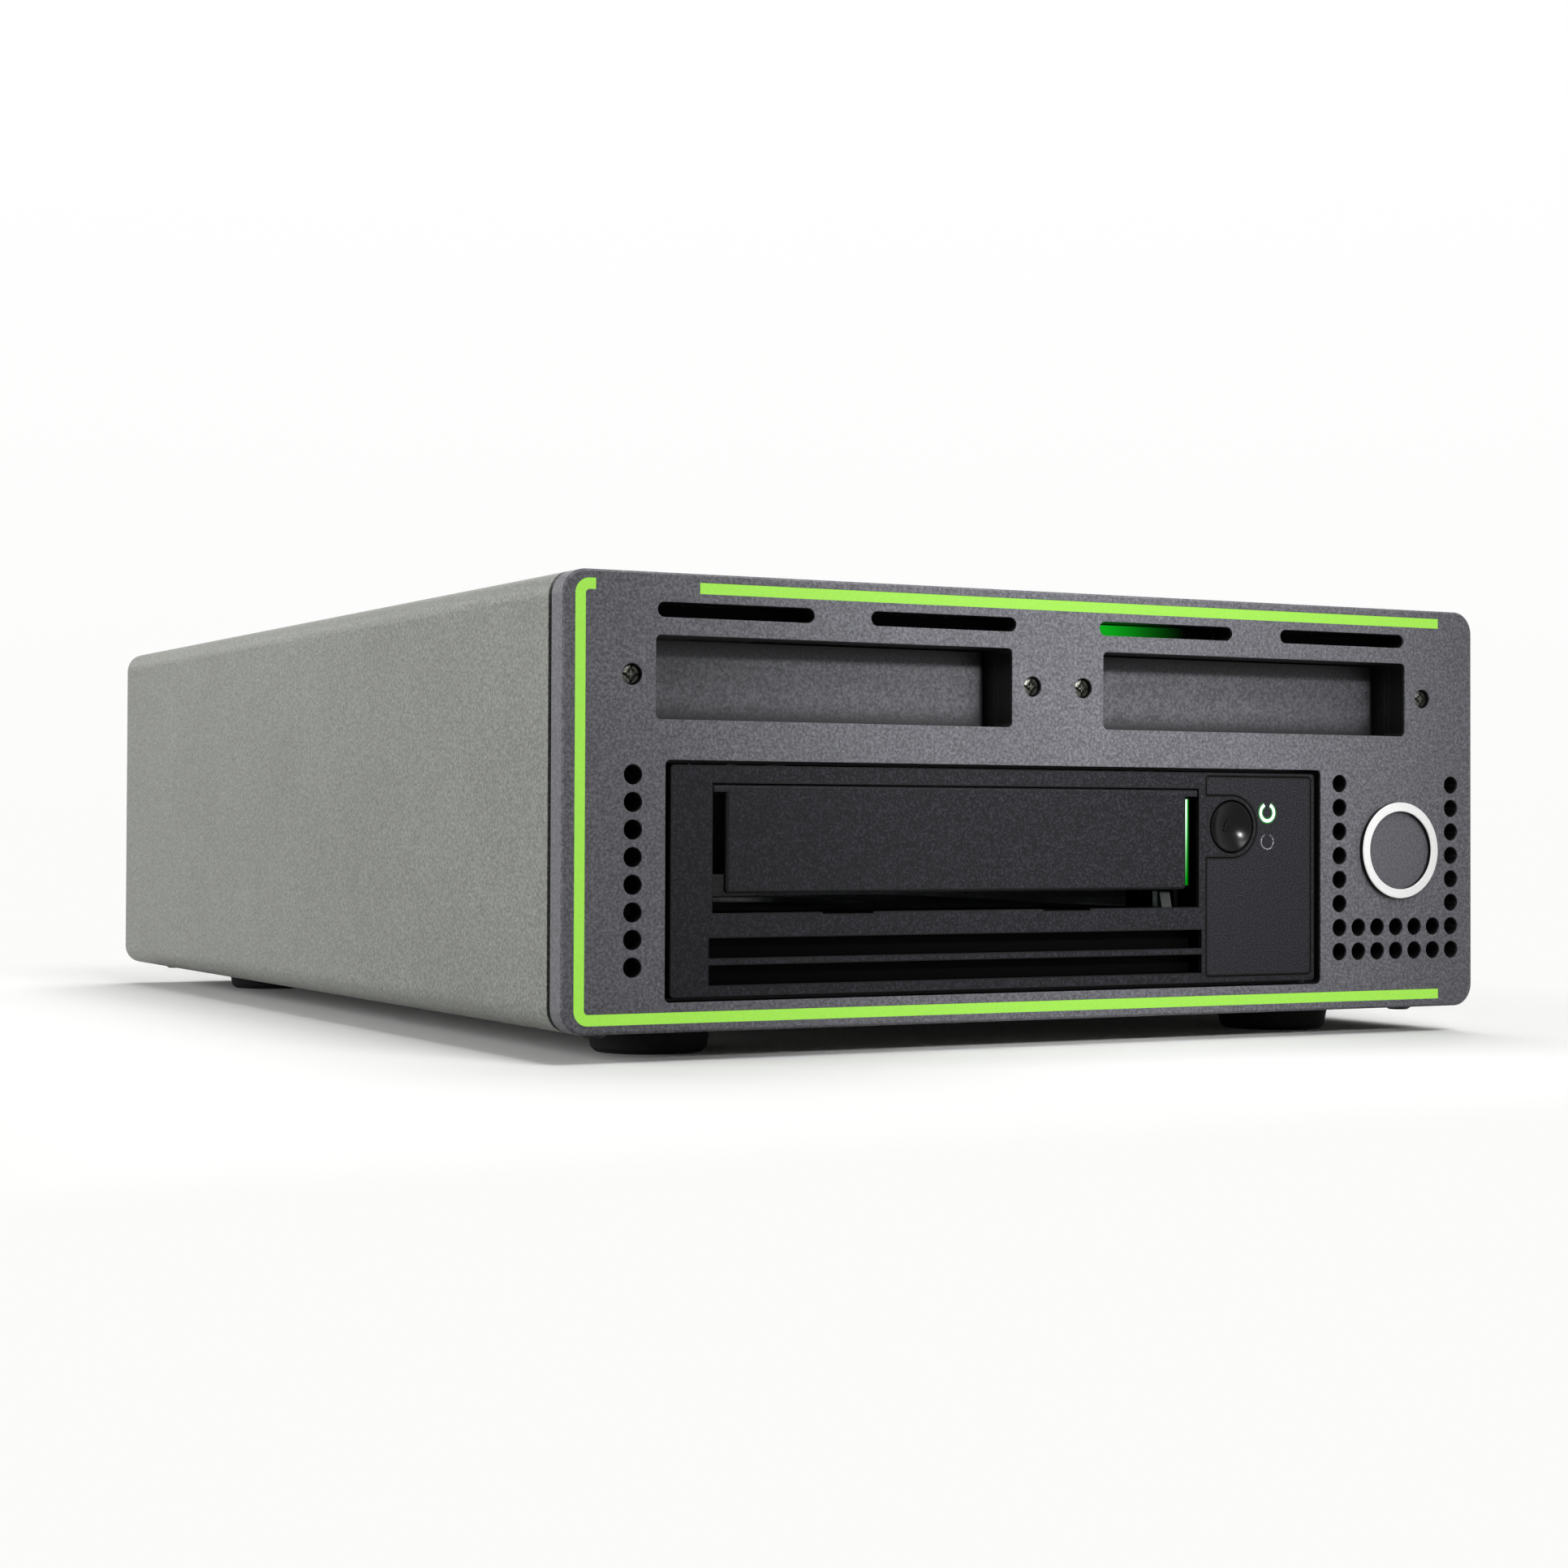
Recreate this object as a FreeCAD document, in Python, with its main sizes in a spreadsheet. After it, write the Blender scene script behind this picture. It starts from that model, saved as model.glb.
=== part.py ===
"""A desktop data tape drive: an enclosure with a thick front plate round a half-height tape drive,
two blanked bays for media modules above it, and a power supply, a fan and an interface board behind.

Millimetres. +X is to the right of someone facing the front, +Y runs to the rear and +Z is up.
The origin lies on the ground at the middle of the whole object. The front faces -Y.
"""

import FreeCAD, Part
import math
import os
import re

import Sketcher
from FreeCAD import Placement, Rotation, Vector

# ---------------------------------------------------------------------------------------------
# Counts, shares and tolerances
# ---------------------------------------------------------------------------------------------
VENT_ROWS = 8
VENT_COLUMNS = 7
GRILLE_ROWS = 5
SUPPLY_VENTS = 4
SPRING_TURNS = 3
RACK_BEFORE = 8
RACK_TEETH = 12
REEL_WINDOWS = 6
FAN_BLADES = 7
SINK_FINS = 7
SUPPLY_FINS = 4
SCREW_BEVEL = 0.6
DEDENDUM = 1.25
PRESSURE_ANGLE = 20.0
PORT_ROUND = 0.3
PORT_TONGUE = 0.75
NEAR = 1e-4

# ---------------------------------------------------------------------------------------------
# Driving dimensions
# ---------------------------------------------------------------------------------------------
SIZES = (
    # enclosure
    ("case_width", 212.0, "outside width of the front plate and the sleeve"),
    ("case_height", 84.0, "outside height of the front plate and the sleeve"),
    ("case_depth", 298.0, "front face of the front plate to the rear edge of the sleeve"),
    ("corner_round", 4.6, "radius of the long outside corners"),
    ("edge_round", 0.4, "softened front edge of the front plate"),
    ("foot_height", 5.6, "ground to the underside of the sleeve"),
    ("plate_thick", 5.0, "front plate"),
    ("groove_gap", 1.5, "width of the dark groove behind the front plate"),
    ("groove_depth", 1.5, "depth of that groove"),
    ("sleeve_wall", 2.0, "wall of the extruded sleeve"),
    ("sheet_gauge", 1.5, "folded steel of the chassis"),
    ("slip_fit", 0.3, "gap round a part that slides into another"),
    ("panel_recess", 3.0, "rear panel behind the sleeve's rear edge"),
    # openings of the front plate
    ("opening_side_left", 20.5, "left side of the case to the tape drive's cut-out"),
    ("opening_side_right", 40.9, "right side of the case to the tape drive's cut-out"),
    ("drive_offset", "=(opening_side_left - opening_side_right) / 2", "middle of the case to the drive's"),
    ("opening_width", "=case_width - opening_side_left - opening_side_right", "cut-out for the tape drive"),
    ("opening_top", 34.25, "top of the case to the tape drive's cut-out"),
    ("opening_height", "=case_height - opening_low - opening_top", "cut-out for the tape drive"),
    ("opening_low", 5.45, "case underside to the cut-out"),
    ("opening_round", 1.0, "corner of the cut-outs"),
    ("window_side", 18.5, "side of the case to a window"),
    ("window_inner", 10.7, "middle of the case to a window"),
    ("window_width", "=case_width / 2 - window_side - window_inner", "media bay window"),
    ("window_height", 15.4, "media bay window"),
    ("window_top", 11.45, "top of the case to the windows"),
    ("window_low", "=case_height - window_top - window_height", "case underside to the window"),
    ("window_offset", "=window_inner + window_width / 2", "middle of the case to the middle of a window"),
    ("slot_side", 18.8, "side of the case to the outer slots"),
    ("slot_middle", 9.8, "middle of the case to the inner slots"),
    ("slot_gap", 12.2, "inner slot to outer slot"),
    ("slot_width", "=(case_width / 2 - slot_side - slot_middle - slot_gap) / 2", "light slot"),
    ("slot_height", 2.8, "light slot"),
    ("slot_inner", "=slot_middle + slot_width / 2", "middle of the case to the middle of an inner slot"),
    ("slot_outer", "=case_width / 2 - slot_side - slot_width / 2", "the same to an outer slot"),
    ("slot_top", 6.8, "top of the case to the middle of the slots"),
    ("slot_level", "=case_height - slot_top", "case underside to the middle of the slots"),
    ("vent_radius", 1.85, "round vent"),
    ("vent_pitch", 5.0, "vent to vent across the case"),
    ("vent_low", 12.0, "case underside to the lowest vents"),
    ("vent_margin", 9.3, "height of the drive's cut-out beyond the columns of vents"),
    ("vent_rise", f"=(opening_height - vent_margin) / {VENT_ROWS - 1}", "vent to vent up the case"),
    ("vent_side", 14.0, "left side of the case to its column of vents"),
    ("vent_gap", 5.0, "drive's cut-out to the first column of vents right of it"),
    ("vent_left", "=vent_side - case_width / 2", "column of vents left of the drive"),
    ("vent_right", "=drive_offset + opening_width / 2 + vent_gap", "first column right of the drive"),
    ("bay_screw_gap", 4.75, "window edge to the middle of its screw"),
    ("bay_screw_rise", 8.05, "lower edge of a window to its screws"),
    ("bay_screw_level", "=window_low + bay_screw_rise", "case underside to the bay screws"),
    ("bay_screw_hole", 2.0, "radius of the counterbore for a bay screw's head"),
    ("bay_screw_shank", 1.0, "radius of a bay screw"),
    ("bay_screw_head", 1.85, "radius of a bay screw's head"),
    ("bay_screw_sunk", 0.6, "plate's face to a bay screw's head"),
    ("bay_screw_tip", 1.0, "bay screw beyond its cage's ear"),
    # painted line
    ("stripe_width", 2.05, "painted line"),
    ("stripe_side", 2.45, "left edge of the plate to the line"),
    ("stripe_edge", 1.65, "top or bottom edge of the plate to the line"),
    ("stripe_round", 2.8, "outer corner of the line"),
    ("stripe_stop", 9.4, "right side of the case to the line's right end"),
    ("stripe_hook", 6.5, "left side of the case to the break in the top line"),
    ("stripe_start", 27.4, "left side of the case to the line beyond the break"),
    ("stripe_end", "=case_width / 2 - stripe_stop", "middle of the case to the line's right end"),
    ("stripe_break", "=stripe_hook - case_width / 2", "left end of the break in the top line"),
    ("stripe_resume", "=stripe_start - case_width / 2", "right end of the break in the top line"),
    ("stripe_depth", 0.2, "groove that holds the paint"),
    # badge
    ("badge_radius", 10.1, "blank round badge"),
    ("badge_proud", 1.2, "badge above the front plate"),
    ("badge_side", 20.5, "right side of the case to the middle of the badge"),
    ("badge_across", "=case_width / 2 - badge_side", "middle of the case to the middle of the badge"),
    ("badge_level", 33.1, "case underside to the middle of the badge"),
    ("badge_rim", 1.9, "width of the badge's raised rim"),
    ("badge_dish", 0.45, "depth of the badge's sunk middle"),
    # feet and screws
    ("foot_radius", 12.15, "rubber foot"),
    ("foot_inset", 31.0, "side of the case to the middle of a foot"),
    ("foot_inset_front", 29.0, "front of the case to the middle of a foot"),
    ("foot_inset_rear", 35.0, "rear of the case to the middle of a foot"),
    ("foot_taper", 0.9, "foot's ground face is smaller by this on the radius"),
    ("foot_web", 2.6, "rubber under the screw's head"),
    ("screw_shank", 1.5, "radius of the case screws"),
    ("screw_head", 2.75, "radius of a case screw's head"),
    ("screw_cap", 1.2, "thickness of a case screw's head"),
    ("screw_grip", 6.0, "length of a case screw under its head"),
    ("screw_inset", 11.0, "sides and ends of the case to its screws"),
    ("screw_play", 0.1, "radial play of a screw in its hole"),
    ("foot_well", 1.2, "radial room round a foot screw's head"),
    ("plate_screw_side", 16.0, "sides of the case to the front plate's screws"),
    ("plate_screw_low", 7.0, "underside or top of the case to the front plate's screws"),
    ("plate_screw_bite", 3.5, "depth of the front plate's threaded holes"),
    ("frame_relief", 1.0, "openings of the frame are larger than the plate's by this"),
    # chassis
    ("chassis_bend", 2.6, "outside bend of the chassis floor"),
    ("chassis_lip", 12.0, "height of the floor's side lips"),
    ("deck_gauge", 1.2, "sheet of the upper deck"),
    ("deck_leg", 14.0, "deck's legs behind the front frame and before the rear panel"),
    ("tab_height", 8.0, "tabs that hold the front frame and the rear panel"),
    ("tab_width", 12.0, "front tabs of the chassis"),
    # media bays
    ("cage_gauge", 1.0, "sheet of a media cage"),
    ("cage_bend", 1.5, "outside bend of a media cage"),
    ("cage_depth", 106.0, "media cage"),
    ("ear_width", 7.5, "screw ear at each side of a cage"),
    ("ear_low", 4.5, "cage's underside to its ears"),
    ("ear_height", 9.0, "screw ear"),
    ("deck_margin", 6.0, "upper deck behind the cages"),
    ("blank_recess", 9.5, "front face of the plate to the blank"),
    ("blank_gauge", 1.5, "blank plate"),
    ("blank_gap", 0.25, "gap round a blank"),
    ("blank_return", 12.0, "side flange of the blank"),
    ("board_thick", 1.6, "every circuit board"),
    ("guide_depth", 7.0, "light guide behind a slot"),
    ("guide_gap", 0.3, "frame to the light guides"),
    # tape drive
    ("bezel_recess", 0.5, "plate's front face to the bezel's"),
    ("bezel_play", 1.3, "cut-out to the bezel at each side"),
    ("bezel_rise", 0.8, "cut-out to the bezel above and below"),
    ("bezel_width", "=opening_width - bezel_play * 2", "drive bezel"),
    ("bezel_height", "=opening_height - bezel_rise * 2", "drive bezel"),
    ("bezel_thick", 6.0, "drive bezel"),
    ("bezel_round", 0.8, "corner of the bezel"),
    ("bezel_lip", 1.0, "bezel beyond the drive's body at each side"),
    ("bezel_brim", 0.7, "bezel beyond the drive's body above and below"),
    ("rear_room", 95.0, "depth of the case beyond that of the drive's body"),
    ("body_width", "=bezel_width - bezel_lip * 2", "half-height drive behind its bezel"),
    ("body_height", "=bezel_height - bezel_brim * 2", "half-height drive behind its bezel"),
    ("body_depth", "=case_depth - rear_room", "half-height drive behind its bezel"),
    ("casting_wall", 2.0, "cast base of the drive"),
    ("casting_floor", 6.4, "drive's underside to the casting's floor"),
    ("cover_gauge", 1.0, "drive's sheet covers"),
    ("bay_side_left", 8.6, "left side of the bezel to the bay"),
    ("bay_side_right", 29.4, "right side of the bezel to the bay"),
    ("bay_offset", "=(bay_side_left - bay_side_right) / 2", "middle of the drive to that of its bay"),
    ("bay_width", "=bezel_width - bay_side_left - bay_side_right", "cartridge bay"),
    ("bay_low", 21.65, "case underside to the bay's floor"),
    ("bay_margin", 18.75, "height of the bezel beyond that of the bay"),
    ("bay_height", "=bezel_height - bay_margin", "cartridge bay"),
    ("notch_in_left", 28.65, "left side of the bay to the left relief in its floor"),
    ("notch_in_right", 31.9, "right side of the bay to the right relief in its floor"),
    ("notch_left", "=bay_offset - bay_width / 2 + notch_in_left", "middle of the drive to that relief"),
    ("notch_right", "=bay_offset + bay_width / 2 - notch_in_right", "middle of the drive to that relief"),
    ("bay_notch", 11.0, "width of a relief in the bay's floor"),
    ("bay_notch_deep", 0.35, "depth of that relief"),
    ("louvre_over", 0.7, "air groove beyond the bay at each side"),
    ("louvre_width", "=bay_width + louvre_over * 2", "air groove under the bay"),
    ("louvre_height", 3.7, "air groove"),
    ("louvre_low", 8.35, "case underside to the lower air groove"),
    ("louvre_pitch", 5.0, "air groove to air groove"),
    ("louvre_deep", 4.4, "depth of the air grooves"),
    ("strip_deep", 3.4, "bezel's face to the light strip in the bay's right wall"),
    ("strip_wide", 2.2, "light strip"),
    ("strip_thick", 1.0, "light strip into the bay's right wall"),
    ("strip_low", 26.0, "case underside to the light strip"),
    ("strip_margin", 6.45, "height of the bay beyond that of the light strip"),
    ("strip_height", "=bay_height - strip_margin", "light strip"),
    ("prism_in", 6.9, "right side of the bay to the clear prism"),
    ("prism_across", "=bay_offset + bay_width / 2 - prism_in", "middle of the drive to the clear prism"),
    ("prism_wide", 2.4, "clear prism"),
    ("prism_height", 3.2, "clear prism"),
    ("prism_deep", 4.6, "bezel's face to the back of the clear prism"),
    ("door_reveal", 2.95, "side of the bay to the flap"),
    ("door_width", "=bay_width - door_reveal * 2", "door flap"),
    ("door_header", 1.5, "height of the door's full-width header"),
    ("door_round", 0.7, "rounding of the header so that it can turn"),
    ("door_bevel", 0.4, "bevel of the flap's lower edge"),
    ("door_low", 25.25, "case underside to the flap's lower edge"),
    ("door_thick", 1.6, "door flap"),
    ("door_gap", 0.12, "door to the top of the bay"),
    ("door_sunk", 0.15, "door behind the bezel's face"),
    ("door_end_gap", 0.25, "door's header to the bay's side"),
    ("pin_radius", 0.5, "door's hinge pin"),
    ("pin_bite", 1.1, "hinge pin in the bezel at each end"),
    ("running_gap", 0.05, "radial clearance of a shaft that turns"),
    ("insert_margin", 1.75, "right side of the bay to the insert"),
    ("insert_edge", 0.9, "right side of the bezel to the insert"),
    ("insert_trim", 1.9, "height of the bezel beyond that of the insert"),
    ("insert_left", "=bay_offset + bay_width / 2 + insert_margin", "middle of the drive to the insert"),
    ("insert_width", "=bezel_width / 2 - insert_edge - insert_left", "smooth insert beside the bay"),
    ("insert_low", 7.5, "case underside to the insert"),
    ("insert_height", "=bezel_height - insert_trim", "smooth insert"),
    ("insert_thick", 1.2, "smooth insert"),
    ("insert_gap", 0.15, "line round the insert"),
    ("button_in", 6.5, "left edge of the insert to the eject button"),
    ("button_drop", 10.35, "top of the insert to the eject button"),
    ("button_across", "=insert_left + button_in", "middle of the drive to the eject button"),
    ("button_level", "=insert_low + insert_height - button_drop", "case underside to the eject button"),
    ("button_radius", 5.2, "eject button"),
    ("button_gap", 0.25, "ring round the eject button"),
    ("button_dish", 0.6, "depth of the hollow in the button's face"),
    ("button_hollow", 2.6, "radius of that hollow's flat floor"),
    ("button_travel", 1.0, "stroke of the eject button"),
    ("button_flange", 6.1, "radius of the button's flange"),
    ("flange_thick", 1.0, "button's flange"),
    ("flange_well_depth", 3.0, "well for the flange in the bezel's back"),
    ("button_stem", 1.6, "radius of the button's stem"),
    ("stem_length", 4.0, "button's stem behind its flange"),
    ("spring_wire", 0.25, "half the thickness of the button spring's wire"),
    ("spring_gap", 0.75, "button's stem to the middle of the wire"),
    ("tongue_radius", 6.25, "round end of the bezel's tongue in the insert"),
    ("lamp_in", 15.35, "left edge of the insert to the status lamps"),
    ("lamp_drop", 7.45, "top of the insert to the upper status lamp"),
    ("lamp_across", "=insert_left + lamp_in", "middle of the drive to the status lamps"),
    ("lamp_level", "=insert_low + insert_height - lamp_drop", "case underside to the upper lamp"),
    ("lamp_pitch", 5.95, "status lamp to status lamp"),
    ("lamp_radius", 2.0, "status lamp"),
    ("key_board_gap", 5.0, "bezel to the key board behind it"),
    ("key_edge", 3.5, "edges of the key board to its posts"),
    # loading mechanism
    ("cartridge_play", 4.6, "width of the bay beyond that of a cartridge"),
    ("cartridge_rise", 2.45, "height of the bay beyond that of a cartridge"),
    ("cartridge_room", 101.0, "depth of the drive's body beyond that of a cartridge"),
    ("cartridge_width", "=bay_width - cartridge_play", "tape cartridge"),
    ("cartridge_height", "=bay_height - cartridge_rise", "tape cartridge"),
    ("cartridge_depth", "=body_depth - cartridge_room", "tape cartridge"),
    ("tray_gauge", 1.0, "sheet of the loader tray"),
    ("tray_play", 0.4, "cartridge to the tray's sides"),
    ("tray_drop", 0.25, "bay's floor above the tray's floor"),
    ("stop_height", 6.0, "tray's end stop"),
    ("hub_back", 47.0, "end of the tray to the middle of the cartridge's hub"),
    ("hub_reach", "=cartridge_depth - hub_back", "front of the tray to the middle of the cartridge's hub"),
    ("guide_width", 3.0, "rails under the tray"),
    ("end_play", 0.1, "end play of what turns or slides"),
    ("gear_lift", 0.4, "casting's floor to the gears"),
    ("pinion_shaft", 1.0, "radius of the loader motor's shaft"),
    ("motor_seat", 2.0, "shaft in the loader motor"),
    ("loader_motor_height", 4.6, "loader motor"),
    ("clutch_rim", 3.0, "raised ring of the clutch"),
    ("roller_rim", 0.8, "thickness of a roller's flange"),
    ("post_margin", 11.3, "height of the drive's body beyond that of the post"),
    ("lead_margin", 14.3, "height of the drive's body beyond that of the lead screw"),
    ("head_post_height", "=body_height - post_margin", "post that guides the head carriage"),
    ("head_screw_length", "=body_height - lead_margin", "lead screw"),
    ("head_nose", 2.4, "tape head in front of its carriage"),
    ("main_board_start", 75.0, "back of the bezel to the drive's main board"),
    ("chip_lead", 12.0, "front edge of the main board to the middle of its first chips"),
    ("main_board_gap", 1.2, "bottom cover to the main board"),
    ("chip_size", 18.0, "largest chips"),
    ("chip_pitch", 42.0, "middle of the drive to its largest chips"),
    ("chip_thick", 0.8, "largest chips"),
    ("rail_start", 20.0, "back of the bezel to the rails beside the drive"),
    ("rail_length", 150.0, "rails beside the drive"),
    ("rail_height", 22.0, "rails beside the drive"),
    ("rail_foot", 9.0, "rails' feet on the chassis floor"),
    ("side_screw_first", 60.0, "back of the bezel to the first side screw"),
    ("side_screw_pitch", 79.0, "side screw to side screw"),
    ("side_screw_level", 11.6, "drive's underside to its side screws"),
    ("rear_plug_left", -60.0, "middle of the drive to its rear plugs"),
    ("rear_plug_width", 70.0, "opening for the drive's rear plugs"),
    ("rear_plug_height", 16.0, "opening for the drive's rear plugs"),
    ("tray_start", 17.0, "back of the bezel to the tray"),
    ("tray_travel", 13.0, "stroke of the tray"),
    ("tray_hole", 18.0, "radius of the hole over the supply clutch"),
    ("tooth_module", 0.8, "loader gears and rack"),
    ("tooth_backlash", 0.12, "loader gears and rack"),
    ("gear_teeth", 24.0, "loader gear"),
    ("pinion_teeth", 14.0, "loader motor's pinion"),
    ("gear_thick", 4.0, "loader gear"),
    ("gear_reach", 40.0, "back of the bezel to the loader gear"),
    ("gear_in", 15.4, "side of the cartridge to the loader gear"),
    ("gear_across", "=bay_offset - cartridge_width / 2 + gear_in", "middle of the drive to the loader gear"),
    ("rack_length", 34.0, "toothed rack on the tray"),
    ("rack_back", 1.0, "rack behind its teeth"),
    ("axle_radius", 1.5, "posts for gears and rollers"),
    ("loader_motor_radius", 6.5, "loader motor"),
    ("clutch_radius", 16.0, "clutch under the cartridge's hub"),
    ("clutch_thick", 2.2, "clutch under the cartridge's hub"),
    ("motor_radius", 19.0, "flat reel motors"),
    ("motor_thick", 2.2, "flat reel motors"),
    ("spindle_radius", 3.0, "spindle of a reel motor"),
    ("reel_radius", 31.5, "take-up reel"),
    ("reel_hub", 20.0, "hub of the take-up reel"),
    ("reel_flange", 1.2, "flange of the take-up reel"),
    ("reel_back", 36.0, "drive's rear to the middle of the take-up reel"),
    ("reel_aside", 1.6, "middle of the bay to the middle of the take-up reel"),
    ("reel_across", "=bay_offset - reel_aside", "middle of the drive to the take-up reel"),
    ("tape_width", 12.65, "tape"),
    ("tape_level", 22.5, "case underside to the tape's lower edge"),
    ("roller_radius", 4.6, "guide roller"),
    ("roller_flange", 1.3, "flange of a guide roller"),
    ("roller_inner", 14.0, "head to an inner roller along the drive"),
    ("roller_outer", 28.0, "head to an outer roller along the drive"),
    ("roller_inner_across", "=head_across - roller_side", "middle of the drive to the inner rollers"),
    ("roller_outer_across", "=head_across - roller_side * 2", "middle of the drive to the outer rollers"),
    ("head_back", 70.0, "rear of the drive to the middle of the head"),
    ("head_along", "=body_depth - head_back", "back of the bezel to the middle of the head"),
    ("head_side", 7.5, "side of the drive to the middle of the head carriage"),
    ("roller_side", 7.5, "head carriage to the inner rollers across the drive"),
    ("head_across", "=body_width / 2 - head_side", "middle of the drive to the middle of the head carriage"),
    ("head_length", 15.0, "head carriage along the drive"),
    ("head_width", 9.0, "head carriage across the drive"),
    ("lead_screw_radius", 1.0, "lead screw of the head carriage"),
    ("head_motor_radius", 3.4, "motor of the lead screw"),
    ("head_motor_height", 3.4, "motor of the lead screw"),
    ("head_height", 14.0, "head carriage"),
    ("head_bearing", 3.4, "middle of the carriage to its screw and its post"),
    # rear
    ("fan_size", 60.0, "square fan"),
    ("fan_thick", 15.0, "fan"),
    ("fan_side", 44.0, "right side of the case to the middle of the fan"),
    ("fan_across", "=case_width / 2 - fan_side", "middle of the case to the fan"),
    ("fan_level", 43.0, "case underside to the middle of the fan"),
    ("fan_bore", 28.4, "radius of the fan's duct"),
    ("fan_hub", 12.0, "radius of the fan's hub"),
    ("fan_corner", 3.0, "corner of the fan's frame"),
    ("fan_arm", 2.4, "arms that carry the fan's hub"),
    ("fan_bearing", 4.0, "radius of the fan's bearing tube"),
    ("fan_blade", 0.6, "half the thickness of a fan blade along its edge"),
    ("fan_blade_gap", 0.9, "blade tip to duct"),
    ("fan_blade_margin", 1.65, "height of the fan's hub beyond that of its blades"),
    ("fan_sweep_root", 4.7, "blade's lead round the hub"),
    ("fan_sweep_tip", 8.5, "blade's lead at its tip"),
    ("fan_tube_gap", 4.5, "depth of the fan beyond its bearing tube"),
    ("fan_bore_floor", 0.5, "floor under the bore of the bearing tube"),
    ("fan_hole_pitch", 50.0, "fan screw to fan screw"),
    ("grille_slot", 2.8, "height of a slot in the fan grille"),
    ("grille_pitch", 5.0, "slot to slot in the fan grille"),
    ("grille_radius", 27.0, "outline of the fan grille"),
    ("supply_vent_left", "=inlet_across - supply_vent_gap", "middle of the case to the first such vent"),
    ("supply_vent_low", 44.0, "case underside to the vents above the inlet"),
    ("supply_vent_width", 14.0, "vent above the inlet"),
    ("inlet_side", 26.0, "left side of the case to the mains inlet"),
    ("switch_gap", 32.0, "mains inlet to the power switch"),
    ("supply_vent_gap", 8.0, "first vent above the inlet to the middle of the inlet"),
    ("inlet_across", "=inlet_side - case_width / 2", "middle of the case to the mains inlet"),
    ("inlet_level", 24.0, "case underside to the middle of the inlet"),
    ("inlet_width", 27.0, "body of the mains inlet"),
    ("inlet_height", 19.6, "body of the mains inlet"),
    ("inlet_depth", 24.0, "mains inlet behind the panel"),
    ("inlet_flange", 1.8, "flange round the mains inlet"),
    ("socket_width", 24.0, "cavity of the mains inlet"),
    ("socket_height", 16.4, "cavity of the mains inlet"),
    ("socket_depth", 16.0, "cavity of the mains inlet"),
    ("socket_bevel", 4.5, "bevelled upper corners of the socket"),
    ("socket_round", 1.0, "lower corners of the socket"),
    ("blade_width", 4.0, "contact blade"),
    ("blade_thick", 2.0, "contact blade"),
    ("blade_pitch", 14.0, "live blade to neutral blade"),
    ("blade_rise", 4.0, "earth blade above the other two"),
    ("switch_across", "=inlet_across + switch_gap", "middle of the case to the power switch"),
    ("switch_width", 13.0, "power switch"),
    ("switch_height", 19.4, "power switch"),
    ("switch_depth", 16.0, "power switch behind the panel"),
    ("rocker_throw", 16.0, "degrees that the rocker tilts from on to off"),
    ("rocker_sunk", 0.6, "panel's face to the rocker's pivot"),
    ("rocker_half", 7.8, "half of the rocker's height"),
    ("rocker_back", 7.0, "half of the rocker's height at its back"),
    ("rocker_dip", 1.45, "pivot to the middle of the rocker's hollow face"),
    ("rocker_thick", 2.4, "pivot to the rocker's face"),
    ("rocker_pin", 0.9, "radius of the rocker's pins"),
    ("rocker_well", 9.0, "depth of the rocker's well"),
    ("switch_flange", 1.5, "flange of the power switch"),
    ("switch_wall", 1.3, "wall of the power switch"),
    ("ports_level", 62.5, "case underside to the interface board's top face"),
    ("ports_depth", 58.0, "interface board"),
    ("ports_side", 14.0, "left side of the case to the interface board"),
    ("ports_gap", 12.0, "interface board to the fan"),
    ("ports_left", "=ports_side - case_width / 2", "left edge of the interface board"),
    ("ports_width", "=fan_across - fan_size / 2 - ports_gap - ports_left", "interface board"),
    ("usb_width", 9.0, "small data port"),
    ("usb_height", 3.3, "small data port"),
    ("usb_in", 10.0, "left edge of the interface board to the first small data port"),
    ("usb_across", "=ports_left + usb_in", "first small data port"),
    ("usb_pitch", 16.0, "small data port to small data port"),
    ("display_across", "=sas_across - display_gap", "display port"),
    ("display_width", 16.2, "display port"),
    ("display_height", 5.0, "display port"),
    ("sas_in", 13.5, "right edge of the interface board to the wide data port"),
    ("display_gap", 20.0, "display port to the wide data port"),
    ("sas_across", "=ports_left + ports_width - sas_in", "wide data port"),
    ("sas_width", 17.0, "wide data port"),
    ("sas_height", 8.6, "wide data port"),
    ("port_wall", 0.6, "shell of a port"),
    ("psu_width", 100.0, "power supply"),
    ("psu_depth", 50.0, "power supply"),
    ("psu_side", 8.0, "left side of the case to the power supply"),
    ("psu_left", "=psu_side - case_width / 2", "left side of the power supply"),
    ("psu_gap", 3.0, "tape drive to the power supply"),
    ("supply_edge", 5.0, "board edges to their standoffs"),
    ("core_width", 26.0, "transformer's core"),
    ("core_length", 26.0, "transformer's core"),
    ("core_height", 20.0, "transformer's core"),
    ("coil_width", 18.7, "transformer's coil"),
    ("coil_length", 33.8, "transformer's coil"),
    ("coil_height", 16.0, "transformer's coil"),
    ("capacitor_radius", 9.0, "large capacitors"),
    ("capacitor_height", 24.0, "large capacitors"),
    ("capacitor_inset", 14.0, "left side of the supply to its capacitors"),
    ("capacitor_gap", 2.0, "capacitor to capacitor"),
    ("heat_sink_thick", 1.6, "supply's heat sinks"),
    ("heat_sink_height", 22.0, "supply's heat sinks"),
    ("heat_sink_margin", 15.0, "depth of the supply beyond that of its heat sinks"),
    ("heat_sink_side", 8.0, "right side of the supply to its first heat sink"),
    ("heat_sink_pitch", 10.0, "heat sink to heat sink"),
    ("fin_pitch", 4.9, "fin to fin of the supply's heat sinks"),
    ("fin_width", 4.8, "fins of the supply's heat sinks"),
    ("fin_thick", 0.8, "fins of the supply's heat sinks"),
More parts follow.
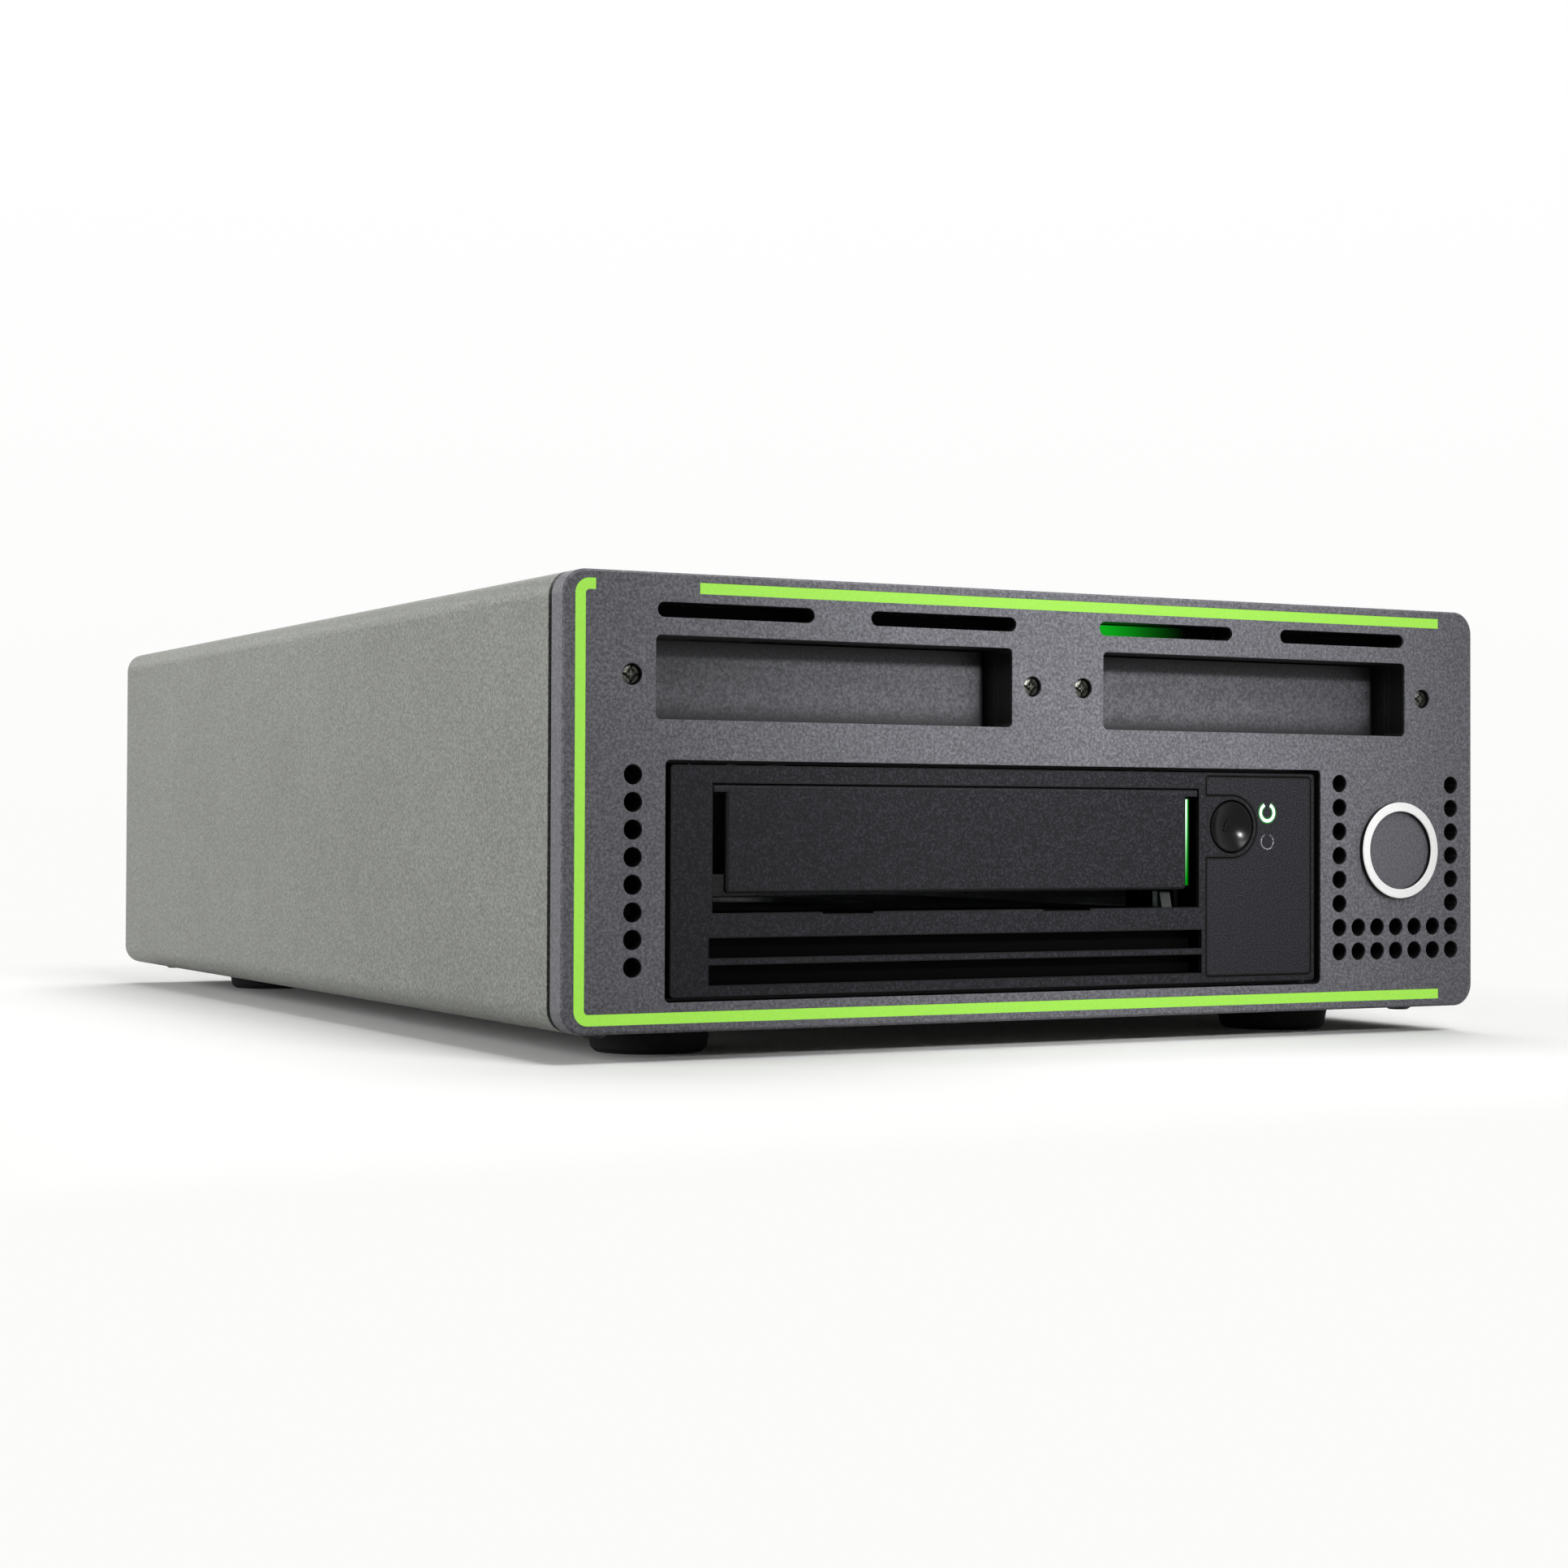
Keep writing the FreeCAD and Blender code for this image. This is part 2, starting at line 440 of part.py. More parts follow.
    ("panel_screw_side", 10.0, "sides of the case to the rear panel's own screws"),
    ("panel_screw_across", "=case_width / 2 - panel_screw_side", "middle of the case to those screws"),
    ("shelf_lip", 8.0, "lip of the interface board's shelf"),
    ("sink_in", 52.0, "left edge of the interface board to the finned sink"),
    ("sink_across", "=ports_left + sink_in", "middle of the case to the finned sink"),
    ("sink_back", 36.0, "rear panel to the finned sink"),
    ("sink_size", 24.0, "finned sink"),
    ("sink_height", 8.0, "finned sink"),
    ("sink_base", 2.0, "finned sink under its grooves"),
    ("sink_groove", 2.0, "groove of the finned sink"),
    ("usb_depth", 8.0, "small data port behind the panel's face"),
    ("display_depth", 11.2, "display port behind the panel's face"),
    ("sas_depth", 16.0, "wide data port behind the panel's face"),
    ("standoff", 3.0, "height of standoffs under boards and the supply"),
    ("standoff_radius", 2.25, "those standoffs"),
)

doc = FreeCAD.newDocument("tape_drive")
sheet = doc.addObject("Spreadsheet::Sheet", "Sheet")
for row, (alias, _, note) in enumerate(SIZES, 1):
    sheet.set(f"A{row}", alias)
    sheet.setAlias(f"B{row}", alias)
    sheet.set(f"C{row}", note)
for row, (_, size, _) in enumerate(SIZES, 1):
    sheet.set(f"B{row}", str(size))
doc.recompute()

ALIASES = re.compile(r"\b(" + "|".join(alias for alias, _, _ in SIZES) + r")\b")

# Places that several sub-parts share, as expressions of the sheet
FRONT = "((badge_proud - case_depth) / 2)"
REAR = f"({FRONT} + case_depth)"
BASE = "foot_height"
TOP = "(foot_height + case_height)"
FRAME_Y = f"({FRONT} + plate_thick)"
SLEEVE_Y = f"({FRAME_Y} + groove_gap)"
PANEL_Y = f"({REAR} - panel_recess)"
PANEL_IN = f"({PANEL_Y} - sheet_gauge)"
INSIDE_X = "(case_width / 2 - sleeve_wall - slip_fit)"
FLOOR_LOW = f"({BASE} + sleeve_wall + slip_fit)"
FLOOR = f"({FLOOR_LOW} + sheet_gauge)"
BEZEL_Y = f"({FRONT} + bezel_recess)"
BEZEL_LOW = f"({BASE} + opening_low + (opening_height - bezel_height) / 2)"
DRIVE_Y = f"({BEZEL_Y} + bezel_thick)"
DRIVE_END = f"({DRIVE_Y} + body_depth)"
DRIVE_LOW = f"({BEZEL_LOW} + (bezel_height - body_height) / 2)"
DRIVE_TOP = f"({DRIVE_LOW} + body_height)"
BAY_LOW = f"({BASE} + bay_low)"
BAY_TOP = f"({BAY_LOW} + bay_height)"
HINGE_Y = f"({BEZEL_Y} + door_sunk + door_thick / 2)"
HINGE_Z = f"({BAY_TOP} - door_gap - door_thick / 2)"


def full(expression):
    """The expression as another object has to write it."""
    return ALIASES.sub(r"Sheet.\1", expression)


def value(expression):
    """The number that an expression of the sheet gives."""
    return float(sheet.evalExpression(expression))


def bind(item, prop, expression):
    item.setExpression(prop, full(expression))


def bind_place(item, at):
    for axis, expression in zip("xyz", at):
        bind(item, f"Placement.Base.{axis}", expression)


# ---------------------------------------------------------------------------------------------
# Part primitives and booleans
# ---------------------------------------------------------------------------------------------
ALONG = {
    "x": Rotation(Vector(0, 1, 0), 90),
    "y": Rotation(Vector(1, 0, 0), -90),
    "z": Rotation(),
}


def block(name, x, y, z):
    """A box between two expressions on each axis."""
    box = doc.addObject("Part::Box", name)
    for prop, (low, high) in (("Length", x), ("Width", y), ("Height", z)):
        bind(box, prop, f"({high}) - ({low})")
    bind_place(box, (x[0], y[0], z[0]))
    return box


def rod(name, at, radius, length, along="z"):
    """A cylinder that starts at a point and runs up one axis."""
    cylinder = doc.addObject("Part::Cylinder", name)
    cylinder.Placement = Placement(Vector(), ALONG[along])
    bind(cylinder, "Radius", radius)
    bind(cylinder, "Height", length)
    bind_place(cylinder, at)
    return cylinder


def join(name, *pieces):
    fused = doc.addObject("Part::MultiFuse", name)
    fused.Shapes = list(pieces)
    fused.Refine = True
    return fused


def cut(name, base, *tools):
    result = doc.addObject("Part::Cut", name)
    result.Base = base
    result.Tool = tools[0] if len(tools) == 1 else join(name + "_tools", *tools)
    result.Refine = True
    return result


def group(name, *pieces):
    """Separate solids that share one node."""
    compound = doc.addObject("Part::Compound", name)
    compound.Links = list(pieces)
    return compound


def between(middle, width):
    return (f"{middle} - ({width}) / 2", f"{middle} + ({width}) / 2")


# ---------------------------------------------------------------------------------------------
# Bodies, sketches and features
# ---------------------------------------------------------------------------------------------
def new_body(name, at=("0", "0", "0"), along="z"):
    body = doc.addObject("PartDesign::Body", name)
    body.Placement = Placement(Vector(), ALONG[along])
    bind_place(body, at)
    return body


def new_sketch(body, name, plane, offset="0"):
    """A sketch on one of the body's own planes: XY looks along Z, XZ along -Y and YZ along X."""
    sketch = body.newObject("Sketcher::SketchObject", name)
    plane_object = [f for f in body.Origin.OriginFeatures if f.Role == plane + "_Plane"][0]
    sketch.AttachmentSupport = [(plane_object, "")]
    sketch.MapMode = "FlatFace"
    if offset != "0":
        bind(sketch, "AttachmentOffset.Base.z", offset)
    return sketch


def pin_point(sketch, geometry, position, x, y):
    """Hold a point of the sketch at two expressions."""
    for kind, expression, axis in (("DistanceX", x, -2), ("DistanceY", y, -1)):
        number = value(expression)
        if abs(number) < NEAR:
            sketch.addConstraint(Sketcher.Constraint("PointOnObject", geometry, position, axis))
        else:
            index = sketch.addConstraint(Sketcher.Constraint(kind, geometry, position, number))
            bind(sketch, f"Constraints[{index}]", expression)


def circle(sketch, x, y, radius):
    centre = Vector(value(x), value(y), 0)
    geometry = sketch.addGeometry(Part.Circle(centre, Vector(0, 0, 1), value(radius)), False)
    index = sketch.addConstraint(Sketcher.Constraint("Radius", geometry, value(radius)))
    bind(sketch, f"Constraints[{index}]", radius)
    pin_point(sketch, geometry, 3, x, y)


def outline(sketch, *corners):
    """A closed loop through corners (x, y) or (x, y, radius), all expressions."""
    points = [Vector(value(c[0]), value(c[1]), 0) for c in corners]
    rounds = [value(c[2]) if len(c) > 2 else 0.0 for c in corners]
    count = len(corners)
    starts, ends, arcs = [None] * count, [None] * count, [None] * count
    for i, (point, radius) in enumerate(zip(points, rounds)):
        back = (points[i - 1] - point).normalize()
        ahead = (points[(i + 1) % count] - point).normalize()
        if not radius:
            ends[i - 1], starts[i] = point, point
            continue
        half = back.getAngle(ahead) / 2
        reach = radius / math.tan(half)
        ends[i - 1], starts[i] = point + back * reach, point + ahead * reach
        centre = point + (back + ahead).normalize() * (radius / math.sin(half))
        left_turn = (point - points[i - 1]).cross(points[(i + 1) % count] - point).z > 0
        first, last = (ends[i - 1], starts[i]) if left_turn else (starts[i], ends[i - 1])
        angles = [math.atan2(p.y - centre.y, p.x - centre.x) for p in (first, last)]
        if angles[1] < angles[0]:
            angles[1] += 2 * math.pi
        arc = Part.ArcOfCircle(Part.Circle(centre, Vector(0, 0, 1), radius), *angles)
        arcs[i] = (sketch.addGeometry(arc, False), left_turn)
    lines = [sketch.addGeometry(Part.LineSegment(starts[i], ends[i]), False) for i in range(count)]
    for i, corner in enumerate(corners):
        if arcs[i] is None:
            sketch.addConstraint(Sketcher.Constraint("Coincident", lines[i - 1], 2, lines[i], 1))
            pin_point(sketch, lines[i], 1, corner[0], corner[1])
            continue
        arc, left_turn = arcs[i]
        near, far = (1, 2) if left_turn else (2, 1)
        apex = sketch.addGeometry(Part.Point(points[i]), True)
        pin_point(sketch, apex, 1, corner[0], corner[1])
        sketch.addConstraint(Sketcher.Constraint("PointOnObject", apex, 1, lines[i - 1]))
        sketch.addConstraint(Sketcher.Constraint("PointOnObject", apex, 1, lines[i]))
        sketch.addConstraint(Sketcher.Constraint("Tangent", lines[i - 1], 2, arc, near))
        sketch.addConstraint(Sketcher.Constraint("Tangent", arc, far, lines[i], 1))
        index = sketch.addConstraint(Sketcher.Constraint("Radius", arc, rounds[i]))
        bind(sketch, f"Constraints[{index}]", corner[2])


def stadium(sketch, x, y, width, height):
    """A slot with round ends whose middle is (x, y)."""
    reach = f"(({width}) - ({height})) / 2"
    ends = (f"{x} + {reach}", f"{x} - {reach}")
    radius = value(height) / 2
    right, left = [Vector(value(end), value(y), 0) for end in ends]
    rise, up = Vector(0, radius, 0), Vector(0, 0, 1)
    loop = (
        Part.LineSegment(left - rise, right - rise),
        Part.ArcOfCircle(Part.Circle(right, up, radius), -math.pi / 2, math.pi / 2),
        Part.LineSegment(right + rise, left + rise),
        Part.ArcOfCircle(Part.Circle(left, up, radius), math.pi / 2, 3 * math.pi / 2),
    )
    edges = [sketch.addGeometry(edge, False) for edge in loop]
    for edge, following in zip(edges, edges[1:] + edges[:1]):
        sketch.addConstraint(Sketcher.Constraint("Tangent", edge, 2, following, 1))
    sketch.addConstraint(Sketcher.Constraint("Equal", edges[1], edges[3]))
    index = sketch.addConstraint(Sketcher.Constraint("Radius", edges[1], radius))
    bind(sketch, f"Constraints[{index}]", f"({height}) / 2")
    pin_point(sketch, edges[1], 3, ends[0], y)
    pin_point(sketch, edges[3], 3, ends[1], y)


def rectangle(sketch, x, y, radius=None):
    """A rectangle between two expressions on each axis, with an optional corner radius."""
    tail = () if radius is None else (radius,)
    outline(
        sketch,
        (x[0], y[0]) + tail,
        (x[1], y[0]) + tail,
        (x[1], y[1]) + tail,
        (x[0], y[1]) + tail,
    )


def pad(body, name, sketch, length, reverse=False):
    feature = body.newObject("PartDesign::Pad", name)
    feature.Profile = sketch
    bind(feature, "Length", length)
    feature.Reversed = reverse
    return feature


def pocket(body, name, sketch, depth=None, reverse=False):
    feature = body.newObject("PartDesign::Pocket", name)
    feature.Profile = sketch
    feature.Reversed = reverse
    if depth is None:
        feature.Type = "ThroughAll"
    else:
        bind(feature, "Length", depth)
    return feature


def revolve(body, name, sketch, axis="V_Axis"):
    feature = body.newObject("PartDesign::Revolution", name)
    feature.Profile = sketch
    feature.ReferenceAxis = (sketch, [axis])
    feature.Angle = 360
    return feature


def repeat(body, name, feature, sketch, axis, step, count):
    """A row of copies of a feature along an axis of its sketch."""
    pattern = body.newObject("PartDesign::LinearPattern", name)
    pattern.Originals = [feature]
    pattern.Direction = (sketch, [axis])
    bind(pattern, "Length", f"({step}) * {count - 1}")
    pattern.Occurrences = count
    body.Tip = pattern
    return pattern


def around(body, name, feature, sketch, count):
    """Copies of a feature round the axis that is normal to its sketch."""
    pattern = body.newObject("PartDesign::PolarPattern", name)
    pattern.Originals = [feature]
    pattern.Axis = (sketch, ["N_Axis"])
    pattern.Angle = 360
    pattern.Occurrences = count
    body.Tip = pattern
    return pattern


def soften(body, name, feature, radius, wanted, kind="Fillet"):
    """Round or bevel the edges of a feature for which wanted(edge) holds."""
    doc.recompute()
    names = [f"Edge{i}" for i, edge in enumerate(feature.Shape.Edges, 1) if wanted(edge)]
    dress = body.newObject("PartDesign::" + kind, name)
    dress.Base = (feature, names)
    bind(dress, "Radius" if kind == "Fillet" else "Size", radius)
    body.Tip = dress
    return dress


def lies_on(axis, level):
    """A test for edges that lie on a plane across an axis."""
    def test(edge):
        box = edge.BoundBox
        low, high = (getattr(box, axis + "Min"), getattr(box, axis + "Max"))
        return abs(low - level) < NEAR and abs(high - level) < NEAR
    return test


PARTS = {}


def part(name, item):
    """Name a finished sub-part: the label is its node."""
    item.Label = name
    PARTS[name] = item
    return item


# ---------------------------------------------------------------------------------------------
# Enclosure
# ---------------------------------------------------------------------------------------------
HALF = "case_width / 2"
OPENING_X = between("drive_offset", "opening_width")
OPENING_Z = ("opening_low", "opening_low + opening_height")
WINDOWS_X = [between(f"{side}window_offset", "window_width") for side in ("-", "")]
WINDOW_Z = ("window_low", "window_low + window_height")
SLOTS_X = ("-slot_outer", "-slot_inner", "slot_inner", "slot_outer")
SCREW_REACH = "(window_width / 2 + bay_screw_gap)"
BAY_SCREWS_X = [f"{a}window_offset {b} {SCREW_REACH}" for a in ("-", "") for b in ("-", "+")]
VENT_TOP = f"(vent_low + vent_rise * {VENT_ROWS - 1})"
VENT_FAR = f"(vent_right + vent_pitch * {VENT_COLUMNS - 1})"


def open_front(body, grow, across, up):
    """The openings that the front plate and the frame behind it share, round the drive's own."""
    sketch = new_sketch(body, "drive_opening", "XZ")
    rectangle(sketch, across, up, "opening_round")
    pocket(body, "drive_opening_cut", sketch)
    sketch = new_sketch(body, "bay_windows", "XZ")
    for x in WINDOWS_X:
        rectangle(sketch, x, WINDOW_Z, "opening_round")
    pocket(body, "bay_window_cuts", sketch)
    sketch = new_sketch(body, "light_slots", "XZ")
    for x in SLOTS_X:
        stadium(sketch, x, "slot_level", f"(slot_width + {grow})", f"(slot_height + {grow})")
    pocket(body, "light_slot_cuts", sketch)


def front_faceplate():
    """Thick plate with rounded corners, its windows, vents and the groove for the painted line."""
    body = new_body("front_faceplate", ("0", FRONT, BASE))
    sketch = new_sketch(body, "plate_outline", "XZ")
    rectangle(sketch, (f"-{HALF}", HALF), ("0", "case_height"), "corner_round")
    plate = pad(body, "plate", sketch, "plate_thick", reverse=True)
    soften(body, "plate_edge", plate, "edge_round", lies_on("Y", 0), "Chamfer")
    open_front(body, "0", OPENING_X, OPENING_Z)
    for name, radius, depth in (("counterbores", "bay_screw_hole", "bay_screw_sunk + screw_cap"),
                                ("screw_holes", "bay_screw_shank + screw_play", None)):
        sketch = new_sketch(body, name, "XZ")
        for x in BAY_SCREWS_X:
            circle(sketch, x, "bay_screw_level", radius)
        pocket(body, f"{name}_cut", sketch, depth)

    tall = new_sketch(body, "vent_column_feet", "XZ")
    for x in ("vent_left", "vent_right", VENT_FAR):
        circle(tall, x, "vent_low", "vent_radius")
    column = pocket(body, "vent_column_start", tall)
    repeat(body, "vent_columns", column, tall, "V_Axis", "vent_rise", VENT_ROWS)
    low = new_sketch(body, "vent_row_start", "XZ")
    for i in range(1, VENT_COLUMNS - 1):
        circle(low, f"vent_right + vent_pitch * {i}", "vent_low", "vent_radius")
    row = pocket(body, "vent_row", low)
    repeat(body, "vent_rows", row, low, "V_Axis", "vent_rise", 2)

    left, right = f"stripe_side - {HALF}", "stripe_end"
    lower, upper = "stripe_edge", "case_height - stripe_edge"
    inner_round = "stripe_round - stripe_width"
    sketch = new_sketch(body, "painted_line", "XZ")
    outline(
        sketch,
        ("stripe_break", upper),
        (left, upper, "stripe_round"),
        (left, lower, "stripe_round"),
        (right, lower),
        (right, f"{lower} + stripe_width"),
        (f"{left} + stripe_width", f"{lower} + stripe_width", inner_round),
        (f"{left} + stripe_width", f"{upper} - stripe_width", inner_round),
        ("stripe_break", f"{upper} - stripe_width"),
    )
    rectangle(sketch, ("stripe_resume", right), (f"{upper} - stripe_width", upper))
    pocket(body, "painted_groove", sketch, "stripe_depth")
    sketch = new_sketch(body, "threaded_holes", "XZ", "-plate_thick")
    for x, z in PLATE_SCREWS:
        circle(sketch, x, z, "screw_shank + screw_play / 2")
    pocket(body, "threaded_hole_cuts", sketch, "plate_screw_bite", reverse=True)
    return part("front_faceplate", body)


def front_frame():
    """Steel frame behind the plate, set in from its outline so that a dark groove shows."""
    body = new_body("front_frame", ("0", FRAME_Y, BASE))
    sketch = new_sketch(body, "frame_outline", "XZ")
    x = (f"groove_depth - {HALF}", f"{HALF} - groove_depth")
    z = ("groove_depth", "case_height - groove_depth")
    rectangle(sketch, x, z, "corner_round - groove_depth")
    pad(body, "frame", sketch, "groove_gap", reverse=True)
    across = between("drive_offset", "(bezel_width + slip_fit * 2)")
    open_front(body, "frame_relief", across, (f"{BEZEL_UP[0]} - slip_fit", f"{BEZEL_UP[1]} + slip_fit"))
    sketch = new_sketch(body, "screw_holes", "XZ")
    for x in BAY_SCREWS_X:
        circle(sketch, x, "bay_screw_level", "bay_screw_shank + screw_play")
    for x, z in PLATE_SCREWS:
        circle(sketch, x, z, "screw_shank + screw_play")
    pocket(body, "screw_hole_cuts", sketch)
    sketch = new_sketch(body, "vent_windows", "XZ")
    edge = "(vent_radius + frame_relief)"
    z = (f"vent_low - {edge}", f"{VENT_TOP} + {edge}")
    rectangle(sketch, (f"vent_left - {edge}", f"vent_left + {edge}"), z)
    rectangle(sketch, (f"vent_right - {edge}", f"{VENT_FAR} + {edge}"), z)
    pocket(body, "vent_window_cuts", sketch)
    return part("front_frame", body)


PLATE_SCREWS = [(x, z) for x in (f"-{HALF} + plate_screw_side", f"{HALF} - plate_screw_side")
                for z in ("plate_screw_low", "case_height - plate_screw_low")]
FEET = [(x, y) for x in (f"foot_inset - {HALF}", f"{HALF} - foot_inset")
        for y in (f"{FRONT} + foot_inset_front", f"{REAR} - foot_inset_rear")]
CASE_SCREWS = [(x, y) for x in (f"screw_inset - {HALF}", f"{HALF} - screw_inset")
               for y in (f"{FRONT} + screw_inset", f"{REAR} - screw_inset")]


def case_sleeve():
    """Extruded tube that slides over the chassis."""
    body = new_body("case_sleeve", ("0", SLEEVE_Y, BASE))
    sketch = new_sketch(body, "tube_section", "XZ")
    rectangle(sketch, (f"-{HALF}", HALF), ("0", "case_height"), "corner_round")
    inner_x = (f"sleeve_wall - {HALF}", f"{HALF} - sleeve_wall")
    inner_z = ("sleeve_wall", "case_height - sleeve_wall")
    rectangle(sketch, inner_x, inner_z, "corner_round - sleeve_wall")
    pad(body, "tube", sketch, f"{REAR} - {SLEEVE_Y}", reverse=True)
    sketch = new_sketch(body, "underside_holes", "XY")
    for x, y in FEET + CASE_SCREWS:
        circle(sketch, x, f"{y} - {SLEEVE_Y}", "screw_shank + screw_play")
    pocket(body, "underside_hole_cuts", sketch, "sleeve_wall", reverse=True)
    return part("case_sleeve", body)


def chassis_floor():
    """Folded floor that the drive, the supply and both end panels are screwed to."""
    length = f"({PANEL_IN} - {SLEEVE_Y})"
    body = new_body("chassis_floor", ("0", SLEEVE_Y, FLOOR_LOW))
    sketch = new_sketch(body, "folded_section", "XZ")
    side, inner = INSIDE_X, f"({INSIDE_X} - sheet_gauge)"
    bend, inner_bend = "chassis_bend", "chassis_bend - sheet_gauge"
    outline(
        sketch,
        (f"-{side}", "0", bend),
        (side, "0", bend),
        (side, "chassis_lip"),
        (inner, "chassis_lip"),
        (inner, "sheet_gauge", inner_bend),
        (f"-{inner}", "sheet_gauge", inner_bend),
        (f"-{inner}", "chassis_lip"),
        (f"-{side}", "chassis_lip"),
    )
    pad(body, "floor", sketch, length, reverse=True)
    sketch = new_sketch(body, "front_tabs", "XZ")
    for sign in ("-", ""):
        middle = f"{sign}({HALF} - plate_screw_side)"
        rectangle(sketch, between(middle, "tab_width"), ("sheet_gauge / 2", "tab_height"))
    pad(body, "front_tab_plates", sketch, "sheet_gauge", reverse=True)
    sketch = new_sketch(body, "rear_flange", "XZ", f"sheet_gauge - {length}")
    rectangle(sketch, (f"slip_fit - {inner}", f"{inner} - slip_fit"), ("sheet_gauge / 2", "tab_height"))
    pad(body, "rear_flange_plate", sketch, "sheet_gauge", reverse=True)
    sketch = new_sketch(body, "flange_holes", "XZ", f"-{length}")
    for sign in ("-", ""):
        circle(sketch, f"{sign}panel_screw_across", f"plate_screw_low + {BASE} - {FLOOR_LOW}",
               "screw_shank + screw_play")
    pocket(body, "flange_hole_cuts", sketch, "sheet_gauge * 2", reverse=True)
    sketch = new_sketch(body, "tab_holes", "XZ")
    for sign in ("-", ""):
        middle = f"{sign}({HALF} - plate_screw_side)"
        circle(sketch, middle, f"plate_screw_low + {BASE} - {FLOOR_LOW}", "screw_shank + screw_play")
    pocket(body, "tab_hole_cuts", sketch, "sheet_gauge * 2")
    sketch = new_sketch(body, "floor_holes", "XY")
    for x, y in FEET + CASE_SCREWS:
        circle(sketch, x, f"{y} - {SLEEVE_Y}", "screw_shank + screw_play")
    pocket(body, "floor_hole_cuts", sketch, "sheet_gauge", reverse=True)
    return part("chassis_floor", body)


def rubber_feet():
    """Four turned rubber feet, each hollowed from below for its screw."""
    feet = []
    for i, (x, y) in enumerate(FEET):
        body = new_body(f"rubber_foot_{i}", (x, y, "0"))
        sketch = new_sketch(body, "foot_section", "XZ")
        bore, well = "screw_shank + screw_play", "screw_head + foot_well"
        outline(
            sketch,
            (bore, "foot_height"),
            (bore, "foot_height - foot_web"),
            (well, "foot_height - foot_web"),
            (well, "0"),
            ("foot_radius - foot_taper * 2", "0"),
            ("foot_radius - foot_taper", "foot_taper"),
            ("foot_radius", "foot_height"),
        )
        revolve(body, "foot", sketch)
        feet.append(body)
    return part("rubber_feet", group("feet", *feet))


def pan_screw(name, at, head, cap, shank, grip, along="z"):
    """A screw with a bevelled head: the head's flat underside is at a point, the shank runs up an axis."""
    body = new_body(name, at, along)
    sketch = new_sketch(body, "screw_section", "XZ")
    outline(
        sketch,
        ("0", f"-({cap})"),
        (f"{head} - {cap} * {SCREW_BEVEL}", f"-({cap})"),
        (head, f"-({cap}) * {SCREW_BEVEL}"),
        (head, "0"),
        (shank, "0"),
        (shank, grip),
        ("0", grip),
    )
    revolve(body, "screw", sketch)
    return body


def underside_screws():
    """Screws that hold the feet and the sleeve to the chassis floor."""
    places = [(x, y, "foot_height - foot_web") for x, y in FEET]
    places += [(x, y, BASE) for x, y in CASE_SCREWS]
    screws = [
        pan_screw(f"underside_screw_{i}", at, "screw_head", "screw_cap", "screw_shank", "screw_grip")
        for i, at in enumerate(places)
    ]
    return part("underside_screws", group("underside_screw_set", *screws))


def round_badge():
    """Blank medallion with a raised rim."""
    body = new_body("round_badge", ("badge_across", f"{FRONT} - badge_proud", f"{BASE} + badge_level"), "y")
    sketch = new_sketch(body, "badge_section", "XZ")
    outline(
        sketch,
        ("0", "badge_dish"),
        ("badge_radius - badge_rim", "badge_dish"),
        ("badge_radius - badge_rim + badge_dish / 2", "0"),
        ("badge_radius - badge_dish", "0"),
        ("badge_radius", "badge_dish"),
        ("badge_radius", "badge_proud"),
        ("0", "badge_proud"),
    )
    revolve(body, "badge", sketch)
    return part("round_badge", body)


def rear_panel():
    """Rear panel with the fan's grille and the cut-outs for the mains inlet, switch and ports."""
    body = new_body("rear_panel", ("0", PANEL_IN, BASE))
    sketch = new_sketch(body, "panel_outline", "XZ")
    edge = "(sleeve_wall + slip_fit)"
    rectangle(sketch, (f"-{INSIDE_X}", INSIDE_X), (edge, f"case_height - {edge}"), f"corner_round - {edge}")
    pad(body, "panel", sketch, "sheet_gauge", reverse=True)
    sketch = new_sketch(body, "fan_grille", "XZ")
    for i in range(-GRILLE_ROWS, GRILLE_ROWS + 1):
        half = f"sqrt(grille_radius ^ 2 - (grille_pitch * {abs(i)}) ^ 2)"
        stadium(sketch, "fan_across", f"fan_level + grille_pitch * {i}", f"2 * {half}", "grille_slot")
    for x in FAN_SCREWS_X:
        for z in FAN_SCREWS_Z:
            circle(sketch, x, z, "screw_shank + screw_play")
    for sign in ("-", ""):
        circle(sketch, f"{sign}panel_screw_across", "plate_screw_low", "screw_shank + screw_play")
    pocket(body, "fan_grille_cuts", sketch)
    sketch = new_sketch(body, "connector_windows", "XZ")
    rectangle(sketch, *window("inlet_across", "inlet_level", "inlet_width", "inlet_height"))
    rectangle(sketch, *window("switch_across", "inlet_level", "switch_width", "switch_height"))
    for x, width, height in PORTS:
        middle = f"ports_level + {height} / 2"
        rectangle(sketch, *window(x, middle, width, height))
    pocket(body, "connector_window_cuts", sketch)
    sketch = new_sketch(body, "supply_vents", "XZ")
    stadium(sketch, "supply_vent_left", "supply_vent_low", "supply_vent_width", "grille_slot")
    start = pocket(body, "supply_vent", sketch)
    repeat(body, "supply_vent_row", start, sketch, "H_Axis", "supply_vent_width + grille_slot", SUPPLY_VENTS)
    return part("rear_panel", body)


def window(x, z, width, height):
    """A panel window that clears what stands in it."""
    return between(x, f"({width} + slip_fit * 2)"), between(z, f"({height} + slip_fit * 2)")


FAN_SCREWS_X = between("fan_across", "fan_hole_pitch")
FAN_SCREWS_Z = between("fan_level", "fan_hole_pitch")
PORTS = (
    ("usb_across", "usb_width", "usb_height"),
    ("(usb_across + usb_pitch)", "usb_width", "usb_height"),
    ("display_across", "display_width", "display_height"),
    ("sas_across", "sas_width", "sas_height"),
)


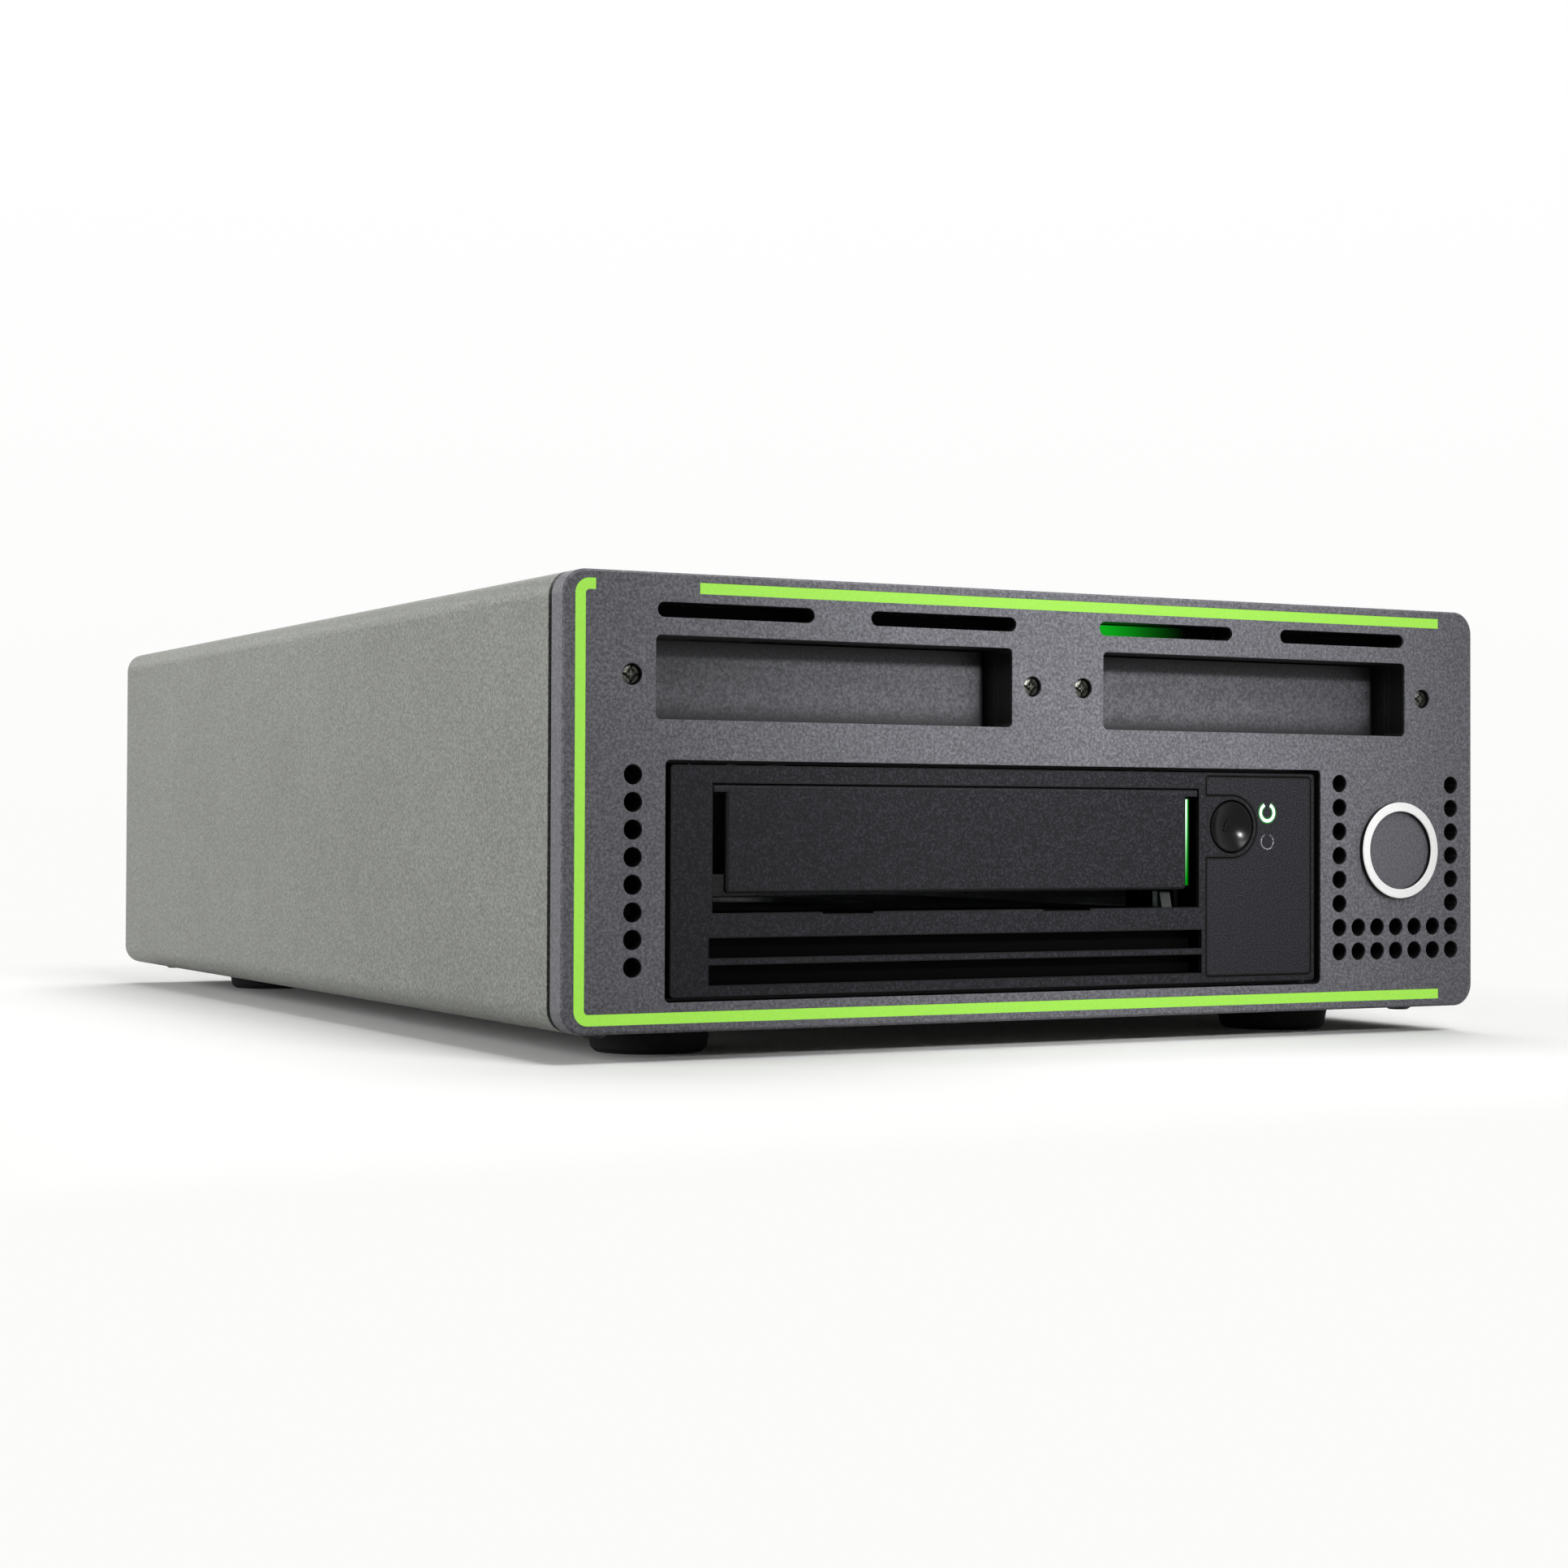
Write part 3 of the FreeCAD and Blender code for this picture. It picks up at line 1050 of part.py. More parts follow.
def plate_screws():
    """Screws from behind that hold the plate to the frame, the lower ones through the chassis."""
    screws = []
    for i, (x, z) in enumerate(PLATE_SCREWS):
        behind = "(groove_gap + sheet_gauge)" if z == "plate_screw_low" else "groove_gap"
        at = (x, f"{FRAME_Y} + {behind}", f"{BASE} + {z}")
        grip = f"{behind} + plate_screw_bite - slip_fit"
        screw = pan_screw(f"plate_screw_{i}", at, "screw_head", "screw_cap", "screw_shank", grip)
        screw.Placement.Rotation = Rotation(Vector(1, 0, 0), 90)
        screws.append(screw)
    return part("plate_screws", group("plate_screw_set", *screws))


# ---------------------------------------------------------------------------------------------
# Media bays
# ---------------------------------------------------------------------------------------------
CAGE_LOW = f"({BASE} + window_low - cage_gauge)"
CAGE_WIDTH = "(window_width + cage_gauge * 2)"


def upper_deck():
    """Bridge of sheet that carries the media cages over the drive."""
    depth = "(cage_depth + deck_margin)"
    body = new_body("upper_deck", ("0", f"{SLEEVE_Y} + slip_fit", FLOOR))
    sketch = new_sketch(body, "bridge_section", "XZ")
    side = f"({INSIDE_X} - chassis_bend - slip_fit)"
    inner = f"({side} - deck_gauge)"
    top = f"({CAGE_LOW} - {FLOOR})"
    bend, inner_bend = "chassis_bend", "chassis_bend - deck_gauge"
    outline(
        sketch,
        (f"-{side}", "0"),
        (f"-{inner}", "0"),
        (f"-{inner}", f"{top} - deck_gauge", inner_bend),
        (inner, f"{top} - deck_gauge", inner_bend),
        (inner, "0"),
        (side, "0"),
        (side, top, bend),
        (f"-{side}", top, bend),
    )
    pad(body, "bridge", sketch, depth, reverse=True)
    sketch = new_sketch(body, "side_windows", "YZ")
    y = ("deck_leg", f"{depth} - deck_leg")
    rectangle(sketch, y, ("deck_leg / 2", f"{top} - deck_leg"), "deck_gauge * 2")
    side_cut = pocket(body, "side_window_cuts", sketch)
    side_cut.Midplane = True
    return part("upper_deck", body)


def media_cage(middle):
    """Folded cage for a media module, open to the front, with a screw ear at each side."""
    body = new_body("media_cage", (middle, SLEEVE_Y, CAGE_LOW))
    sketch = new_sketch(body, "ear_plate", "XZ")
    half = f"({CAGE_WIDTH} / 2)"
    tall = "(window_height + cage_gauge * 2)"
    rectangle(sketch, (f"-{half} - ear_width", f"{half} + ear_width"), ("ear_low", "ear_low + ear_height"))
    pad(body, "ears", sketch, "cage_gauge", reverse=True)
    sketch = new_sketch(body, "cage_section", "XZ")
    rectangle(sketch, (f"-{half}", half), ("0", tall), "cage_bend")
    pad(body, "cage_block", sketch, "cage_depth", reverse=True)
    sketch = new_sketch(body, "cage_inside", "XZ")
    across = (f"cage_gauge - {half}", f"{half} - cage_gauge")
    rectangle(sketch, across, ("cage_gauge", f"{tall} - cage_gauge"), "cage_bend - cage_gauge")
    pocket(body, "cage_cavity", sketch)
    sketch = new_sketch(body, "ear_holes", "XZ")
    for sign in ("-", ""):
        level = f"bay_screw_level + {BASE} - {CAGE_LOW}"
        circle(sketch, f"{sign}{SCREW_REACH}", level, "bay_screw_shank + screw_play / 2")
    pocket(body, "ear_hole_cuts", sketch, "cage_gauge * 2")
    return body


def media_cages():
    """The two cages behind the windows."""
    pair = [media_cage(f"{side}window_offset") for side in ("-", "")]
    return part("media_cages", group("media_cage_pair", *pair))


def media_blank(name, middle):
    """Blanking plate deep in a window, with a return flange along each side."""
    body = new_body(name, (middle, f"{FRONT} + blank_recess", f"{BASE} + window_low"))
    half = "(window_width / 2 - blank_gap)"
    z = ("blank_gap", "window_height - blank_gap")
    sketch = new_sketch(body, "blank_section", "XY")
    inner_bend = "blank_gauge / 2"
    outline(
        sketch,
        (f"-{half}", "0", "blank_gauge"),
        (half, "0", "blank_gauge"),
        (half, "blank_return"),
        (f"{half} - blank_gauge", "blank_return"),
        (f"{half} - blank_gauge", "blank_gauge", inner_bend),
        (f"blank_gauge - {half}", "blank_gauge", inner_bend),
        (f"blank_gauge - {half}", "blank_return"),
        (f"-{half}", "blank_return"),
    )
    feature = pad(body, "blank", sketch, f"{z[1]} - {z[0]}")
    bind(sketch, "AttachmentOffset.Base.z", z[0])
    return part(name, body)


def bay_screws():
    """Small screws sunk in the plate's face: they hold the plate and the frame to the cages' ears."""
    seat = f"{FRONT} + bay_screw_sunk + screw_cap"
    screws = []
    for i, x in enumerate(BAY_SCREWS_X):
        at = (x, seat, f"{BASE} + bay_screw_level")
        grip = f"{FRAME_Y} - ({seat}) + groove_gap + cage_gauge + bay_screw_tip"
        body = pan_screw(f"bay_screw_{i}", at, "bay_screw_head", "screw_cap", "bay_screw_shank", grip, "y")
        screws.append(body)
    return part("bay_screws", group("bay_screw_set", *screws))


def slot_light_guides():
    """Clear bars behind the four slots, each fed by the indicator board."""
    guides = []
    for i, x in enumerate(SLOTS_X):
        body = new_body(f"light_guide_{i}", (x, f"{SLEEVE_Y} + guide_gap", f"{BASE} + slot_level"))
        sketch = new_sketch(body, "guide_section", "XZ")
        stadium(sketch, "0", "0", "slot_width - slip_fit", "slot_height - slip_fit")
        pad(body, "guide", sketch, "guide_depth", reverse=True)
        guides.append(body)
    return part("slot_light_guides", group("guide_set", *guides))


def indicator_board():
    """Upright board that closes off the light guides and carries their lamps."""
    back = f"({SLEEVE_Y} + guide_gap + guide_depth)"
    x = ("-(slot_outer + slot_width / 2)", "slot_outer + slot_width / 2")
    cage_top = f"({CAGE_LOW} + window_height + cage_gauge * 2)"
    roof = f"({TOP} - sleeve_wall - slip_fit)"
    board = block("indicator_panel", x, (back, f"{back} + board_thick"), (cage_top, roof))
    return part("indicator_board", board)


# ---------------------------------------------------------------------------------------------
# Front of the tape drive
# ---------------------------------------------------------------------------------------------
BEZEL_UP = ("(opening_low + (opening_height - bezel_height) / 2)",
            "(opening_low + (opening_height + bezel_height) / 2)")
BAY_SIDES = between("bay_offset", "bay_width")
INSERT_X = ("insert_left", "insert_left + insert_width")
INSERT_Z = ("insert_low", "insert_low + insert_height")
LAMPS = ("lamp_level", "(lamp_level - lamp_pitch)")


def tongue(sketch, left, x, y, radius):
    """A D that is open to nothing: a straight side at the left and a round end at (x, y)."""
    corner, middle, rise = Vector(value(left), value(y), 0), Vector(value(x), value(y), 0), value(radius)
    up = Vector(0, rise, 0)
    below = sketch.addGeometry(Part.LineSegment(corner - up, middle - up), False)
    circle_edge = Part.Circle(middle, Vector(0, 0, 1), rise)
    end = sketch.addGeometry(Part.ArcOfCircle(circle_edge, -math.pi / 2, math.pi / 2), False)
    above = sketch.addGeometry(Part.LineSegment(middle + up, corner + up), False)
    side = sketch.addGeometry(Part.LineSegment(corner + up, corner - up), False)
    for constraint in (
        ("Tangent", below, 2, end, 1),
        ("Tangent", end, 2, above, 1),
        ("Coincident", above, 2, side, 1),
        ("Coincident", side, 2, below, 1),
        ("Horizontal", below),
        ("Horizontal", above),
        ("Vertical", side),
    ):
        sketch.addConstraint(Sketcher.Constraint(*constraint))
    index = sketch.addConstraint(Sketcher.Constraint("Radius", end, rise))
    bind(sketch, f"Constraints[{index}]", radius)
    pin_point(sketch, end, 3, x, y)
    index = sketch.addConstraint(Sketcher.Constraint("DistanceX", side, 1, corner.x))
    bind(sketch, f"Constraints[{index}]", left)


def drive_bezel():
    """Moulded bezel with the cartridge bay, two air grooves and the seat of the smooth insert."""
    body = new_body("drive_bezel", ("drive_offset", BEZEL_Y, BASE))
    sketch = new_sketch(body, "bezel_outline", "XZ")
    rectangle(sketch, between("0", "bezel_width"), BEZEL_UP, "bezel_round")
    pad(body, "bezel", sketch, "bezel_thick", reverse=True)

    left, right = BAY_SIDES
    floor, roof, relief = "bay_low", "bay_low + bay_height", "bay_low - bay_notch_deep"
    sketch = new_sketch(body, "cartridge_bay", "XZ")
    corners = [(left, floor)]
    for middle in ("notch_left", "notch_right"):
        start, end = between(middle, "bay_notch")
        corners += [(start, floor), (start, relief), (end, relief), (end, floor)]
    corners += [(right, floor), (right, roof), (left, roof)]
    outline(sketch, *corners)
    pocket(body, "cartridge_bay_cut", sketch)

    sketch = new_sketch(body, "air_groove", "XZ")
    x = between("bay_offset", "louvre_width")
    rectangle(sketch, x, ("louvre_low", "louvre_low + louvre_height"))
    groove = pocket(body, "air_groove_cut", sketch, "louvre_deep")
    repeat(body, "air_grooves", groove, sketch, "V_Axis", "louvre_pitch", 2)

    sketch = new_sketch(body, "insert_seat", "XZ")
    rectangle(sketch, INSERT_X, INSERT_Z, "bezel_round")
    pocket(body, "insert_seat_cut", sketch, "insert_thick")
    sketch = new_sketch(body, "button_tongue", "XZ")
    tongue(sketch, "insert_left - insert_gap", "button_across", "button_level", "tongue_radius")
    pad(body, "button_tongue_pad", sketch, "insert_thick + slip_fit", reverse=True)

    sketch = new_sketch(body, "button_bore", "XZ")
    circle(sketch, "button_across", "button_level", "button_radius + button_gap")
    pocket(body, "button_bore_cut", sketch)
    sketch = new_sketch(body, "lamp_bores", "XZ")
    for level in LAMPS:
        circle(sketch, "lamp_across", level, "lamp_radius + screw_play")
    pocket(body, "lamp_bore_cuts", sketch)
    sketch = new_sketch(body, "flange_well", "XZ", "-bezel_thick")
    circle(sketch, "button_across", "button_level", "button_flange + button_gap")
    pocket(body, "flange_well_cut", sketch, "flange_well_depth", reverse=True)

    sketch = new_sketch(body, "board_posts", "XZ", "-bezel_thick")
    for x, z in KEY_POSTS:
        circle(sketch, x, z, "axle_radius")
    pad(body, "board_post_pads", sketch, "key_board_gap", reverse=True)

    sketch = new_sketch(body, "hinge_bore", "YZ", f"{left} - pin_bite")
    circle(sketch, "door_sunk + door_thick / 2", f"{roof} - door_gap - door_thick / 2",
           "pin_radius + running_gap")
    pocket(body, "hinge_bore_cut", sketch, "bay_width + pin_bite * 2", reverse=True)
    sketch = new_sketch(body, "strip_seat", "YZ", right)
    y = ("strip_deep - slip_fit / 2", "strip_deep + strip_wide + slip_fit / 2")
    rectangle(sketch, y, ("strip_low - slip_fit / 2", "strip_low + strip_height + slip_fit / 2"))
    pocket(body, "strip_seat_cut", sketch, "strip_thick", reverse=True)
    return part("drive_bezel", body)


KEY_LOW = f"({DRIVE_LOW} + casting_floor + casting_wall + slip_fit)"
KEY_RIGHT = "(body_width / 2 - casting_wall * 2)"
KEY_POSTS = (
    ("insert_left + key_edge", f"{KEY_LOW} - {BASE} + key_edge"),
    (f"{KEY_RIGHT} - key_edge", f"{KEY_LOW} - {BASE} + key_edge"),
)


def bezel_insert():
    """Smooth dark insert beside the bay, notched round the eject button."""
    body = new_body("bezel_insert", ("drive_offset", BEZEL_Y, BASE))
    sketch = new_sketch(body, "insert_outline", "XZ")
    x = ("insert_left + insert_gap", "insert_left + insert_width - insert_gap")
    z = ("insert_low + insert_gap", "insert_low + insert_height - insert_gap")
    rectangle(sketch, x, z, "bezel_round - insert_gap")
    pad(body, "insert", sketch, "insert_thick", reverse=True)
    sketch = new_sketch(body, "button_notch", "XZ")
    tongue(sketch, "insert_left - insert_gap", "button_across", "button_level", "tongue_radius + insert_gap")
    pocket(body, "button_notch_cut", sketch)
    return part("bezel_insert", body)


def bay_door():
    """Flap under a full-width header whose two pins turn in the bezel."""
    body = new_body("bay_door", ("drive_offset + bay_offset", HINGE_Y, HINGE_Z))
    half, top = "(bay_width / 2 - door_end_gap)", "(door_thick / 2)"
    step = f"({top} - door_header)"
    flap = "(door_width / 2)"
    foot = f"door_low + {BASE} - {HINGE_Z}"
    sketch = new_sketch(body, "door_outline", "XZ", top)
    outline(
        sketch,
        (f"-{half}", top),
        (f"-{half}", step),
        (f"-{flap}", step),
        (f"-{flap}", foot, "bezel_round"),
        (flap, foot, "bezel_round"),
        (flap, step),
        (half, step),
        (half, top),
    )
    door = pad(body, "door", sketch, "door_thick", reverse=True)
    reach = value(top)
    on_top = lies_on("Z", reach)
    door = soften(body, "header_round", door, "door_round",
                  lambda edge: on_top(edge) and edge.Length > 4 * reach)
    low = value(foot)
    front_low = lies_on("Z", low)
    soften(body, "flap_bevel", door, "door_bevel", front_low, "Chamfer")
    sketch = new_sketch(body, "pin_section", "YZ")
    circle(sketch, "0", "0", "pin_radius")
    pins = pad(body, "pins", sketch, "bay_width + (pin_bite - slip_fit) * 2")
    pins.Midplane = True
    return part("bay_door", body)


def eject_button():
    """Round button with a hollow face, a flange behind the bezel and a stem to its switch."""
    body = new_body("eject_button", ("drive_offset + button_across", BEZEL_Y, f"{BASE} + button_level"), "y")
    sketch = new_sketch(body, "button_section", "XZ")
    seat = "(bezel_thick - flange_well_depth)"
    outline(
        sketch,
        ("0", "button_dish"),
        ("button_hollow", "button_dish", "button_hollow"),
        ("button_radius - button_dish", "0"),
        ("button_radius", "0", "button_dish / 2"),
        ("button_radius", seat),
        ("button_flange", seat),
        ("button_flange", f"{seat} + flange_thick"),
        ("button_stem", f"{seat} + flange_thick"),
        ("button_stem", f"{seat} + flange_thick + stem_length"),
        ("0", f"{seat} + flange_thick + stem_length"),
    )
    revolve(body, "button", sketch)
    return part("eject_button", body)


def coil(name, at, radius, wire, pitch, turns, along):
    """A compression spring of square wire with its first turn's middle at a point."""
    spring = doc.addObject("Part::Feature", name)
    helix = Part.makeHelix(pitch, pitch * turns, radius)
    turns_round = ((1, 1), (1, -1), (-1, -1), (-1, 1), (1, 1))
    section = Part.makePolygon([Vector(radius + a * wire, 0, b * wire) for a, b in turns_round])
    spring.Shape = Part.Wire(helix.Edges).makePipeShell([section], True, True)
    spring.Placement = Placement(Vector(*[value(x) for x in at]), ALONG[along])
    return spring


def button_spring():
    """Spring between the button's flange and the key board."""
    start = "(bezel_thick - flange_well_depth + flange_thick + spring_wire)"
    room = f"(bezel_thick + key_board_gap - spring_wire - {start})"
    at = ("drive_offset + button_across", f"{BEZEL_Y} + {start}", f"{BASE} + button_level")
    wire = value("spring_wire")
    spring = coil("button_coil", at, value("button_stem + spring_gap"), wire,
                  value(room) / SPRING_TURNS, SPRING_TURNS, "y")
    return part("button_spring", spring)


def key_board():
    """Small upright board behind the bezel with the button's switch."""
    front = f"({BEZEL_Y} + bezel_thick + key_board_gap)"
    x = ("drive_offset + insert_left", f"drive_offset + {KEY_RIGHT}")
    z = (KEY_LOW, f"{DRIVE_TOP} - cover_gauge - slip_fit")
    board = block("key_board_panel", x, (front, f"{front} + board_thick"), z)
    rest = f"({BEZEL_Y} + bezel_thick - flange_well_depth + flange_thick + stem_length + button_travel)"
    middle = ("drive_offset + button_across", f"{BASE} + button_level")
    switch = rod("key_switch", (middle[0], f"{rest} + slip_fit", middle[1]), "button_stem",
                 f"{front} - {rest} - slip_fit", "y")
    return part("key_board", join("key_board_solid", board, switch))


def light_pipes():
    """Two pipes from the key board to the back of the insert, and a strip in the bay's right wall."""
    pipes = [
        rod(f"lamp_{i}", ("drive_offset + lamp_across", f"{BEZEL_Y} + insert_thick", f"{BASE} + {level}"),
            "lamp_radius", "bezel_thick + key_board_gap - insert_thick", "y")
        for i, level in enumerate(LAMPS)
    ]
    right = f"(drive_offset + {BAY_SIDES[1]})"
    y = f"({BEZEL_Y} + strip_deep)"
    strip = block("strip", (right, f"{right} + strip_thick"), (y, f"{y} + strip_wide"),
                  (f"{BASE} + strip_low", f"{BASE} + strip_low + strip_height"))
    return part("light_pipes", group("light_pipe_set", *pipes, strip))


def sensor_prism():
    """Clear prism with a sloping back that stands on the bay's floor."""
    body = new_body("sensor_prism", ("drive_offset + prism_across", BEZEL_Y, BAY_LOW))
    sketch = new_sketch(body, "prism_section", "YZ", "-prism_wide / 2")
    outline(
        sketch,
        ("prism_deep - prism_height", "0"),
        ("prism_deep", "0"),
        ("prism_deep", "prism_height"),
        ("prism_deep - prism_wide", "prism_height"),
    )
    pad(body, "prism", sketch, "prism_wide")
    return part("sensor_prism", body)


# ---------------------------------------------------------------------------------------------
# Tape drive behind its bezel: x from the drive's middle, y from the bezel's back, z from DRIVE_LOW
# ---------------------------------------------------------------------------------------------
DRIVE_AT = ("drive_offset", DRIVE_Y, DRIVE_LOW)
CAST_TOP = "(casting_floor + casting_wall)"
INNER_SIDE = "(body_width / 2 - casting_wall)"
TRAY_FLOOR = f"(bay_low + {BASE} - {DRIVE_LOW} - tray_drop)"
TRAY_UNDER = f"({TRAY_FLOOR} - tray_gauge)"
TRAY_HALF = "(cartridge_width / 2 + tray_play + tray_gauge)"
TRAY_WALL = "(cartridge_height + tray_play)"
TAPE_LOW = f"(tape_level + {BASE} - {DRIVE_LOW})"
GEAR_RADIUS = "(gear_teeth * tooth_module / 2)"
PINION_RADIUS = "(pinion_teeth * tooth_module / 2)"
PINION_Y = f"(gear_reach + {GEAR_RADIUS} + {PINION_RADIUS} + tooth_backlash)"
GEAR_LOW = f"({CAST_TOP} + gear_lift)"
CLUTCH_Y = "(tray_start + tray_travel + hub_reach)"
REEL_Y = "(body_depth - reel_back)"
RACK_X = f"(gear_across + {GEAR_RADIUS} + tooth_backlash)"
ROLLERS = (
    ("roller_outer_across", "(head_along - roller_outer)"),
    ("roller_inner_across", "(head_along - roller_inner)"),
    ("roller_inner_across", "(head_along + roller_inner)"),
    ("roller_outer_across", "(head_along + roller_outer)"),
)
ROLLER_LOW = f"({TAPE_LOW} - roller_rim)"
SCREW_Y = "(head_along - head_bearing)"
POST_Y = "(head_along + head_bearing)"
GUIDE_RAILS = (f"(bay_offset - {TRAY_HALF} + guide_width)", f"(bay_offset + {TRAY_HALF} - guide_width)")
SIDE_SCREWS = ("side_screw_first", "(side_screw_first + side_screw_pitch)")


def drive_base_casting():
    """Cast base: two side walls, a floor with posts and rails above it and a well for the board below."""
    body = new_body("drive_base_casting", DRIVE_AT)
    half, inner = "(body_width / 2)", INNER_SIDE
    top = "(body_height - cover_gauge)"
    sketch = new_sketch(body, "casting_section", "XZ")
    root = "casting_wall"
    outline(
        sketch,
        (f"-{half}", "0"),
        (f"-{inner}", "0"),
        (f"-{inner}", "casting_floor", root),
        (inner, "casting_floor", root),
        (inner, "0"),
        (half, "0"),
        (half, top),
        (inner, top),
        (inner, CAST_TOP, root),
        (f"-{inner}", CAST_TOP, root),
        (f"-{inner}", top),
        (f"-{half}", top),
    )
    pad(body, "casting", sketch, "body_depth", reverse=True)

    sketch = new_sketch(body, "rear_wall", "XZ", "casting_wall - body_depth")
    rectangle(sketch, (f"-{inner}", inner), (f"{CAST_TOP} - casting_wall / 2", top))
    pad(body, "rear_wall_plate", sketch, "casting_wall", reverse=True)
    sketch = new_sketch(body, "rear_connectors", "XZ", "-body_depth")
    rectangle(sketch, ("rear_plug_left", "rear_plug_left + rear_plug_width"),
              (f"{top} - rear_plug_height", top))
    pocket(body, "rear_connector_cut", sketch, "casting_wall", reverse=True)

    sketch = new_sketch(body, "shoulders", "XY", CAST_TOP)
    circle(sketch, "gear_across", "gear_reach", "axle_radius * 2")
    pad(body, "gear_shoulder", sketch, f"{GEAR_LOW} - {CAST_TOP} - end_play")
    sketch = new_sketch(body, "roller_shoulders", "XY", CAST_TOP)
    for x, y in ROLLERS:
        circle(sketch, x, y, "axle_radius * 2")
    pad(body, "roller_shoulder_posts", sketch, f"{ROLLER_LOW} - {CAST_TOP} - end_play")
    sketch = new_sketch(body, "axles", "XY", CAST_TOP)
    for x, y in ROLLERS:
        circle(sketch, x, y, "axle_radius")
    pad(body, "roller_axles", sketch, f"{ROLLER_LOW} + tape_width + roller_rim * 2 - {CAST_TOP} + end_play")
    sketch = new_sketch(body, "gear_axle", "XY", CAST_TOP)
    circle(sketch, "gear_across", "gear_reach", "axle_radius")
    pad(body, "gear_axle_post", sketch, f"{GEAR_LOW} + gear_thick - {CAST_TOP} + end_play")
    sketch = new_sketch(body, "head_post", "XY", CAST_TOP)
    circle(sketch, "head_across", POST_Y, "axle_radius")
    pad(body, "head_post_rod", sketch, "head_post_height")

    sketch = new_sketch(body, "tray_rails", "XY", CAST_TOP)
    for x in GUIDE_RAILS:
        run = ("end_play", "tray_start + cartridge_depth + tray_travel")
        rectangle(sketch, between(x, "guide_width"), run)
    pad(body, "tray_rail_bars", sketch, f"{TRAY_UNDER} - {CAST_TOP} - end_play")

    sketch = new_sketch(body, "spindle_bores", "XY", CAST_TOP)
    circle(sketch, "bay_offset", CLUTCH_Y, "spindle_radius + running_gap")
    circle(sketch, "reel_across", REEL_Y, "spindle_radius + running_gap")
    circle(sketch, "gear_across", PINION_Y, "pinion_shaft + running_gap")
    pocket(body, "spindle_bore_cuts", sketch, "casting_wall")
    sketch = new_sketch(body, "side_screw_holes", "YZ")
    for y in SIDE_SCREWS:
        circle(sketch, y, "side_screw_level", "screw_shank + screw_play / 2")
    holes = pocket(body, "side_screw_hole_cuts", sketch)
    holes.Midplane = True
    return part("drive_base_casting", body)


def drive_covers():
    """Sheet covers over and under the casting."""
    x = between("drive_offset", "body_width")
    y = (DRIVE_Y, DRIVE_END)
    top = block("top_sheet", x, y, (f"{DRIVE_TOP} - cover_gauge", DRIVE_TOP))
    inner = (f"drive_offset - {INNER_SIDE} + slip_fit", f"drive_offset + {INNER_SIDE} - slip_fit")
    low = block("bottom_sheet", inner, y, (DRIVE_LOW, f"{DRIVE_LOW} + cover_gauge"))
    part("drive_top_cover", top)
    part("drive_bottom_cover", low)


def drive_circuit_board():
    """Main board of the drive, under the casting's floor, with its largest chips."""
    inner = (f"drive_offset - {INNER_SIDE} + slip_fit * 2", f"drive_offset + {INNER_SIDE} - slip_fit * 2")
    y = (f"{DRIVE_Y} + main_board_start", f"{DRIVE_END} - casting_wall")
    low = f"({DRIVE_LOW} + cover_gauge + main_board_gap)"
    board = block("main_board_panel", inner, y, (low, f"{low} + board_thick"))
    first = "(main_board_start + chip_lead)"
    chips = [
        block(f"main_board_chip_{i}", between(f"drive_offset + {a}", "chip_size"),
              between(f"{DRIVE_Y} + {b}", "chip_size"), (f"{low} - chip_thick", low))
        for i, (a, b) in enumerate((("chip_pitch", first), ("-chip_pitch", first), ("chip_pitch", REEL_Y)))
    ]
    corners = [(a, b) for a in (f"{inner[0]} + guide_width", f"{inner[1]} - guide_width")
               for b in (f"{y[0]} + guide_width", f"{y[1]} - guide_width")]
    feet = [
        rod(f"main_board_foot_{i}", (a, b, f"{DRIVE_LOW} + cover_gauge"), "axle_radius", "main_board_gap")
        for i, (a, b) in enumerate(corners)
    ]
    return part("drive_circuit_board", join("main_board_solid", board, *chips, *feet))


def drive_rail(side):
    """Angle bracket beside the drive, screwed to it and standing on the chassis floor."""
    sign = "-" if side < 0 else ""
    body = new_body(f"drive_rail_{side + 1}", ("drive_offset", f"{DRIVE_Y} + rail_start", FLOOR))
    wall = "(body_width / 2)"
    sketch = new_sketch(body, "angle_section", "XZ")
    corners = [
        (f"{sign}{wall}", "0"),
        (f"{sign}({wall} + rail_foot)", "0"),
        (f"{sign}({wall} + rail_foot)", "sheet_gauge"),
        (f"{sign}({wall} + sheet_gauge)", "sheet_gauge", "sheet_gauge / 2"),
        (f"{sign}({wall} + sheet_gauge)", "rail_height"),
        (f"{sign}{wall}", "rail_height"),
    ]
    outline(sketch, *corners)
    pad(body, "angle", sketch, "rail_length", reverse=True)
    sketch = new_sketch(body, "rail_holes", "YZ")
    for y in SIDE_SCREWS:
        level = f"side_screw_level + {DRIVE_LOW} - {FLOOR}"
        circle(sketch, f"{y} - rail_start", level, "screw_shank + screw_play")
    holes = pocket(body, "rail_hole_cuts", sketch)
    holes.Midplane = True
    return body


def drive_rails():
    return part("drive_rails", group("drive_rail_pair", drive_rail(-1), drive_rail(1)))


def drive_screws():
    screws = []
    for i, side in enumerate((-1, 1)):
        sign = "-" if side < 0 else "+"
        for j, y in enumerate(SIDE_SCREWS):
            at = (f"drive_offset {sign} (body_width / 2 + sheet_gauge)", f"{DRIVE_Y} + {y}",
                  f"{DRIVE_LOW} + side_screw_level")
            screw = pan_screw(f"drive_screw_{i}_{j}", at, "screw_head", "screw_cap", "screw_shank",
                              "sheet_gauge + casting_wall - slip_fit")
            screw.Placement.Rotation = Rotation(Vector(0, 1, 0), -90 * side)
            screws.append(screw)
    return part("drive_screws", group("drive_screw_set", *screws))


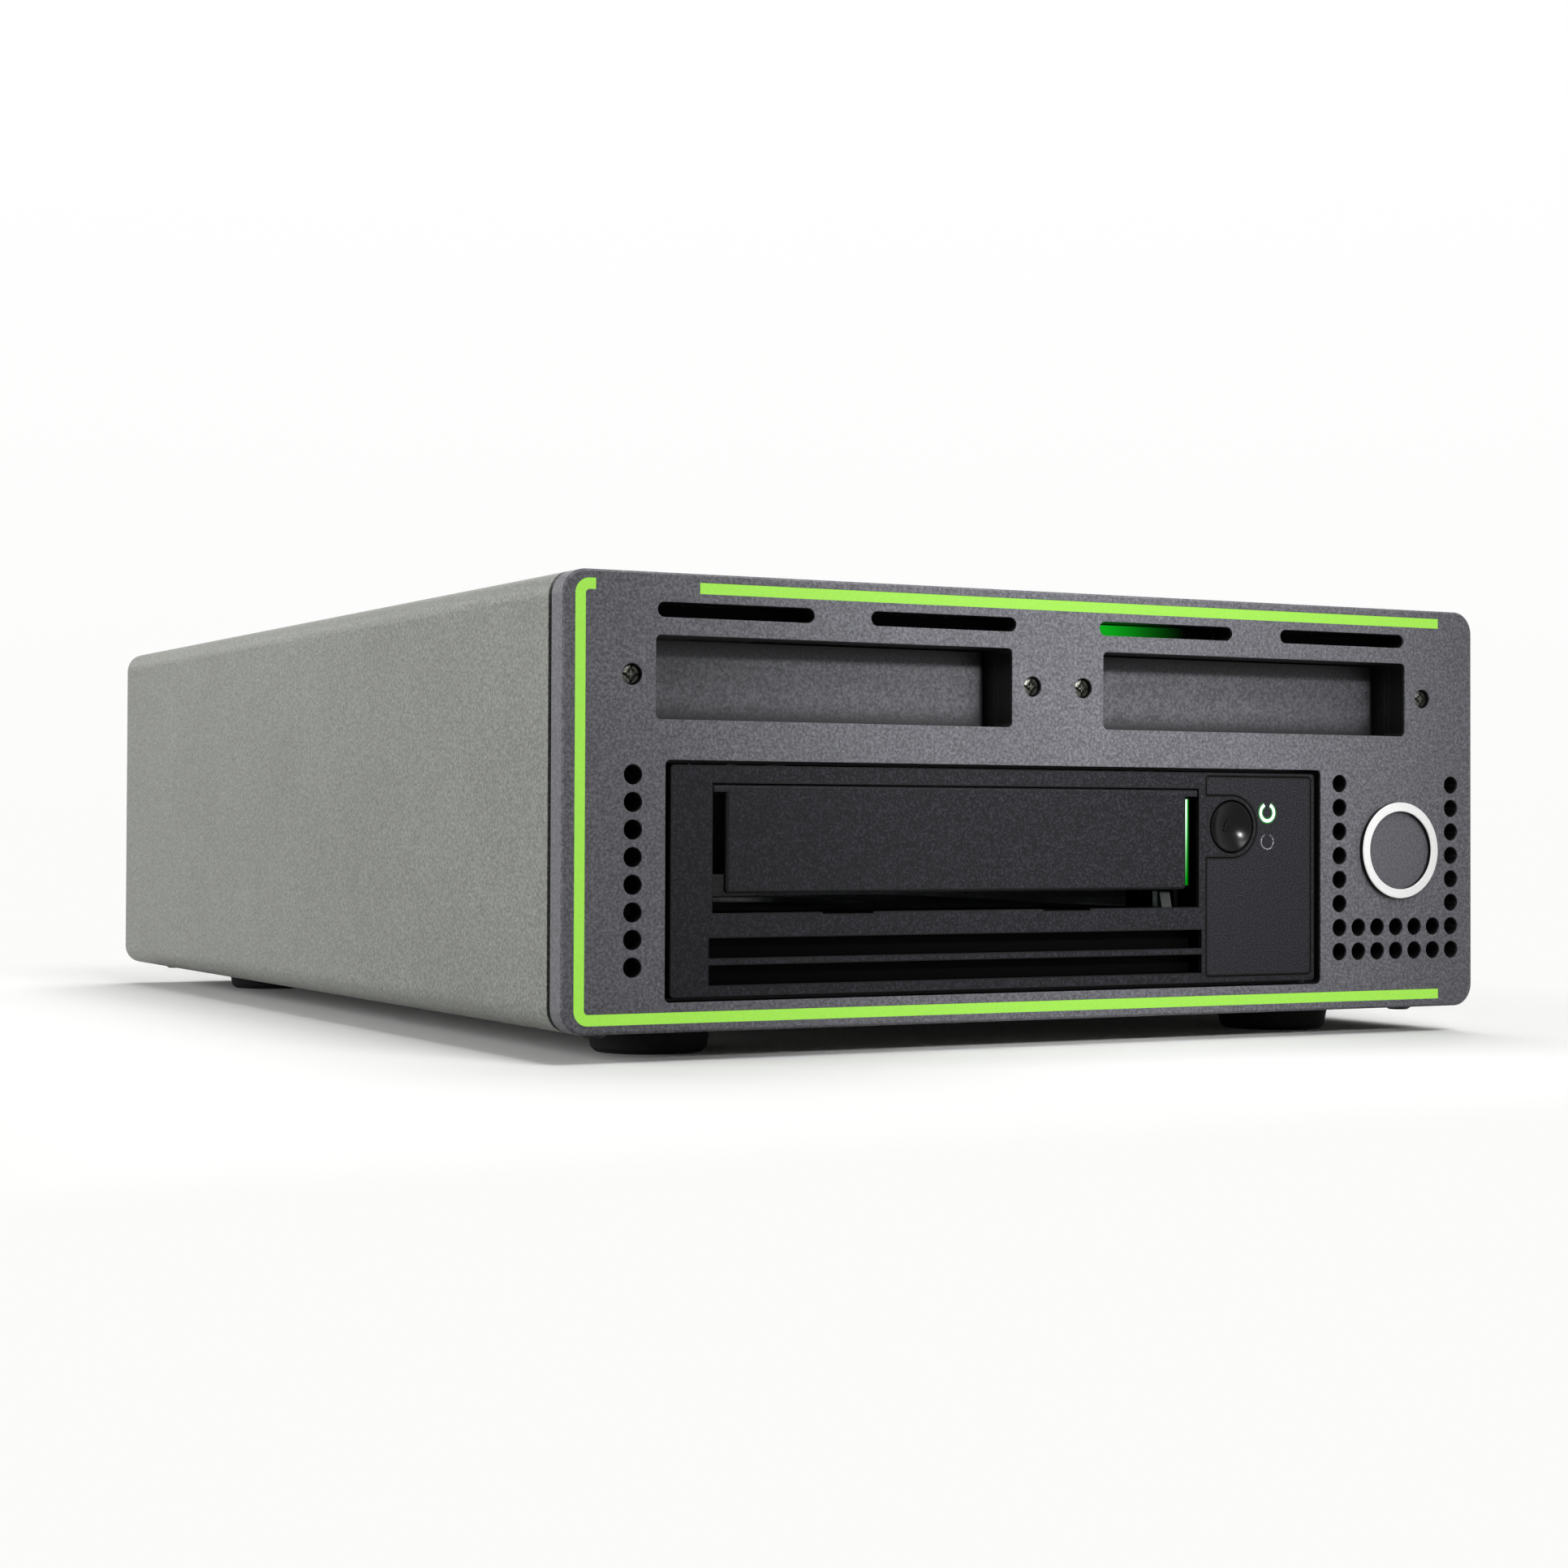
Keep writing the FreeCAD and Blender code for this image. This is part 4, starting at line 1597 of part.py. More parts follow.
def cartridge_tray():
    """Sheet tray that carries the cartridge, with a hole over the clutch and a low end stop."""
    body = new_body("cartridge_tray", ("drive_offset + bay_offset", f"{DRIVE_Y} + tray_start",
                                       f"{DRIVE_LOW} + {TRAY_UNDER}"))
    sketch = new_sketch(body, "tray_section", "XZ")
    half, gauge = TRAY_HALF, "tray_gauge"
    inner = f"({half} - {gauge})"
    wall = f"({TRAY_WALL} + {gauge})"
    outline(
        sketch,
        (f"-{half}", "0"),
        (half, "0"),
        (half, wall),
        (inner, wall),
        (inner, gauge),
        (f"-{inner}", gauge),
        (f"-{inner}", wall),
        (f"-{half}", wall),
    )
    pad(body, "tray", sketch, "cartridge_depth", reverse=True)
    sketch = new_sketch(body, "end_stop", "XZ", f"{gauge} - cartridge_depth")
    rectangle(sketch, (f"-{inner}", inner), (f"{gauge} / 2", "stop_height"))
    pad(body, "end_stop_plate", sketch, gauge, reverse=True)
    sketch = new_sketch(body, "clutch_hole", "XY")
    outline(
        sketch,
        ("-tray_hole", "hub_reach - tray_hole", "tray_hole - slip_fit"),
        ("tray_hole", "hub_reach - tray_hole", "tray_hole - slip_fit"),
        ("tray_hole", "hub_reach + tray_hole + tray_travel", "tray_hole - slip_fit"),
        ("-tray_hole", "hub_reach + tray_hole + tray_travel", "tray_hole - slip_fit"),
    )
    pocket(body, "clutch_hole_cut", sketch, "tray_gauge", reverse=True)
    return part("cartridge_tray", body)


def tray_rack():
    """Toothed rack under the tray: a bar with one tooth repeated along it."""
    low = f"({GEAR_LOW} + end_play)"
    at = (f"drive_offset + {RACK_X}", f"{DRIVE_Y} + gear_reach", f"{DRIVE_LOW} + {low}")
    body = new_body("tray_rack", at)
    height = f"({TRAY_UNDER} - {low})"
    sketch = new_sketch(body, "rack_bar", "XY")
    start = "(tray_start + end_play - gear_reach)"
    root = f"(tooth_module * {DEDENDUM})"
    rectangle(sketch, (root, f"{root} + rack_back"), (start, f"{start} + rack_length"))
    pad(body, "rack_bar_pad", sketch, height)
    sketch = new_sketch(body, "rack_tooth", "XY")
    pitch = "(tooth_module * pi)"
    lean = "tan(20deg)"
    tip, middle = "tooth_module", f"({pitch} * {RACK_BEFORE} + {pitch} / 2)"
    half = f"({pitch} / 4 - tooth_backlash / 4)"
    outline(
        sketch,
        (f"-{tip}", f"{half} - {tip} * {lean} - {middle}"),
        (f"-{tip}", f"{tip} * {lean} - {half} - {middle}"),
        (f"{root} + rack_back / 2", f"-{half} - ({root} + rack_back / 2) * {lean} - {middle}"),
        (f"{root} + rack_back / 2", f"{half} + ({root} + rack_back / 2) * {lean} - {middle}"),
    )
    tooth = pad(body, "rack_tooth_pad", sketch, height)
    repeat(body, "rack_teeth", tooth, sketch, "V_Axis", pitch, RACK_TEETH)
    return part("tray_rack", body)


def involute_gear(name, at, teeth, phase, bore, parts=()):
    """A spur gear whose flanks are arcs through three points of the involute."""
    gear = doc.addObject("Part::Feature", name)
    module, count = value("tooth_module"), int(value(teeth))
    pitch_radius = module * count / 2
    slant = math.radians(PRESSURE_ANGLE)
    base = pitch_radius * math.cos(slant)
    tip, root = pitch_radius + module, pitch_radius - DEDENDUM * module
    half = math.pi / 2 / count - value("tooth_backlash") / 4 / pitch_radius
    roll = math.tan(slant) - slant

    def flank(radius, side, turn):
        """The point of a flank at a radius, on one side of the tooth at an angle."""
        lean = math.acos(min(1.0, base / radius))
        angle = turn + side * (half + roll - (math.tan(lean) - lean))
        return Vector(radius * math.cos(angle), radius * math.sin(angle), 0)

    def arc(*points):
        return Part.Arc(*points).toShape()

    foot = max(base, root)
    edges = []
    for i in range(count):
        turn = phase + 2 * math.pi * i / count
        following = turn + 2 * math.pi / count
        rise = [flank(radius, -1, turn) for radius in (foot, (foot + tip) / 2, tip)]
        fall = [flank(radius, 1, turn) for radius in (tip, (foot + tip) / 2, foot)]
        start = flank(foot, -1, following)
        crest = Vector(tip * math.cos(turn), tip * math.sin(turn), 0)
        valley_angle = turn + math.pi / count
        edges += [arc(*rise), arc(rise[2], crest, fall[0]), arc(*fall)]
        bottoms = [p * (root / p.Length) for p in (fall[2], start)]
        valley = Vector(root * math.cos(valley_angle), root * math.sin(valley_angle), 0)
        if (bottoms[0] - fall[2]).Length > NEAR:
            edges += [Part.makeLine(fall[2], bottoms[0]), arc(bottoms[0], valley, bottoms[1]),
                      Part.makeLine(bottoms[1], start)]
        else:
            edges.append(arc(fall[2], valley, start))
    face = Part.Face(Part.Wire(edges))
    solid = face.extrude(Vector(0, 0, value("gear_thick")))
    for other in parts:
        solid = solid.fuse(other)
    if bore:
        reach = value("gear_thick") + 2
        solid = solid.cut(Part.makeCylinder(value(bore), reach, Vector(0, 0, -1)))
    gear.Shape = solid.removeSplitter()
    gear.Placement = Placement(Vector(*[value(x) for x in at]), Rotation())
    return gear


def loader_gears():
    """The gear that drives the rack, and the motor's pinion beside it."""
    at = ("drive_offset + gear_across", f"{DRIVE_Y} + gear_reach", f"{DRIVE_LOW} + {GEAR_LOW}")
    half_tooth = math.pi / value("gear_teeth")
    hub = Part.makeCylinder(value("axle_radius * 2"), value("gear_thick"))
    part("loader_gear", involute_gear("loader_gear_wheel", at, "gear_teeth", 0.0,
                                      "axle_radius + running_gap", (hub,)))
    up = math.pi / 2
    facing = round(up / (2 * half_tooth)) * 2 * half_tooth - up
    ratio = value("gear_teeth") / value("pinion_teeth")
    phase = -up + math.pi / value("pinion_teeth") - facing * ratio
    at = (at[0], f"{DRIVE_Y} + {PINION_Y}", at[2])
    shaft_low = value(f"casting_floor - {GEAR_LOW} - motor_seat")
    shaft = Part.makeCylinder(value("pinion_shaft"), value("gear_thick") - shaft_low, Vector(0, 0, shaft_low))
    part("loader_pinion", involute_gear("loader_pinion_wheel", at, "pinion_teeth", phase, None, (shaft,)))


def loader_motor():
    at = ("drive_offset + gear_across", f"{DRIVE_Y} + {PINION_Y}",
          f"{DRIVE_LOW} + casting_floor - loader_motor_height")
    can = rod("loader_can", at, "loader_motor_radius", "loader_motor_height")
    bore_at = (at[0], at[1], f"{DRIVE_LOW} + casting_floor - motor_seat - end_play")
    bore = rod("loader_can_bore", bore_at, "pinion_shaft + running_gap", "motor_seat + end_play")
    return part("loader_motor", cut("loader_motor_can", can, bore))


def turned(name, at, *corners):
    """A body turned from a half section in x and z."""
    body = new_body(name, at)
    sketch = new_sketch(body, "half_section", "XZ")
    outline(sketch, *corners)
    revolve(body, "turned", sketch)
    return body


SPINDLE_LOW = "(casting_floor - motor_thick + end_play)"


def reel_motor(x, y):
    """Flat ring of coils on the underside of the casting's floor."""
    at = (f"drive_offset + {x}", f"{DRIVE_Y} + {y}", f"{DRIVE_LOW} + casting_floor - motor_thick")
    bore = "spindle_radius + running_gap"
    return turned("reel_motor", at, (bore, "0"), ("motor_radius", "0"), ("motor_radius", "motor_thick"),
                  (bore, "motor_thick"))


def reel_motors():
    motors = [reel_motor("bay_offset", CLUTCH_Y), reel_motor("reel_across", REEL_Y)]
    return part("reel_motors", group("reel_motor_pair", *motors))


def supply_clutch():
    """Toothless clutch plate on its spindle, with a raised ring that meets the cartridge's hub."""
    at = ("drive_offset + bay_offset", f"{DRIVE_Y} + {CLUTCH_Y}", DRIVE_LOW)
    low = f"({CAST_TOP} + gear_lift)"
    body = turned(
        "supply_clutch", at,
        ("0", SPINDLE_LOW),
        ("spindle_radius", SPINDLE_LOW),
        ("spindle_radius", low),
        ("clutch_radius", low),
        ("clutch_radius", f"{low} + clutch_thick"),
        ("clutch_radius - clutch_rim", f"{low} + clutch_thick"),
        ("clutch_radius - clutch_rim", f"{low} + clutch_thick / 2"),
        ("0", f"{low} + clutch_thick / 2"),
    )
    return part("supply_clutch", body)


def takeup_reel():
    """Fixed reel with windows in its flanges."""
    at = ("drive_offset + reel_across", f"{DRIVE_Y} + {REEL_Y}", DRIVE_LOW)
    low, high = f"({TAPE_LOW} - end_play * 2)", f"({TAPE_LOW} + tape_width + end_play * 2)"
    body = turned(
        "takeup_reel", at,
        ("0", SPINDLE_LOW),
        ("spindle_radius", SPINDLE_LOW),
        ("spindle_radius", f"{low} - reel_flange"),
        ("reel_radius", f"{low} - reel_flange"),
        ("reel_radius", low),
        ("reel_hub", low),
        ("reel_hub", high),
        ("reel_radius", high),
        ("reel_radius", f"{high} + reel_flange"),
        ("0", f"{high} + reel_flange"),
    )
    sketch = new_sketch(body, "reel_window", "XY", f"{high} + reel_flange")
    circle(sketch, "(reel_hub + reel_radius) / 2", "0", "(reel_radius - reel_hub) / 2 - reel_flange")
    hole = pocket(body, "reel_window_cut", sketch, f"{high} - {low} + reel_flange * 2")
    around(body, "reel_windows", hole, sketch, REEL_WINDOWS)
    return part("takeup_reel", body)


def guide_rollers():
    """Flanged rollers that lead the tape past the head."""
    for i, (x, y) in enumerate(ROLLERS, 1):
        bore, rim = "axle_radius + running_gap", "roller_rim"
        flange = "roller_radius + roller_flange"
        height = "tape_width + roller_rim * 2"
        name = f"guide_roller_{i}"
        roller = turned(
            name, (f"drive_offset + {x}", f"{DRIVE_Y} + {y}", f"{DRIVE_LOW} + {ROLLER_LOW}"),
            (bore, "0"),
            (flange, "0"),
            (flange, rim),
            ("roller_radius", rim),
            ("roller_radius", f"{height} - {rim}"),
            (flange, f"{height} - {rim}"),
            (flange, height),
            (bore, height),
        )
        part(name, roller)


def head_group():
    """The carriage with the tape head, its lead screw and the screw's motor."""
    x, y = "(drive_offset + head_across)", f"({DRIVE_Y} + head_along)"
    middle = f"({DRIVE_LOW} + {TAPE_LOW} + tape_width / 2)"
    frame = block("carriage_block", between(x, "head_width"), between(y, "head_length"),
                  between(middle, "head_height"))
    low = f"{middle} - head_height"
    screw_bore = rod("carriage_screw_bore", (x, f"{DRIVE_Y} + {SCREW_Y}", low),
                     "lead_screw_radius + running_gap", "head_height * 2")
    post_bore = rod("carriage_post_bore", (x, f"{DRIVE_Y} + {POST_Y}", low),
                    "axle_radius + running_gap", "head_height * 2")
    part("head_carriage", cut("carriage", frame, screw_bore, post_bore))

    face = f"({x} - head_width / 2)"
    head = new_body("head_bar", (face, y, f"{middle} - tape_width / 2 - end_play"))
    sketch = new_sketch(head, "head_section", "XY")
    reach = "(head_length / 2 - 2)"
    outline(
        sketch,
        ("0", f"-{reach}"),
        ("0", reach),
        ("-head_nose", f"{reach} / 2", "head_nose / 2"),
        ("-head_nose", f"-{reach} / 2", "head_nose / 2"),
    )
    pad(head, "head", sketch, "tape_width + end_play * 2")
    part("tape_head", head)

    motor_top = f"({DRIVE_LOW} + {CAST_TOP} + head_motor_height)"
    screw_at = (x, f"{DRIVE_Y} + {SCREW_Y}", f"{motor_top} - head_motor_height / 2")
    screw = rod("lead_screw_rod", screw_at, "lead_screw_radius", "head_screw_length")
    part("head_lead_screw", screw)
    can = rod("head_motor_can", (x, f"{DRIVE_Y} + {SCREW_Y}", f"{DRIVE_LOW} + {CAST_TOP}"),
              "head_motor_radius", "head_motor_height")
    bore_at = (screw_at[0], screw_at[1], f"{screw_at[2]} - end_play")
    bore = rod("head_motor_bore", bore_at, "lead_screw_radius + running_gap", "head_motor_height")
    part("head_motor", cut("head_motor_solid", can, bore))


def entry_guide():
    """Plastic throat between the bezel and the tray that lines the cartridge up."""
    body = new_body("entry_guide", ("drive_offset + bay_offset", DRIVE_Y, f"{DRIVE_LOW} + {TRAY_UNDER}"))
    half, gauge = TRAY_HALF, "tray_gauge"
    inner = f"({half} - {gauge})"
    sketch = new_sketch(body, "throat_section", "XZ")
    under = f"{CAST_TOP} - {TRAY_UNDER}"
    outline(
        sketch,
        (f"-{half}", under),
        (f"-{inner}", under),
        (f"-{inner}", "0"),
        (inner, "0"),
        (inner, under),
        (half, under),
        (half, TRAY_WALL),
        (inner, TRAY_WALL),
        (inner, gauge),
        (f"-{inner}", gauge),
        (f"-{inner}", TRAY_WALL),
        (f"-{half}", TRAY_WALL),
    )
    pad(body, "throat", sketch, "tray_start - end_play", reverse=True)
    return part("entry_guide", body)


# ---------------------------------------------------------------------------------------------
# Supply, fan and ports
# ---------------------------------------------------------------------------------------------
SUPPLY_Y = f"({DRIVE_END} + psu_gap)"
SUPPLY_LOW = f"({FLOOR} + standoff)"
SUPPLY_TOP = f"({SUPPLY_LOW} + board_thick)"
FAN_Z = f"({BASE} + fan_level)"
INLET_Z = f"({BASE} + inlet_level)"
BOARD_TOP = f"({BASE} + ports_level)"


def power_supply():
    """Open-frame supply: board on standoffs, transformer, two capacitors and finned heat sinks."""
    x = ("psu_left", "psu_left + psu_width")
    y = (SUPPLY_Y, f"{SUPPLY_Y} + psu_depth")
    pieces = [block("supply_board", x, y, (SUPPLY_LOW, SUPPLY_TOP))]
    for i, a in enumerate((f"{x[0]} + supply_edge", f"{x[1]} - supply_edge")):
        for j, b in enumerate((f"{y[0]} + supply_edge", f"{y[1]} - supply_edge")):
            pieces.append(rod(f"supply_standoff_{i}_{j}", (a, b, FLOOR), "standoff_radius", "standoff"))
    centre = f"({SUPPLY_Y} + psu_depth / 2)"
    middle = "(psu_left + psu_width / 2)"
    for name, width, length, height in (("core", "core_width", "core_length", "core_height"),
                                        ("coil", "coil_width", "coil_length", "coil_height")):
        pieces.append(block(f"transformer_{name}", between(middle, width), between(centre, length),
                            (SUPPLY_TOP, f"{SUPPLY_TOP} + {height}")))
    for i, sign in enumerate("-+"):
        y = f"{centre} {sign} (capacitor_radius + capacitor_gap / 2)"
        at = ("psu_left + capacitor_inset", y, SUPPLY_TOP)
        pieces.append(rod(f"capacitor_{i}", at, "capacitor_radius", "capacitor_height"))
    length = between(centre, "psu_depth - heat_sink_margin")
    for i in range(2):
        a = f"psu_left + psu_width - heat_sink_side - heat_sink_pitch * {i}"
        pieces.append(block(f"heat_sink_{i}", between(a, "heat_sink_thick"), length,
                            (SUPPLY_TOP, f"{SUPPLY_TOP} + heat_sink_height")))
        for k in range(1, SUPPLY_FINS + 1):
            level = f"({SUPPLY_TOP} + fin_pitch * {k})"
            pieces.append(block(f"heat_sink_fin_{i}_{k}", between(a, "fin_width"), length,
                                (level, f"{level} + fin_thick")))
    return part("power_supply", join("power_supply_solid", *pieces))


def mains_inlet():
    """Three-pole inlet: a deep socket in a flanged body behind the rear panel."""
    body = new_body("mains_inlet", ("inlet_across", PANEL_Y, INLET_Z))
    sketch = new_sketch(body, "inlet_body", "XZ")
    rectangle(sketch, between("0", "inlet_width"), between("0", "inlet_height"), "inlet_flange")
    pad(body, "inlet", sketch, "inlet_depth")
    sketch = new_sketch(body, "inlet_flange_outline", "XZ")
    rim = "(inlet_flange * 2)"
    outer = [between("0", f"(inlet_{way} + {rim})") for way in ("width", "height")]
    rectangle(sketch, *outer, "inlet_flange")
    pad(body, "inlet_flange_plate", sketch, "inlet_flange", reverse=True)
    sketch = new_sketch(body, "socket", "XZ", "-inlet_flange")
    half, tall = "(socket_width / 2)", "(socket_height / 2)"
    outline(
        sketch,
        (f"-{half}", f"-{tall}", "socket_round"),
        (half, f"-{tall}", "socket_round"),
        (half, f"{tall} - socket_bevel"),
        (f"{half} - socket_bevel", tall),
        (f"socket_bevel - {half}", tall),
        (f"-{half}", f"{tall} - socket_bevel"),
    )
    pocket(body, "socket_cut", sketch, "socket_depth", reverse=True)
    part("mains_inlet", body)

    foot = f"({PANEL_Y} + inlet_flange - socket_depth)"
    y = (foot, f"{foot} + socket_depth - inlet_flange")
    blades = []
    for i, (x, z) in enumerate((("-blade_pitch / 2", "-blade_rise / 2"), ("0", "blade_rise / 2"),
                                ("blade_pitch / 2", "-blade_rise / 2"))):
        blades.append(block(f"blade_{i}", between(f"inlet_across + {x}", "blade_thick"), y,
                            between(f"{INLET_Z} + {z}", "blade_width")))
    part("inlet_blades", group("blade_set", *blades))


ROCKER_Y = f"({PANEL_Y} - rocker_sunk)"


def power_switch():
    """Flanged switch body and the rocker that tilts in it."""
    body = new_body("power_switch", ("switch_across", PANEL_Y, INLET_Z))
    sketch = new_sketch(body, "switch_body", "XZ")
    rectangle(sketch, between("0", "switch_width"), between("0", "switch_height"))
    pad(body, "switch", sketch, "switch_depth")
    sketch = new_sketch(body, "switch_flange", "XZ")
    rim = "(switch_flange * 2)"
    rectangle(sketch, between("0", f"(switch_width + {rim})"), between("0", f"(switch_height + {rim})"),
              "switch_flange / 2")
    pad(body, "switch_flange_plate", sketch, "switch_flange", reverse=True)
    sketch = new_sketch(body, "rocker_well", "XZ", "-switch_flange")
    wall = "(switch_wall * 2)"
    rectangle(sketch, between("0", f"(switch_width - {wall})"), between("0", f"(switch_height - {wall})"))
    pocket(body, "rocker_well_cut", sketch, "rocker_well", reverse=True)
    sketch = new_sketch(body, "pivot_bore", "YZ")
    circle(sketch, "-rocker_sunk", "0", "rocker_pin + running_gap")
    bore = pocket(body, "pivot_bore_cut", sketch, "switch_width - switch_wall / 2")
    bore.Midplane = True
    part("power_switch", body)

    rocker = new_body("power_rocker", ("switch_across", ROCKER_Y, INLET_Z))
    rocker.Placement.Rotation = Rotation(Vector(1, 0, 0), value("rocker_throw") / 2)
    width = f"(switch_width - {wall} - slip_fit * 2)"
    sketch = new_sketch(rocker, "rocker_section", "YZ", f"-{width} / 2")
    outline(
        sketch,
        ("-rocker_thick", "-rocker_back"),
        ("rocker_thick", "-rocker_half"),
        ("rocker_dip", "0"),
        ("rocker_thick", "rocker_half"),
        ("-rocker_thick", "rocker_back"),
        ("-rocker_thick * 2", "0"),
    )
    pad(rocker, "rocker", sketch, width)
    sketch = new_sketch(rocker, "rocker_pins", "YZ")
    circle(sketch, "0", "0", "rocker_pin")
    pins = pad(rocker, "rocker_pin_pads", sketch, "switch_width - switch_wall / 2 - slip_fit")
    pins.Midplane = True
    part("power_rocker", rocker)


def fan():
    """Axial fan: a square frame with a hub on arms, and a rotor with lofted blades."""
    front = f"({PANEL_IN} - fan_thick)"
    body = new_body("fan_frame", ("fan_across", front, FAN_Z), "y")
    sketch = new_sketch(body, "frame_square", "XY")
    half = "(fan_size / 2)"
    rectangle(sketch, (f"-{half}", half), (f"-{half}", half), "fan_corner")
    circle(sketch, "0", "0", "fan_bore")
    pad(body, "frame", sketch, "fan_thick")
    sketch = new_sketch(body, "corner_holes", "XY")
    reach = "fan_hole_pitch / 2"
    for x in (f"-{reach}", reach):
        for y in (f"-{reach}", reach):
            circle(sketch, x, y, "screw_shank + screw_play")
    pocket(body, "corner_hole_cuts", sketch, "fan_thick", reverse=True)
    sketch = new_sketch(body, "hub_plate", "XY")
    span = ("-fan_bore - fan_arm / 4", "fan_bore + fan_arm / 4")
    rectangle(sketch, between("0", "fan_arm"), span)
    pad(body, "upright_arm", sketch, "fan_arm")
    sketch = new_sketch(body, "level_arm", "XY")
    rectangle(sketch, span, between("0", "fan_arm"))
    pad(body, "level_arm_bar", sketch, "fan_arm")
    sketch = new_sketch(body, "hub_disc", "XY")
    circle(sketch, "0", "0", "fan_hub")
    pad(body, "hub", sketch, "fan_arm")
    sketch = new_sketch(body, "bearing", "XY")
    circle(sketch, "0", "0", "fan_bearing")
    tube = "(fan_thick - fan_tube_gap)"
    pad(body, "bearing_tube", sketch, tube)
    sketch = new_sketch(body, "shaft_bore", "XY", tube)
    circle(sketch, "0", "0", "axle_radius + running_gap")
    pocket(body, "shaft_bore_cut", sketch, f"{tube} - fan_bore_floor")
    part("fan_frame", body)

    rotor = new_body("fan_rotor", ("fan_across", front, FAN_Z), "y")
    low, high = "(fan_arm + slip_fit * 2)", "(fan_thick - slip_fit * 3)"
    inner = "(fan_hub - cover_gauge)"
    sketch = new_sketch(rotor, "rotor_section", "XZ")
    outline(
        sketch,
        ("0", "fan_bore_floor + slip_fit"),
        ("axle_radius", "fan_bore_floor + slip_fit"),
        ("axle_radius", f"{high} - cover_gauge"),
        (inner, f"{high} - cover_gauge"),
        (inner, low),
        ("fan_hub", low),
        ("fan_hub", high, "cover_gauge"),
        ("0", high),
    )
    revolve(rotor, "hub_cup", sketch)
    middle, tall = f"(({low} + {high}) / 2)", f"({high} - {low} - fan_blade_margin)"
    profiles = []
    thick = "fan_blade"
    for i, (x, sweep) in enumerate((("fan_hub - cover_gauge / 2", "fan_sweep_root"),
                                    ("fan_bore - fan_blade_gap - cover_gauge", "fan_sweep_tip"))):
        sketch = new_sketch(rotor, f"blade_section_{i}", "YZ", x)
        outline(
            sketch,
            (f"-{sweep} / 2 - {thick}", f"{middle} - {tall} / 2"),
            (f"{thick} - {sweep} / 2", f"{middle} - {tall} / 2"),
            (f"{sweep} / 2 + {thick}", f"{middle} + {tall} / 2"),
            (f"{sweep} / 2 - {thick}", f"{middle} + {tall} / 2"),
        )
        profiles.append(sketch)
    blade = rotor.newObject("PartDesign::AdditiveLoft", "blade")
    blade.Profile = profiles[0]
    blade.Sections = [profiles[1]]
    pattern = rotor.newObject("PartDesign::PolarPattern", "blades")
    pattern.Originals = [blade]
    axis = [f for f in rotor.Origin.OriginFeatures if f.Role == "Z_Axis"][0]
    pattern.Axis = (axis, [""])
    pattern.Angle = 360
    pattern.Occurrences = FAN_BLADES
    rotor.Tip = pattern
    part("fan_rotor", rotor)


def rear_screws():
    """Screws through the rear panel: four hold the fan and two the chassis floor."""
    screws = []
    places = [(x, f"{BASE} + {z}") for x in FAN_SCREWS_X for z in FAN_SCREWS_Z]
    places += [(f"{sign}panel_screw_across", f"{BASE} + plate_screw_low") for sign in ("-", "")]
    for i, (x, z) in enumerate(places):
        at = (x, PANEL_Y, z)
        screw = pan_screw(f"rear_screw_{i}", at, "screw_head", "screw_cap", "screw_shank", "screw_grip")
        screw.Placement.Rotation = Rotation(Vector(1, 0, 0), 90)
        screws.append(screw)
    return part("rear_screws", group("rear_screw_set", *screws))


def port_bracket():
    """Shelf on the rear panel's inside with four standoffs for the interface board."""
    x = ("ports_left", "ports_left + ports_width")
    y = (f"{PANEL_IN} - ports_depth", PANEL_IN)
    shelf_top = f"({BOARD_TOP} - board_thick - standoff)"
    shelf = block("port_shelf", x, y, (f"{shelf_top} - sheet_gauge", shelf_top))
    lip = block("port_shelf_lip", x, (f"{PANEL_IN} - sheet_gauge", PANEL_IN),
                (f"{shelf_top} - shelf_lip", shelf_top))
    posts = []
    for a in (f"{x[0]} + supply_edge", f"{x[1]} - supply_edge"):
        for b in (f"{y[0]} + supply_edge", f"{y[1]} - supply_edge"):
            name = f"port_standoff_{len(posts)}"
            posts.append(rod(name, (a, b, shelf_top), "standoff_radius", "standoff"))
    return part("port_bracket", join("port_bracket_solid", shelf, lip, *posts))


def interface_board():
    """Board that carries the ports, with its main chip."""
    x = ("ports_left", "ports_left + ports_width")
    y = (f"{PANEL_IN} - ports_depth", f"{PANEL_IN} - slip_fit")
    board = block("interface_panel", x, y, (f"{BOARD_TOP} - board_thick", BOARD_TOP))
    chip = block("interface_chip", between("sink_across", "chip_size"),
                 between(f"{PANEL_IN} - sink_back", "chip_size"), (BOARD_TOP, f"{BOARD_TOP} + chip_thick"))
    return part("interface_board", join("interface_solid", board, chip))


def board_heatsink():
    """Finned sink on the interface chip, its fins cut by a repeated groove."""
    body = new_body("board_heatsink", ("sink_across", f"{PANEL_IN} - sink_back", f"{BOARD_TOP} + chip_thick"))
    sketch = new_sketch(body, "sink_outline", "XY")
    half = "(sink_size / 2)"
    rectangle(sketch, (f"-{half}", half), (f"-{half}", half))
    pad(body, "sink", sketch, "sink_height")
    sketch = new_sketch(body, "groove", "XZ", f"-{half}")
    pitch = f"(sink_size / {SINK_FINS})"
    start = f"{pitch} - {half}"
    rectangle(sketch, (start, f"{start} + sink_groove"), ("sink_base", "sink_height + slip_fit"))
    groove = pocket(body, "groove_cut", sketch, "sink_size", reverse=True)
    repeat(body, "grooves", groove, sketch, "H_Axis", pitch, SINK_FINS - 1)
    return part("board_heatsink", body)


